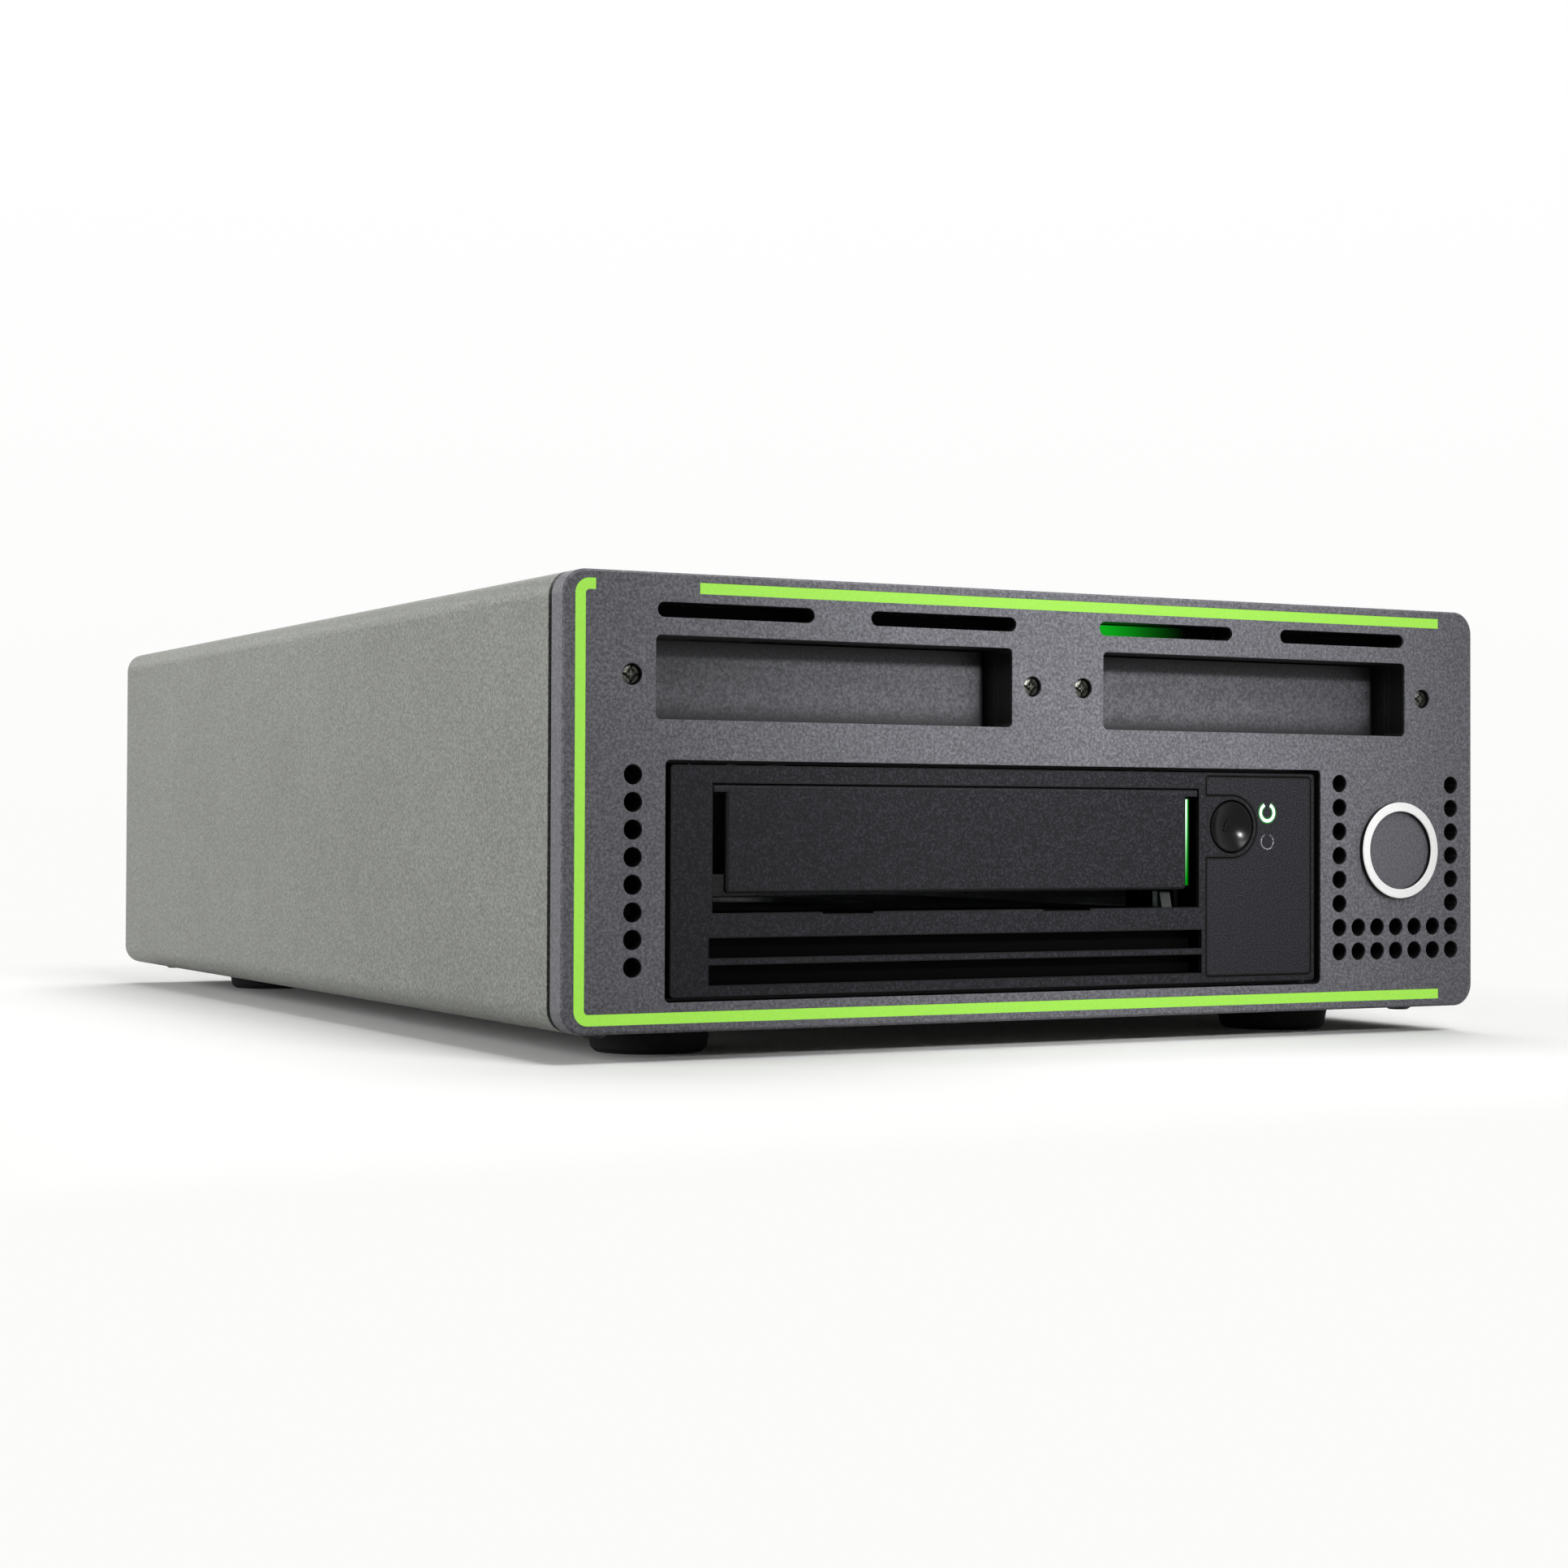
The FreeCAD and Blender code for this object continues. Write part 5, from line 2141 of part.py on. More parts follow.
def port(name, x, width, height, depth, tongue_height):
    """A port's shell standing on the interface board, open to the rear, with a tongue inside."""
    body = new_body(name, (x, PANEL_Y, f"{BOARD_TOP} + {height} / 2"))
    sketch = new_sketch(body, "shell", "XZ")
    rectangle(sketch, between("0", width), between("0", height), f"{height} * {PORT_ROUND}")
    pad(body, "shell_block", sketch, depth)
    sketch = new_sketch(body, "mouth", "XZ")
    inner = (f"({width} - port_wall * 2)", f"({height} - port_wall * 2)")
    rectangle(sketch, between("0", inner[0]), between("0", inner[1]), f"{inner[1]} * {PORT_ROUND}")
    pocket(body, "mouth_cut", sketch, f"{depth} - port_wall * 2", reverse=True)
    sketch = new_sketch(body, "tongue", "XZ", f"{depth} - port_wall * 3")
    rectangle(sketch, between("0", f"({inner[0]} * {PORT_TONGUE})"), between("0", tongue_height))
    pad(body, "tongue_bar", sketch, f"{depth} - port_wall * 6", reverse=True)
    return body


def ports():
    """Two small data ports, a display port and a wide data port."""
    small = [
        port(f"data_port_{i}", f"(usb_across + usb_pitch * {i})", "usb_width", "usb_height",
             "usb_depth", "port_wall")
        for i in range(2)
    ]
    display = port("display_port", "display_across", "display_width", "display_height", "display_depth",
                   "port_wall * 2")
    wide = port("wide_port", "sas_across", "sas_width", "sas_height", "sas_depth", "port_wall * 2")
    return part("data_ports", group("data_port_set", *small, display, wide))


for make in (front_faceplate, front_frame, case_sleeve, chassis_floor, rubber_feet, underside_screws,
             plate_screws, round_badge, rear_panel, upper_deck, media_cages, bay_screws,
             slot_light_guides, indicator_board, drive_bezel, bezel_insert, bay_door, eject_button,
             button_spring, key_board, light_pipes, sensor_prism, drive_base_casting, drive_covers,
             drive_circuit_board, drive_rails, drive_screws, cartridge_tray, tray_rack, loader_gears,
             loader_motor, reel_motors, supply_clutch, takeup_reel, guide_rollers, head_group,
             entry_guide, power_supply, mains_inlet, power_switch, fan, rear_screws, port_bracket,
             interface_board, board_heatsink, ports):
    make()
media_blank("media_blank_left", "-window_offset")
media_blank("media_blank_right", "window_offset")

# ---------------------------------------------------------------------------------------------
# Check and write
# ---------------------------------------------------------------------------------------------
doc.recompute()
for item in doc.Objects:
    if "Invalid" in item.State or "Error" in item.State:
        raise RuntimeError(f"{item.Name} did not build: {item.State}")
for name, item in PARTS.items():
    if item.Shape.isNull() or not item.Shape.isValid() or not item.Shape.Solids:
        raise RuntimeError(f"{name} has no valid solid")

os.makedirs("parts", exist_ok=True)
for name, item in PARTS.items():
    item.Shape.exportStep(f"parts/{name}.step")
print(len(PARTS), "sub-parts")
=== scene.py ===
"""Looks for a desktop data tape drive, laid out as an add-on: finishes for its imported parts, the painted
line, button, badge, screws and lit marks of its front, and a plain studio round it.

Lengths in the panel are in metres. +X is to the right of someone facing the front, +Y to the rear.
"""

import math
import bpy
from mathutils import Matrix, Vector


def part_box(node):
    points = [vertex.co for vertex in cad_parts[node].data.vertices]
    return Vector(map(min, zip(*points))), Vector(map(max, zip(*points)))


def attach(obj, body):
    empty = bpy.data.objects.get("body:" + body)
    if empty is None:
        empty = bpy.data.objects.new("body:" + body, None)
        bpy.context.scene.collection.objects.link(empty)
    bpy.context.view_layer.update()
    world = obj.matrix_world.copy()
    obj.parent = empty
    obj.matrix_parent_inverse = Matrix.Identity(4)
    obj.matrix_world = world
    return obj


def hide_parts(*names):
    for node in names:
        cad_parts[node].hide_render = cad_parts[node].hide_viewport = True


bl_info = {
    "name": "Tape Drive Dresser",
    "version": (1, 0, 0),
    "blender": (4, 5, 0),
    "location": "View3D > Sidebar > Tape Drive",
    "description": "Finishes and fittings for a desktop data tape drive",
    "category": "Object",
}

import bmesh
import bpy
from mathutils import Matrix, Vector

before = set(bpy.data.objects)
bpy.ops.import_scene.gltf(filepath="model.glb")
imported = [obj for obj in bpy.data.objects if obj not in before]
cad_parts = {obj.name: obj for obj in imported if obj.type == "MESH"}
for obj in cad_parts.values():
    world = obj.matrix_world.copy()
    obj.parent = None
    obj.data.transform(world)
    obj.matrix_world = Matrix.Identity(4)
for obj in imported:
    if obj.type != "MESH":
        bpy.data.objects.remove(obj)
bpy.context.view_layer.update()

MM = 0.001
# Width over which one finish gives way to the next on a piece
BLEND = 0.1 * MM
# Places that are this near each other count as level
TINY = 0.01 * MM
# Points that are this near each other are welded into one
WELD = 0.001 * MM
# Facets round the button and the badge
FACETS = 64
# The body that everything still rides on
SHELL = "enclosure"

PLATE_LOW, PLATE_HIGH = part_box("front_faceplate")
BEZEL_LOW, BEZEL_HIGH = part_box("drive_bezel")
INSERT_LOW, INSERT_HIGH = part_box("bezel_insert")
BUTTON_LOW, BUTTON_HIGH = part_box("eject_button")
BADGE_LOW, BADGE_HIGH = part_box("round_badge")
SCREWS_LOW, SCREWS_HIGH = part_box("bay_screws")
PIPES_LOW, PIPES_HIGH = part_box("light_pipes")


def linear(code):
    """A colour written as an sRGB hex value, as Blender's linear numbers."""
    parts = [int(code[i:i + 2], 16) / 255 for i in (1, 3, 5)]
    return [c / 12.92 if c <= 0.04045 else ((c + 0.055) / 1.055) ** 2.4 for c in parts]


def tint(name, description, code):
    """A colour setting whose default is a hex value."""
    return bpy.props.FloatVectorProperty(
        name=name, description=description, subtype="COLOR", size=3, min=0, max=1, default=linear(code)
    )


def length(name, description, millimetres):
    """A length setting whose default is given in millimetres."""
    return bpy.props.FloatProperty(
        name=name, description=description, unit="LENGTH", precision=5, default=millimetres * MM
    )


# ---------------------------------------------------------------------------------------------
# Settings
# ---------------------------------------------------------------------------------------------
class TapeDriveColours(bpy.types.PropertyGroup):
    """Colours that a user would change."""

    coat: tint("Coat", "Powder coat of the front plate and the blanks", "#55555a")
    sleeve: tint("Sleeve", "Powder coat of the sleeve", "#6f716b")
    line: tint("Line", "Painted line round the front", "#9adc4a")
    bezel: tint("Bezel", "Textured plastic of the bezel and the door", "#141418")
    insert: tint("Insert", "Finer plastic beside the bay", "#19191d")
    badge: tint("Badge", "Rim of the round badge", "#e9e9e8")
    glow: tint("Glow", "Light in the lit slot and at the edges of the bay's light strip", "#0cb81e")
    lamp: tint("Lamp", "Lit status mark and the middle of the bay's light strip", "#d2ffdc")


class TapeDriveSizes(bpy.types.PropertyGroup):
    """Sizes that a user would change."""

    line_width: length("Line width", "Width of the painted line", 2.05)
    line_side: length("Line side", "Left edge of the plate to the line", 2.45)
    line_edge: length("Line edge", "Top or bottom edge of the plate to the line", 1.65)
    line_round: length("Line corner", "Outer corner of the line", 2.8)
    line_stop: length("Line stop", "Right edge of the plate to the line's right end", 9.4)
    line_hook: length("Line hook", "Left edge of the plate to the break in the line", 6.5)
    line_start: length("Line start", "Left edge of the plate to the line beyond the break", 27.4)
    line_sunk: length("Line sunk", "Plate's face to the paint's", 0.02)
    line_thick: length("Line thickness", "Depth of the paint in its groove", 0.17)

    grain: length("Coat grain", "Bumps of the powder coat", 0.55)
    flake: length("Coat flake", "Flakes in the powder coat", 0.4)
    # Painted shade: the walls of the plate's holes, deeper than the hole shade depth, are painted near black
    hole_shade_margin: length("Coated rim", "Plate's edge to where its holes may begin", 4.0)
    hole_shade_depth: length("Coat in holes", "How far the full coat reaches into the plate's holes", 0.4)
    # The blanks' shade near their window walls is painted shade, drawn from ambient occlusion
    window_shade: length("Window shade", "How far a bay window's walls shade its blank", 5.0)

    bezel_grit: length("Bezel grit", "Grit of the bezel's and the door's plastic", 0.45)
    # Deeper than this, the bezel's plastic is given painted shade: blacker and less shiny
    bezel_shade_depth: length("Bezel skin", "Bezel's face to where its plastic is left smooth", 0.8)
    # The shade beside the bezel's and the insert's edges is painted shade
    bezel_seam: length("Bezel seam", "Width of the shade beside the bezel's edges", 0.5)
    insert_grit: length("Insert grit", "Grit of the insert's plastic", 0.3)
    insert_seam: length("Insert seam", "Width of the shade beside the insert's edges", 0.7)

    button_radius: length("Button", "Radius of the eject button's face", 5.2)
    button_lip: length("Button lip", "Width of the rounded rim round the dish", 0.4)
    button_dish: length("Button dish", "Depth of the eject button's dish", 1.5)
    button_seat: length("Button seat", "Eject button's face to its flange", 3.0)
    button_flange: length("Button flange", "Thickness of the flange", 1.0)
    button_stem: length("Button stem", "Radius of the stem behind the flange", 1.6)
    pocket_radius: length("Spring pocket", "Radius of the pocket in the button's back for its spring", 2.85)
    pocket_deep: length("Pocket depth", "Depth of the spring's pocket", 1.05)
    mark_half: length("Eject mark", "Half the width of the eject mark", 1.1)
    mark_bar: length("Eject mark's bar", "Height of the bar under the mark's triangle", 0.45)
    mark_lift: length("Eject mark's triangle", "Middle of the button to the middle of the triangle", 0.5)
    mark_proud: length("Eject mark's face", "Bottom of the dish to the mark's face", 0.3)
    mark_thick: length("Eject mark's depth", "Thickness of the eject mark", 0.5)
    mark_ease: length("Eject mark's edge", "Rounding of the mark's edges", 0.06)

    lamp_in: length("Lamp inset", "Left edge of the insert to the status marks", 15.35)
    lamp_drop: length("Lamp drop", "Top of the insert to the lit status mark", 7.3)
    lamp_pitch: length("Lamp pitch", "Status mark to status mark", 5.95)
    lamp_proud: length("Lamp proud", "Insert's face to a status mark's", 0.05)
    lit_radius: length("Lit mark", "Outer radius of the lit status mark", 2.0)
    lit_line: length("Lit mark's line", "Width of the lit mark's line", 0.62)
    lit_spread: length("Lit mark's spread", "Width of the faint light beside the lit mark's line", 0.3)
    dark_radius: length("Dark mark", "Outer radius of the dark status mark", 1.68)
    dark_line: length("Dark mark's line", "Width of the dark mark's line", 0.279)
    slot_start: length("Lit slot", "Middle of the case to the lit slot", 9.8)
    slot_lit: length("Slot light", "How far the light reaches along the lit slot", 26.0)
    strip_deep: length("Light strip", "Bezel's face to the light strip in the bay", 3.4)
    strip_soak: length("Strip edge", "Depth over which the strip's light comes up", 0.8)
    strip_full: length("Strip top", "Top of the strip to where its light is full", 3.0)
    strip_fade: length("Strip foot", "How far below the strip its light would end", 15.0)

    badge_rim: length("Badge rim", "Width of the badge's pale rim", 1.9)
    badge_ease: length("Badge edge", "Slope at the rim's edges", 0.12)
    badge_floor: length("Badge floor", "Thickness of the badge's sunk middle", 0.15)
    screw_inner: length("Inner bay screw", "Middle of the case to an inner bay screw", 5.95)
    screw_head: length("Screw head", "Height of a bay screw's head", 1.2)
    screw_crown: length("Screw crown", "Height of the rounded part of the head", 0.45)
    screw_shank: length("Screw shank", "Radius of a bay screw's shank", 1.0)
    screw_cross: length("Screw recess", "Width of an arm of the cross in a screw's head", 0.5)
    screw_recess: length("Recess depth", "Depth of the cross", 0.7)


# ---------------------------------------------------------------------------------------------
# Nodes and materials
# ---------------------------------------------------------------------------------------------
def fill(tree, node, inputs):
    """Give a node's inputs their values or their links."""
    for socket, value in inputs.items():
        if isinstance(value, bpy.types.NodeSocket):
            tree.links.new(value, node.inputs[socket])
        else:
            node.inputs[socket].default_value = value


def add(tree, kind, inputs=None, **settings):
    """Add a node, set its own settings, and fill its inputs."""
    node = tree.nodes.new(kind)
    for key, value in settings.items():
        setattr(node, key, value)
    fill(tree, node, inputs or {})
    return node


def opaque(colour, share=1.0):
    """A colour made lighter or darker by a share, with alpha."""
    return [min(1.0, c * share) for c in colour[:3]] + [1.0]


def ramp(tree, factor, *stops):
    """A colour ramp through (position, colour) stops."""
    node = add(tree, "ShaderNodeValToRGB", {"Fac": factor})
    elements = node.color_ramp.elements
    while len(elements) < len(stops):
        elements.new(0.5)
    for element, (position, colour) in zip(elements, stops):
        element.position, element.color = position, colour
    return node.outputs["Color"]


def mix(tree, factor, first, second, blend="MIX"):
    """The colour between two colours."""
    return add(tree, "ShaderNodeMix", {0: factor, 6: first, 7: second}, data_type="RGBA",
               blend_type=blend).outputs[2]


def reached(tree, value, start, stop):
    """How far a value has come from start to stop: 0 at start and 1 at stop."""
    return add(tree, "ShaderNodeMapRange", {"Value": value, "From Min": start, "From Max": stop},
               clamp=True).outputs["Result"]


def between(tree, share, low, high):
    """The value at a share of the way from low to high."""
    return add(tree, "ShaderNodeMapRange", {"Value": share, "To Min": low, "To Max": high}).outputs["Result"]


def material(name):
    """An empty node material: its tree, its Object coordinates and its shader."""
    made = bpy.data.materials.new(name)
    made.use_nodes = True
    tree = made.node_tree
    shader = tree.nodes["Principled BSDF"]
    place = add(tree, "ShaderNodeTexCoord").outputs["Object"]
    return made, tree, place, shader


def bumped(tree, shader, height, strength, depth, normal=None):
    """Give a shader small relief from a height, over a normal if there is one."""
    node = add(tree, "ShaderNodeBump", {"Height": height, "Strength": strength, "Distance": depth})
    if normal:
        tree.links.new(normal, node.inputs["Normal"])
    tree.links.new(node.outputs["Normal"], shader.inputs["Normal"])


def noise(tree, place, size, detail=2.0, stretch=None):
    """Noise whose features are about as large as a size in metres, drawn out along an axis if asked."""
    if stretch:
        place = add(tree, "ShaderNodeMapping", {"Vector": place, "Scale": stretch}).outputs["Vector"]
    node = add(tree, "ShaderNodeTexNoise", {"Vector": place, "Scale": 1 / size, "Detail": detail})
    return node.outputs["Fac"]


def span(tree, place, axis, start, stop):
    """How far a point lies along an axis: 0 at start and 1 at stop."""
    return reached(tree, add(tree, "ShaderNodeSeparateXYZ", {"Vector": place}).outputs[axis], start, stop)


def within(tree, place, spans):
    """1 where every (axis, start, stop) span has reached its stop, and 0 where one hasn't begun."""
    share = 1.0
    for axis, start, stop in spans:
        share = add(tree, "ShaderNodeMath", {0: span(tree, place, axis, start, stop), 1: share},
                    operation="MULTIPLY").outputs[0]
    return share


def painted_edge_shade(tree, tone, width):
    """Darken a colour beside sharp edges as painted shade, where a moulding's rounded edge would turn away
    from the light. The shade begins where the edge has turned by 2.6 degrees, and is full at 13 degrees."""
    rounded = add(tree, "ShaderNodeBevel", {"Radius": width}, samples=8).outputs["Normal"]
    true = add(tree, "ShaderNodeNewGeometry").outputs["True Normal"]
    turn = add(tree, "ShaderNodeVectorMath", {0: rounded, 1: true}, operation="DOT_PRODUCT").outputs["Value"]
    return mix(tree, reached(tree, turn, 0.975, 0.999), opaque(linear("#020202")), tone)


def powder_coat(name, colour, grain, flake, painted_shade=(), sunk=0.0):
    """Epoxy powder coat, sprayed and baked on aluminium. Its bumps of a few tenths of a millimetre break up
    every highlight, mica flakes are painted lighter among them as painted glints, the film's depth varies
    slowly, and edges catch the light where the film draws thin over them. The bumps are drawn a little
    coarser than the real ones, so that they show. Within the painted_shade spans, on the walls of holes, it
    is painted near black as painted shade. Within the sunk distance of walls that stand round the coat,
    ambient occlusion darkens it as painted shade."""
    made, tree, place, shader = material(name)
    bumps = noise(tree, place, grain, 2.5)
    speckle = ramp(tree, bumps, (0.32, opaque(colour, 0.62)), (0.50, opaque(colour)),
                   (0.68, opaque(colour, 1.55)))
    # Painted glints: some flakes are painted lighter, standing in for their reflections
    cells = add(tree, "ShaderNodeTexVoronoi", {"Vector": place, "Scale": 1 / flake}).outputs["Color"]
    chance = add(tree, "ShaderNodeSeparateColor", {"Color": cells}).outputs["Red"]
    painted_glint = ramp(tree, chance, (0.80, (0, 0, 0, 1)), (1.0, (0.6, 0.6, 0.6, 1)))
    flaked = mix(tree, painted_glint, speckle, opaque(colour, 1.9))
    depth = noise(tree, place, 30 * MM)
    slow = ramp(tree, depth, (0.3, (0.94, 0.94, 0.94, 1)), (0.7, (1.05, 1.05, 1.05, 1)))
    tone = mix(tree, 1.0, flaked, slow, "MULTIPLY")
    # Painted shade: near black on the walls of holes, within the painted_shade spans
    if painted_shade:
        tone = mix(tree, within(tree, place, painted_shade), tone, opaque(colour, 0.06))
    # Painted shade: ambient occlusion darkens the coat near walls that stand round it
    if sunk:
        shade_occlusion = add(tree, "ShaderNodeAmbientOcclusion", {"Distance": sunk}, samples=8).outputs["AO"]
        tone = mix(tree, reached(tree, shade_occlusion, 0.58, 0.95), opaque(colour, 0.12), tone)
    fill(tree, shader, {"Base Color": tone, "Roughness": between(tree, bumps, 0.36, 0.52),
                        "Metallic": 0.15, "Specular IOR Level": 0.35})
    edge = add(tree, "ShaderNodeBevel", {"Radius": 0.25 * MM}, samples=4).outputs["Normal"]
    bumped(tree, shader, bumps, 0.4, 0.06 * MM, edge)
    return made


def moulded_plastic(name, colour, grit, roughness, relief, painted_shade=None, seam=None):
    """ABS from a spark-eroded mould: a matt skin of even grit that breaks light into fine pale specks. Deeper
    along Y than painted_shade, it is painted blacker and less shiny as painted shade in its hollows. With a
    seam, painted shade darkens it that far beside its edges."""
    made, tree, place, shader = material(name)
    skin = noise(tree, place, grit, 2.5)
    tone = ramp(tree, skin, (0.34, opaque(colour, 0.35)), (0.50, opaque(colour)),
                (0.68, opaque(colour, 3.2)))
    sheen = 0.15
    # Painted shade: deeper along Y than this level, the share called smooth blackens the plastic and lowers
    # its sheen
    if painted_shade:
        smooth = span(tree, place, "Y", painted_shade, painted_shade + 4 * BLEND)
        tone = mix(tree, smooth, tone, opaque(colour, 0.12))
        sheen = between(tree, smooth, sheen, 0.03)
    # Painted shade beside the edges
    if seam:
        tone = painted_edge_shade(tree, tone, seam)
    worn = between(tree, noise(tree, place, 12 * MM), roughness - 0.05, roughness + 0.05)
    fill(tree, shader, {"Base Color": tone, "Roughness": worn, "Specular IOR Level": sheen})
    edge = add(tree, "ShaderNodeBevel", {"Radius": 0.15 * MM}, samples=4).outputs["Normal"]
    bumped(tree, shader, skin, relief, 0.05 * MM, edge)
    return made


def polished_plastic(name, colour):
    """Polished black ABS, as on a button that fingers keep clean: a deep gloss with faint rub marks."""
    made, tree, place, shader = material(name)
    rubs = noise(tree, place, 0.9 * MM, 3.0, (1, 1, 7))
    tone = ramp(tree, rubs, (0.3, opaque(colour, 0.7)), (0.7, opaque(colour, 1.3)))
    fill(tree, shader, {"Base Color": tone, "Roughness": between(tree, rubs, 0.19, 0.23),
                        "Specular IOR Level": 0.14})
    return made


def glowing_enamel(name, colour, glow):
    """Screen-printed enamel: an even, slightly glossy film with a soft orange-peel surface. It glows as
    painted light, though it is no lamp, so it stays bright where less light falls. The more it glows, the
    less it reflects."""
    made, tree, place, shader = material(name)
    peel = noise(tree, place, 0.6 * MM)
    dye = 1.0 - 0.9 * glow
    tone = ramp(tree, peel, (0.25, opaque(colour, 0.955 * dye)), (0.75, opaque(colour, 1.02 * dye)))
    fill(tree, shader, {"Base Color": tone, "Emission Color": tone, "Emission Strength": glow / dye,
                        "Roughness": 0.42, "Specular IOR Level": 0.35})
    bumped(tree, shader, peel, 0.15, 0.02 * MM)
    return made


def rolled_metal(name, low, high, roughness, grain, stretch=None, relief=0.1):
    """Metal whose pattern follows how it was made: drawn out where it was rolled or brushed, even
    where it was cast or plated."""
    made, tree, place, shader = material(name)
    pattern = noise(tree, place, grain, 3.0, stretch)
    tone = ramp(tree, pattern, (0.3, opaque(linear(low))), (0.7, opaque(linear(high))))
    rough = between(tree, pattern, roughness - 0.08, roughness + 0.08)
    fill(tree, shader, {"Base Color": tone, "Roughness": rough, "Metallic": 1.0})
    bumped(tree, shader, pattern, relief, 0.03 * MM)
    return made


def spangled_zinc():
    """Hot-dip zinc on steel sheet: crystals a few millimetres wide, each with its own grey."""
    made, tree, place, shader = material("spangled_zinc_sheet")
    cells = add(tree, "ShaderNodeTexVoronoi", {"Vector": place, "Scale": 1 / (4 * MM)})
    grey = add(tree, "ShaderNodeSeparateColor", {"Color": cells.outputs["Color"]}).outputs["Green"]
    tone = ramp(tree, grey, (0.0, opaque(linear("#9da0a1"))), (1.0, opaque(linear("#c4c7c8"))))
    fill(tree, shader, {"Base Color": tone, "Roughness": between(tree, grey, 0.28, 0.46), "Metallic": 1.0})
    bumped(tree, shader, noise(tree, place, 0.7 * MM), 0.06, 0.02 * MM)
    return made


def vulcanised_rubber():
    """Black moulded rubber: dull and dark, with a dusty bloom."""
    made, tree, place, shader = material("vulcanised_rubber")
    bloom = noise(tree, place, 1.6 * MM, 4.0)
    tone = ramp(tree, bloom, (0.35, opaque(linear("#0b0b0c"))), (0.75, opaque(linear("#1b1b1c"))))
    fill(tree, shader, {"Base Color": tone, "Roughness": between(tree, bloom, 0.7, 0.9),
                        "Specular IOR Level": 0.25})
    bumped(tree, shader, bloom, 0.2, 0.05 * MM)
    return made


def natural_acetal():
    """Acetal moulded without pigment: milky, a little waxy, with light soaking in at the edges."""
    made, tree, place, shader = material("natural_acetal")
    flow = noise(tree, place, 3 * MM, 3.0)
    tone = ramp(tree, flow, (0.3, opaque(linear("#dcd8c8"))), (0.7, opaque(linear("#ece9dc"))))
    fill(tree, shader, {"Base Color": tone, "Roughness": 0.38, "Subsurface Weight": 0.15,
                        "Subsurface Scale": 0.6 * MM})
    bumped(tree, shader, flow, 0.05, 0.03 * MM)
    return made


def solder_mask():
    """Glass-epoxy board under green solder mask: copper tracks show through as paler green, and pads as
    small tinned dots."""
    made, tree, place, shader = material("solder_mask_board")
    tracks = add(tree, "ShaderNodeTexBrick",
                 {"Vector": place, "Color1": (0, 0, 0, 1), "Color2": (0.25, 0.25, 0.25, 1),
                  "Mortar": (1, 1, 1, 1), "Scale": 1.0, "Mortar Size": 0.25 * MM,
                  "Brick Width": 5.2 * MM, "Row Height": 1.3 * MM}).outputs["Color"]
    pads = add(tree, "ShaderNodeTexVoronoi", {"Vector": place, "Scale": 1 / (3.2 * MM)}).outputs["Distance"]
    dots = ramp(tree, pads, (0.13, (1, 1, 1, 1)), (0.16, (0, 0, 0, 1)))
    mask = mix(tree, tracks, opaque(linear("#0d3d22")), opaque(linear("#1c5c36")))
    fill(tree, shader, {"Base Color": mix(tree, dots, mask, opaque(linear("#b9b6a6"))), "Roughness": 0.32})
    bumped(tree, shader, tracks, 0.2, 0.03 * MM)
    return made


def lapped_ferrite():
    """Ceramic bar of a tape head, lapped by the tape: black-brown, with a fine shine along its length."""
    made, tree, place, shader = material("lapped_ferrite")
    lines = noise(tree, place, 0.4 * MM, 2.0, (1, 0.1, 3))
    tone = ramp(tree, lines, (0.3, opaque(linear("#231f1e"))), (0.7, opaque(linear("#3a3432"))))
    fill(tree, shader, {"Base Color": tone, "Roughness": 0.15})
    return made


def lit_acrylic(name, cool, hot, spans, strength):
    """Cast acrylic that carries light from a lamp: smoky where it is dark, and lit where every span
    lets light reach, from the cool colour where it fades to the hot one where it is brightest."""
    made, tree, place, shader = material(name)
    lit = within(tree, place, spans)
    shine = ramp(tree, lit, (0.0, opaque(cool, 0.5)), (0.55, opaque(cool)), (1.0, opaque(hot)))
    curve = add(tree, "ShaderNodeMath", {0: lit, 1: 1.5}, operation="POWER").outputs[0]
    haze = between(tree, noise(tree, place, 4 * MM), strength * 0.85, strength * 1.15)
    power = add(tree, "ShaderNodeMath", {0: curve, 1: haze}, operation="MULTIPLY").outputs[0]
    streak = noise(tree, place, 2 * MM)
    smoke = ramp(tree, streak, (0.3, opaque(linear("#010102"))), (0.7, opaque(linear("#040405"))))
    fill(tree, shader, {"Base Color": smoke, "Roughness": 0.6, "Specular IOR Level": 0.04,
                        "Emission Color": shine, "Emission Strength": power})
    return made


def status_film(name, low, high, cloud, strength):
    """Printed film with a lamp behind it: an even light with a faint cloud in it, from low to high."""
    made, tree, place, shader = material(name)
    light = mix(tree, noise(tree, place, cloud), low, high)
    fill(tree, shader, {"Base Color": light, "Emission Color": light, "Emission Strength": strength})
    return made


def tinted_acrylic():
    """Moulded acrylic with a smoky tint: some light passes, and a slight haze shows its edges."""
    made, tree, place, shader = material("tinted_acrylic")
    haze = noise(tree, place, 1.5 * MM)
    tone = ramp(tree, haze, (0.3, opaque(linear("#353c3a"))), (0.7, opaque(linear("#565f5c"))))
    fill(tree, shader, {"Base Color": tone, "Roughness": 0.25, "Transmission Weight": 0.85, "IOR": 1.49,
                        "Specular IOR Level": 0.2})
    return made


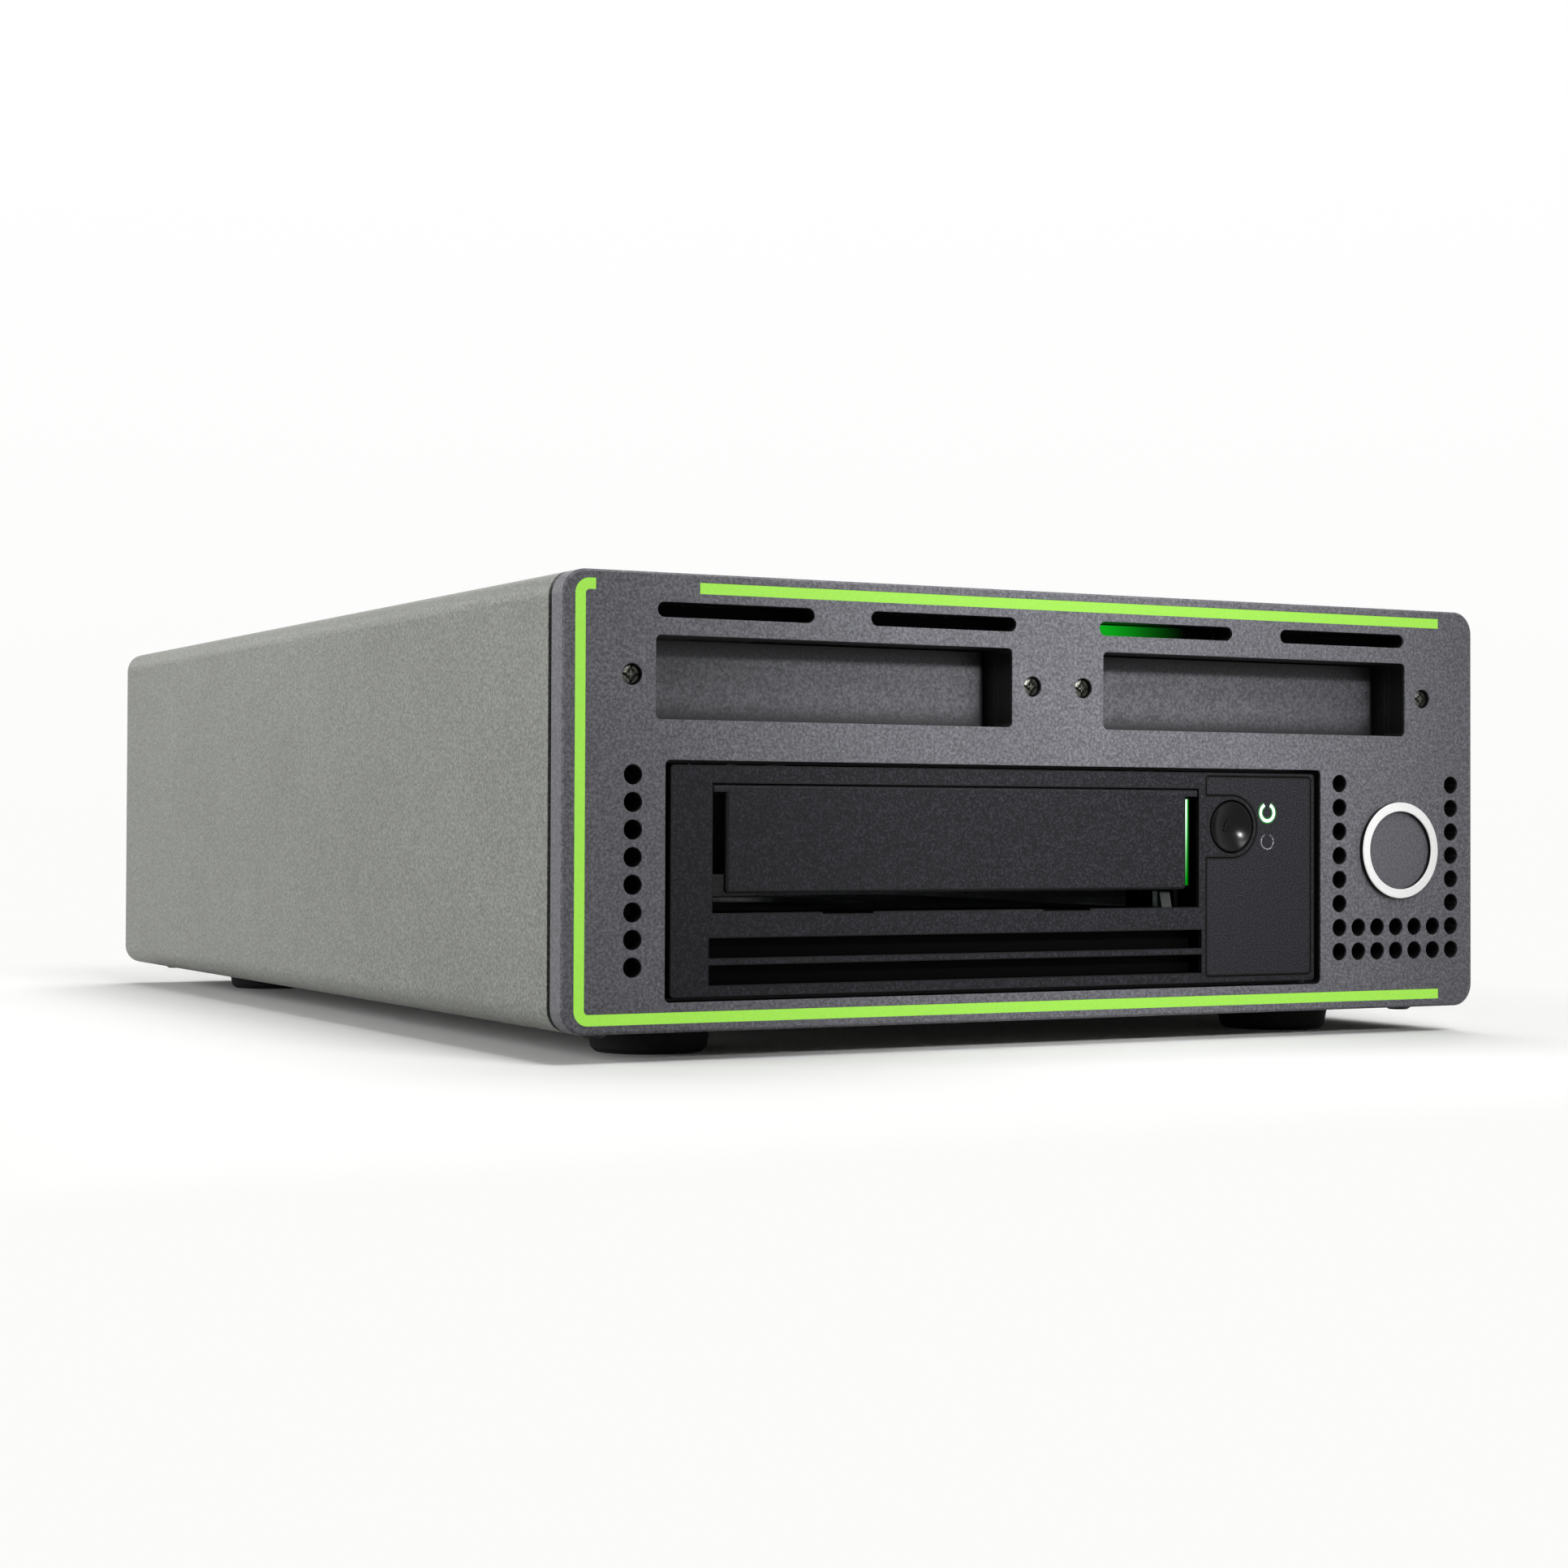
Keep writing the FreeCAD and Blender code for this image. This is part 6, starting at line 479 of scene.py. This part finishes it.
def badge_lacquer(rim, centre, middle, inner, ease):
    """Satin white lacquer, sprayed on the face of the badge's rim. The rim's walls are painted near black as
    painted shade. The sunk middle, within the inner radius, has the plate's own grey. All have a sprayed
    film's faint clouds."""
    made, tree, place, shader = material("badge_lacquer")
    flat = add(tree, "ShaderNodeVectorMath", {0: place, 1: (1, 0, 1)}, operation="MULTIPLY").outputs[0]
    reach = add(tree, "ShaderNodeVectorMath", {0: flat, 1: (middle.x, 0, middle.z)},
                operation="DISTANCE").outputs["Value"]
    inside = reached(tree, reach, inner, inner - BLEND)
    sloped = BADGE_LOW.y + ease
    face = span(tree, place, "Y", sloped + BLEND, sloped + 0.2 * BLEND)
    film = noise(tree, place, 0.5 * MM)
    white = ramp(tree, film, (0.3, opaque(rim, 0.94)), (0.7, opaque(rim)))
    grey = ramp(tree, film, (0.3, opaque(centre, 0.7)), (0.7, opaque(centre, 1.3)))
    # Painted shade: near black on the rim's walls
    shaded_walls = mix(tree, inside, opaque(linear("#030303")), grey)
    fill(tree, shader, {"Base Color": mix(tree, face, shaded_walls, white), "Roughness": 0.4,
                        "Specular IOR Level": 0.25})
    bumped(tree, shader, film, 0.15, 0.03 * MM)
    return made


def dress(made, *nodes):
    """Put a material on CAD nodes, through their material slots."""
    for name in nodes:
        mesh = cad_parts[name].data
        if mesh.materials:
            for i in range(len(mesh.materials)):
                mesh.materials[i] = made
        else:
            mesh.materials.append(made)


# ---------------------------------------------------------------------------------------------
# Pieces
# ---------------------------------------------------------------------------------------------
def seat(bm, name, made, body, smooth=30.0):
    """Make a bmesh a piece that rides on a body."""
    bmesh.ops.remove_doubles(bm, verts=bm.verts, dist=WELD)
    bmesh.ops.recalc_face_normals(bm, faces=bm.faces)
    mesh = bpy.data.meshes.new(name)
    bm.to_mesh(mesh)
    bm.free()
    mesh.shade_smooth()
    mesh.set_sharp_from_angle(angle=math.radians(smooth))
    mesh.materials.append(made)
    piece = bpy.data.objects.new(name, mesh)
    bpy.context.scene.collection.objects.link(piece)
    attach(piece, body)
    return piece


def extruded(bm, faces, depth):
    """Give flat faces a thickness to the rear."""
    grown = bmesh.ops.extrude_face_region(bm, geom=faces)
    moved = [v for v in grown["geom"] if isinstance(v, bmesh.types.BMVert)]
    bmesh.ops.translate(bm, verts=moved, vec=(0, depth, 0))


def turned(bm, middle, profile, steps):
    """Turn a solid from a profile of (radius, y) points, as on a lathe, round the Y axis of a middle."""
    points = [bm.verts.new((middle.x + radius, y, middle.z)) for radius, y in profile]
    lines = [bm.edges.new(pair) for pair in zip(points, points[1:])]
    bmesh.ops.spin(bm, geom=points + lines, cent=middle, axis=(0, 1, 0), angle=2 * math.pi, steps=steps,
                   use_merge=True, use_duplicate=False)
    bmesh.ops.remove_doubles(bm, verts=bm.verts, dist=WELD)
    bmesh.ops.delete(bm, geom=[e for e in bm.edges if not e.link_faces], context="EDGES")


def plate(bm, corners, y):
    """A flat face through (x, z) corners at one depth."""
    return bm.faces.new([bm.verts.new((x, y, z)) for x, z in corners])


class TAPEDRIVE_OT_painted_line(bpy.types.Operator):
    """Fill the groove round the front plate with the painted line"""

    bl_idname = "tape_drive.painted_line"
    bl_label = "Painted Line"

    def execute(self, context):
        size = context.scene.tape_drive_sizes
        width = size.line_width
        face = PLATE_LOW.y + size.line_sunk
        left, right = PLATE_LOW.x + size.line_side, PLATE_HIGH.x - size.line_stop
        low, high = PLATE_LOW.z + size.line_edge, PLATE_HIGH.z - size.line_edge
        hook, start = PLATE_LOW.x + size.line_hook, PLATE_LOW.x + size.line_start
        bm = bmesh.new()
        hooked = plate(bm, (
            (hook, high), (left, high), (left, low), (right, low), (right, low + width),
            (left + width, low + width), (left + width, high - width), (hook, high - width),
        ), face)
        outer, inner = list(hooked.verts)[1:3], list(hooked.verts)[5:7]
        for corners, radius in ((outer, size.line_round), (inner, size.line_round - width)):
            bmesh.ops.bevel(bm, geom=corners, offset=radius, offset_type="OFFSET", affect="VERTICES",
                            segments=8, profile=0.5, material=-1)
        plate(bm, ((start, high), (start, high - width), (right, high - width), (right, high)), face)
        extruded(bm, list(bm.faces), size.line_thick)
        # The line glows as painted light, though it is no lamp
        lime = glowing_enamel("lime_screen_enamel", context.scene.tape_drive_colours.line, glow=0.9)
        seat(bm, "painted_line", lime, SHELL)
        return {"FINISHED"}


class TAPEDRIVE_OT_enclosure(bpy.types.Operator):
    """Coat the plate, the blanks and the sleeve, and finish the frame and the chassis"""

    bl_idname = "tape_drive.enclosure"
    bl_label = "Enclosure"

    def execute(self, context):
        colours, size = context.scene.tape_drive_colours, context.scene.tape_drive_sizes
        rim = Vector((size.hole_shade_margin, 0, size.hole_shade_margin))
        low, high, reach = PLATE_LOW + rim, PLATE_HIGH - rim, size.hole_shade_depth
        # Spans of the plate's hole walls, which are given painted shade
        holes = (("Y", low.y + reach, low.y + 1.5 * reach),
                 ("X", low.x, low.x + BLEND), ("X", high.x, high.x - BLEND),
                 ("Z", low.z, low.z + BLEND), ("Z", high.z, high.z - BLEND))
        dress(powder_coat("mica_powder_coat", colours.coat, size.grain, size.flake, holes), "front_faceplate")
        # The blanks are drawn a quarter darker than the plate
        thin = opaque(colours.coat, 0.75)
        # The blanks get painted shade near their window walls
        dress(powder_coat("blank_powder_coat", thin, size.grain, size.flake, sunk=size.window_shade),
              "media_blank_left", "media_blank_right")
        dress(powder_coat("sleeve_powder_coat", colours.sleeve, size.grain, size.flake), "case_sleeve")
        dress(powder_coat("black_powder_coat", linear("#19191b"), size.grain, size.flake),
              "front_frame", "media_cages")
        dress(powder_coat("rear_powder_coat", linear("#2c2c2f"), size.grain, size.flake), "rear_panel")
        dress(spangled_zinc(), "chassis_floor", "upper_deck", "drive_rails", "port_bracket")
        dress(vulcanised_rubber(), "rubber_feet")
        return {"FINISHED"}


class TAPEDRIVE_OT_bezel(bpy.types.Operator):
    """Finish the bezel, the door and the insert"""

    bl_idname = "tape_drive.bezel"
    bl_label = "Bezel"

    def execute(self, context):
        colours, size = context.scene.tape_drive_colours, context.scene.tape_drive_sizes
        # The bezel's hollows and edges get painted shade
        dress(moulded_plastic("textured_abs", colours.bezel, size.bezel_grit, 0.5, 0.5,
                              BEZEL_LOW.y + size.bezel_shade_depth, size.bezel_seam),
              "drive_bezel", "bay_door", "entry_guide")
        dress(moulded_plastic("fine_textured_abs", colours.insert, size.insert_grit, 0.45, 0.3,
                              seam=size.insert_seam), "bezel_insert")
        return {"FINISHED"}


class TAPEDRIVE_OT_eject_button(bpy.types.Operator):
    """Make the eject button with a polished dish for the finger, and raise its mark in the dish"""

    bl_idname = "tape_drive.eject_button"
    bl_label = "Eject Button"

    def execute(self, context):
        size = context.scene.tape_drive_sizes
        gloss = polished_plastic("polished_black_abs", linear("#050506"))
        middle = (BUTTON_LOW + BUTTON_HIGH) / 2
        front, rear = BUTTON_LOW.y, BUTTON_HIGH.y
        radius, lip, stem, pocket = size.button_radius, size.button_lip, size.button_stem, size.pocket_radius
        flange = (BUTTON_HIGH.x - BUTTON_LOW.x) / 2
        seat_y = front + size.button_seat
        back = seat_y + size.button_flange
        floor = back - size.pocket_deep
        steps = 12
        dish = [((radius - lip) * i / steps, front + size.button_dish * (1 - (i / steps) ** 2))
                for i in range(steps + 1)]
        bm = bmesh.new()
        turned(bm, middle, dish + [
            (radius - 0.3 * lip, front + 0.125 * lip), (radius, front + 0.75 * lip), (radius, seat_y),
            (flange, seat_y), (flange, back), (pocket, back), (pocket, floor), (stem, floor), (stem, rear),
            (0.0, rear)], FACETS)
        piece = seat(bm, "dished_eject_button", gloss, "eject_button")
        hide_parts("eject_button")

        half, bar = size.mark_half, size.mark_bar
        face = front + size.button_dish - size.mark_proud
        upright = Matrix.Rotation(math.radians(90), 4, "X")
        bm = bmesh.new()
        bmesh.ops.create_circle(bm, cap_ends=True, radius=half, segments=3, matrix=Matrix.Translation(
            (middle.x, face, middle.z + size.mark_lift)) @ upright)
        left, right, low = middle.x - half, middle.x + half, middle.z - 2 * bar
        plate(bm, ((left, low), (right, low), (right, low + bar), (left, low + bar)), face)
        extruded(bm, list(bm.faces), size.mark_thick)
        edges = [e for e in bm.edges if all(v.co.y < face + TINY for v in e.verts)]
        bmesh.ops.bevel(bm, geom=edges, offset=size.mark_ease, affect="EDGES", segments=2, profile=0.5,
                        material=-1)
        seat(bm, "eject_mark", gloss, "eject_button")
        return {"FINISHED"}


class TAPEDRIVE_OT_status_marks(bpy.types.Operator):
    """Set the two status marks, open rings, into the insert: the upper is lit and the lower dark"""

    bl_idname = "tape_drive.status_marks"
    bl_label = "Status Marks"

    def execute(self, context):
        colours, size = context.scene.tape_drive_colours, context.scene.tape_drive_sizes
        lamp, glow = colours.lamp, colours.glow
        lit = status_film("lit_status_film", opaque(lamp, 0.8), opaque(lamp), 0.8 * MM, 0.9)
        bleed = status_film("status_bleed_film", opaque(glow, 0.1), opaque(glow, 0.16), 0.6 * MM, 1.0)
        dark = moulded_plastic("unlit_status_film", linear("#626266"), size.insert_grit, 0.45, 0.2)
        line, spread, proud = size.lit_line, size.lit_spread, size.lamp_proud
        gap = math.radians(50)
        for name, made, row, radius, width, rise in (
            ("status_mark_lit", lit, 0, size.lit_radius, line, proud),
            ("status_mark_bleed", bleed, 0, size.lit_radius + spread, line + 2 * spread, 0.6 * proud),
            ("status_mark_dark", dark, 1, size.dark_radius, size.dark_line, proud),
        ):
            middle = Vector((INSERT_LOW.x + size.lamp_in, INSERT_LOW.y,
                             INSERT_HIGH.z - size.lamp_drop - row * size.lamp_pitch))
            outward = Vector((math.sin(gap / 2), 0, math.cos(gap / 2)))
            bm = bmesh.new()
            section = [bm.verts.new(middle + outward * reach + Vector((0, depth, 0)))
                       for reach, depth in ((radius, proud), (radius, -rise), (radius - width, -rise),
                                            (radius - width, proud))]
            start = bm.faces.new(section)
            bmesh.ops.spin(bm, geom=[start] + list(start.edges) + section, cent=middle, axis=(0, 1, 0),
                           angle=2 * math.pi - gap, steps=40, use_merge=False, use_duplicate=False)
            seat(bm, name, made, SHELL)
        return {"FINISHED"}


class TAPEDRIVE_OT_lights_in_front(bpy.types.Operator):
    """Light the slot above the right bay and the strip in the bay's wall"""

    bl_idname = "tape_drive.lights_in_front"
    bl_label = "Lights in Front"

    def execute(self, context):
        colours, size = context.scene.tape_drive_colours, context.scene.tape_drive_sizes
        start = size.slot_start
        gate = start - 1.0 * MM
        along = (("X", gate, gate + BLEND), ("X", start + size.slot_lit, start))
        dress(lit_acrylic("light_guide_acrylic", colours.glow, colours.glow, along, 1.1), "slot_light_guides")
        middle = (PIPES_LOW.x + PIPES_HIGH.x) / 2
        front = BEZEL_LOW.y + size.strip_deep
        upward = (("X", middle, middle - BLEND), ("Y", front - BLEND, front + size.strip_soak),
                  ("Z", PIPES_LOW.z - size.strip_fade, PIPES_HIGH.z - size.strip_full))
        dress(lit_acrylic("light_strip_acrylic", colours.glow, colours.lamp, upward, 1.6), "light_pipes")
        dress(tinted_acrylic(), "sensor_prism")
        return {"FINISHED"}


class TAPEDRIVE_OT_badge(bpy.types.Operator):
    """Make the blank round badge: a pale rim that stands off the plate round a low middle"""

    bl_idname = "tape_drive.badge"
    bl_label = "Badge"

    def execute(self, context):
        colours, size = context.scene.tape_drive_colours, context.scene.tape_drive_sizes
        middle = (BADGE_LOW + BADGE_HIGH) / 2
        radius, ease = (BADGE_HIGH.x - BADGE_LOW.x) / 2, size.badge_ease
        inner = radius - size.badge_rim
        front, rear = BADGE_LOW.y, BADGE_HIGH.y
        floor = rear - size.badge_floor
        bm = bmesh.new()
        turned(bm, middle, (
            (0.0, rear), (0.0, floor), (inner, floor), (inner, front + ease), (inner + ease, front),
            (radius - ease, front), (radius, front + ease), (radius, rear), (0.0, rear)), FACETS)
        lacquer = badge_lacquer(colours.badge, colours.coat, middle, inner, ease)
        piece = seat(bm, "badge_ring", lacquer, SHELL)
        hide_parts("round_badge")
        return {"FINISHED"}


class TAPEDRIVE_OT_bay_screws(bpy.types.Operator):
    """Put a crossed pan head on each of the four bay screws"""

    bl_idname = "tape_drive.bay_screws"
    bl_label = "Bay Screws"

    def execute(self, context):
        size = context.scene.tape_drive_sizes
        steel = rolled_metal("nickel_plated_screw", "#2e2f2c", "#62635c", 0.4, 0.25 * MM)
        radius = (SCREWS_HIGH.z - SCREWS_LOW.z) / 2
        level = (SCREWS_HIGH.z + SCREWS_LOW.z) / 2
        outer, tip = SCREWS_HIGH.x - radius, SCREWS_HIGH.y
        front, shank, crown = SCREWS_LOW.y, size.screw_shank, size.screw_crown
        under = front + size.screw_head
        places = (-outer, -size.screw_inner, size.screw_inner, outer)
        bm = bmesh.new()
        for x in places:
            turned(bm, Vector((x, front, level)), (
                (0.0, tip), (shank, tip), (shank, under), (radius, under), (radius, front + crown),
                (radius * 0.9, front + crown / 3), (radius * 0.7, front), (0.0, front)), 24)

        def on_top(face, x):
            """Whether a face is part of the flat top of the screw at x."""
            spot = face.calc_center_median()
            return spot.y < front + TINY and abs(spot.x - x) < radius

        half = size.screw_cross / 2
        for x in places:
            for where, normal in (((x - half, 0, 0), (1, 0, 0)), ((x + half, 0, 0), (1, 0, 0)),
                                  ((0, 0, level - half), (0, 0, 1)), ((0, 0, level + half), (0, 0, 1))):
                top = [f for f in bm.faces if on_top(f, x)]
                geom = top + list({e for f in top for e in f.edges}) + list({v for f in top for v in f.verts})
                bmesh.ops.bisect_plane(bm, geom=geom, plane_co=where, plane_no=normal, dist=0.1 * WELD)
            cross = []
            for face in bm.faces:
                spot = face.calc_center_median()
                if on_top(face, x) and min(abs(spot.x - x), abs(spot.z - level)) < half:
                    cross.append(face)
            extruded(bm, cross, size.screw_recess)
        piece = seat(bm, "crossed_bay_screws", steel, SHELL)
        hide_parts("bay_screws")
        return {"FINISHED"}


class TAPEDRIVE_OT_rear_fittings(bpy.types.Operator):
    """Finish the fan, the inlet, the switch, the ports and the screws"""

    bl_idname = "tape_drive.rear_fittings"
    bl_label = "Rear Fittings"

    def execute(self, context):
        dress(moulded_plastic("glass_filled_nylon", linear("#17171a"), 0.5 * MM, 0.5, 0.35),
              "fan_frame", "fan_rotor", "mains_inlet", "power_switch")
        dress(polished_plastic("rocker_nylon", linear("#0c0c0e")), "power_rocker")
        dress(rolled_metal("nickel_brass_blade", "#b9b7ae", "#dcdad2", 0.25, 0.8 * MM, (1, 0.1, 1)),
              "inlet_blades")
        dress(rolled_metal("nickel_port_shell", "#a9aaa8", "#cfd0ce", 0.28, 0.6 * MM, (0.15, 1, 1)),
              "data_ports")
        dress(rolled_metal("black_oxide_screw", "#1d1d1f", "#3a3a3d", 0.4, 0.5 * MM),
              "rear_screws", "underside_screws", "plate_screws")
        return {"FINISHED"}


class TAPEDRIVE_OT_mechanism(bpy.types.Operator):
    """Finish what works inside: the casting, the tray, gears, reels, head, boards and supply"""

    bl_idname = "tape_drive.mechanism"
    bl_label = "Mechanism"

    def execute(self, context):
        rollers = [f"guide_roller_{i}" for i in (1, 2, 3, 4)]
        dress(rolled_metal("cast_aluminium", "#8d8e8c", "#a9aaa7", 0.5, 0.5 * MM, relief=0.5),
              "drive_base_casting", "head_carriage", "board_heatsink")
        dress(rolled_metal("turned_aluminium", "#a8aaa9", "#cfd1d0", 0.25, 0.3 * MM, (1, 1, 12)), *rollers)
        dress(rolled_metal("rolled_steel_sheet", "#a3a5a6", "#c2c4c5", 0.33, 1.2 * MM, (1, 0.05, 1)),
              "cartridge_tray", "drive_top_cover", "drive_bottom_cover")
        dress(rolled_metal("drawn_steel_can", "#8b8c8e", "#b2b3b5", 0.3, 1.0 * MM, (1, 1, 0.1)),
              "head_motor", "loader_motor", "reel_motors")
        dress(rolled_metal("ground_steel_rod", "#aeb0b1", "#d4d6d7", 0.18, 0.3 * MM, (1, 1, 8)),
              "head_lead_screw", "button_spring", "drive_screws")
        dress(natural_acetal(), "loader_gear", "loader_pinion", "supply_clutch", "takeup_reel", "tray_rack")
        dress(lapped_ferrite(), "tape_head")
        dress(solder_mask(), "drive_circuit_board", "indicator_board", "interface_board", "key_board",
              "power_supply")
        return {"FINISHED"}


# ---------------------------------------------------------------------------------------------
# Stage
# ---------------------------------------------------------------------------------------------
def seen(tree, *more):
    """1 for rays from the camera, off something glossy, or of more kinds if named, and 0 for the rest."""
    rays = add(tree, "ShaderNodeLightPath").outputs
    shown = rays["Is Camera Ray"]
    for kind in ("Is Glossy Ray",) + more:
        shown = add(tree, "ShaderNodeMath", {0: shown, 1: rays[kind]}, operation="MAXIMUM").outputs[0]
    return shown


def white_sweep(begin, end):
    """Matt white background paper. It takes the drive's shadow near the drive, gives way to an even white
    from begin to end metres outside its footprint, and throws little light back on the drive."""
    made, tree, place, shader = material("white_sweep")
    tree.nodes.remove(shader)
    shown = seen(tree)
    pulp = noise(tree, place, 400 * MM)
    paper = mix(tree, pulp, (0.96, 0.96, 0.95, 1), (0.98, 0.98, 0.97, 1))
    tone = mix(tree, shown, (0.25, 0.25, 0.25, 1), paper)
    matt = add(tree, "ShaderNodeBsdfDiffuse", {"Color": tone}).outputs[0]
    lift = add(tree, "ShaderNodeEmission", {"Color": (1, 1, 1, 1), "Strength": 0.003}).outputs[0]
    near = add(tree, "ShaderNodeAddShader", {0: matt, 1: lift}).outputs[0]
    far = add(tree, "ShaderNodeEmission", {"Color": (0.97, 0.97, 0.96, 1), "Strength": 1.0}).outputs[0]
    folded = add(tree, "ShaderNodeVectorMath", {0: place}, operation="ABSOLUTE").outputs[0]
    outside = add(tree, "ShaderNodeVectorMath", {0: folded, 1: (PLATE_HIGH.x, -PLATE_LOW.y, 0)},
                  operation="SUBTRACT").outputs[0]
    sides = add(tree, "ShaderNodeSeparateXYZ", {"Vector": outside}).outputs
    reach = add(tree, "ShaderNodeMath", {0: sides["X"], 1: sides["Y"]}, operation="MAXIMUM").outputs[0]
    share = add(tree, "ShaderNodeMath", {0: reached(tree, reach, begin, end), 1: shown},
                operation="MULTIPLY").outputs[0]
    both = add(tree, "ShaderNodeMixShader", {0: share, 1: near, 2: far}).outputs[0]
    fill(tree, tree.nodes["Material Output"], {"Surface": both})
    return made


def studio_world(level):
    """A sky that lights at a low level, and is white where it is seen, reflected or looked through."""
    world = bpy.data.worlds.new("studio_world")
    world.use_nodes = True
    tree = world.node_tree
    power = between(tree, seen(tree, "Is Transmission Ray"), level, 1.0)
    way = add(tree, "ShaderNodeTexCoord").outputs["Generated"]
    height = add(tree, "ShaderNodeSeparateXYZ", {"Vector": way}).outputs["Z"]
    sky = ramp(tree, height, (0.0, (0.97, 0.97, 0.96, 1)), (0.25, (1, 1, 1, 1)))
    fill(tree, tree.nodes["Background"], {"Color": sky, "Strength": power})
    return world


def hang_lamp(scene, name, kind, place, aim, side, energy):
    """Hang a lamp at a place, aimed at a point. A spot has a soft-edged cone."""
    light = bpy.data.lights.new(name, kind)
    light.energy = energy
    if kind == "AREA":
        light.shape, light.size = "SQUARE", side
    else:
        light.shadow_soft_size, light.spot_size, light.spot_blend = side, math.radians(14.5), 1.0
    hung = bpy.data.objects.new(name, light)
    hung.location = place
    hung.rotation_mode = "QUATERNION"
    hung.rotation_quaternion = (Vector(aim) - Vector(place)).to_track_quat("-Z", "Y")
    scene.collection.objects.link(hung)


def camera_at(place, along, up, lens, shift_y):
    """A camera at a place that looks along one direction with another up."""
    eye = bpy.data.cameras.new("camera")
    eye.sensor_width, eye.lens, eye.shift_y = 36.0, lens, shift_y
    eye.clip_start, eye.clip_end = 0.01, 50.0
    camera = bpy.data.objects.new("camera", eye)
    back = -Vector(along).normalized()
    right = Vector(up).cross(back).normalized()
    turn = Matrix((right, back.cross(right), back)).transposed().to_4x4()
    camera.matrix_world = Matrix.Translation(place) @ turn
    return camera


class TAPEDRIVE_OT_studio(bpy.types.Operator):
    """Set the drive on a white sweep with soft light from the left and in front, and place the camera"""

    bl_idname = "tape_drive.studio"
    bl_label = "Studio"

    def execute(self, context):
        scene = context.scene
        scene.view_settings.view_transform = "Standard"
        bm = bmesh.new()
        bmesh.ops.create_grid(bm, x_segments=8, y_segments=8, size=12.0)
        mesh = bpy.data.meshes.new("floor")
        bm.to_mesh(mesh)
        bm.free()
        mesh.materials.append(white_sweep(begin=0.012, end=0.14))
        floor = bpy.data.objects.new("floor", mesh)
        scene.collection.objects.link(floor)
        scene.world = studio_world(level=0.1)

        for name, kind, place, aim, side, energy in (
            ("window_left", "AREA", (-1.1, 0.1, 0.3), (-0.106, 0.05, 0.05), 0.5, 8.9),
            ("window_rear", "AREA", (-0.7, 1.1, 0.5), (-0.106, 0.1, 0.05), 0.5, 1.5),
            ("soft_front", "AREA", (0.0, -0.9, 0.9), (0.0, -0.148, 0.04), 0.5, 8.1),
            ("soft_top", "AREA", (0.35, 0.55, 1.25), (0.0, 0.0, 0.04), 1.2, 12.0),
            ("front_spot", "SPOT", (0.03, -0.95, 0.36), (0.015, -0.148, 0.066), 0.05, 38.0),
        ):
            hang_lamp(scene, name, kind, place, aim, side, energy)

        camera = camera_at(place=(-0.3048, -0.6072, 0.0433), along=(0.46911, 0.88297, 0.01742),
                           up=(-0.01138, -0.01368, 0.99984), lens=64.01, shift_y=-0.004)
        scene.collection.objects.link(camera)
        scene.camera = camera
        return {"FINISHED"}


OPERATORS = (
    TAPEDRIVE_OT_enclosure,
    TAPEDRIVE_OT_painted_line,
    TAPEDRIVE_OT_bezel,
    TAPEDRIVE_OT_eject_button,
    TAPEDRIVE_OT_status_marks,
    TAPEDRIVE_OT_lights_in_front,
    TAPEDRIVE_OT_badge,
    TAPEDRIVE_OT_bay_screws,
    TAPEDRIVE_OT_rear_fittings,
    TAPEDRIVE_OT_mechanism,
    TAPEDRIVE_OT_studio,
)


class TAPEDRIVE_PT_panel(bpy.types.Panel):
    """Lists the pieces and the settings"""

    bl_label = "Tape Drive"
    bl_space_type = "VIEW_3D"
    bl_region_type = "UI"
    bl_category = "Tape Drive"

    def draw(self, context):
        for kind in OPERATORS:
            self.layout.operator(kind.bl_idname)
        for group in (context.scene.tape_drive_colours, context.scene.tape_drive_sizes):
            for name in group.__annotations__:
                self.layout.prop(group, name)


CLASSES = (TapeDriveColours, TapeDriveSizes) + OPERATORS + (TAPEDRIVE_PT_panel,)


def register():
    """Make the classes and the settings known to Blender."""
    for kind in CLASSES:
        bpy.utils.register_class(kind)
    bpy.types.Scene.tape_drive_colours = bpy.props.PointerProperty(type=TapeDriveColours)
    bpy.types.Scene.tape_drive_sizes = bpy.props.PointerProperty(type=TapeDriveSizes)


def unregister():
    """Take them away again, in the other order."""
    del bpy.types.Scene.tape_drive_sizes
    del bpy.types.Scene.tape_drive_colours
    for kind in reversed(CLASSES):
        bpy.utils.unregister_class(kind)


def main():
    """Register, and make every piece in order."""
    register()
    for kind in OPERATORS:
        group, name = kind.bl_idname.split(".")
        getattr(getattr(bpy.ops, group), name)()


if __name__ == "__main__":
    main()
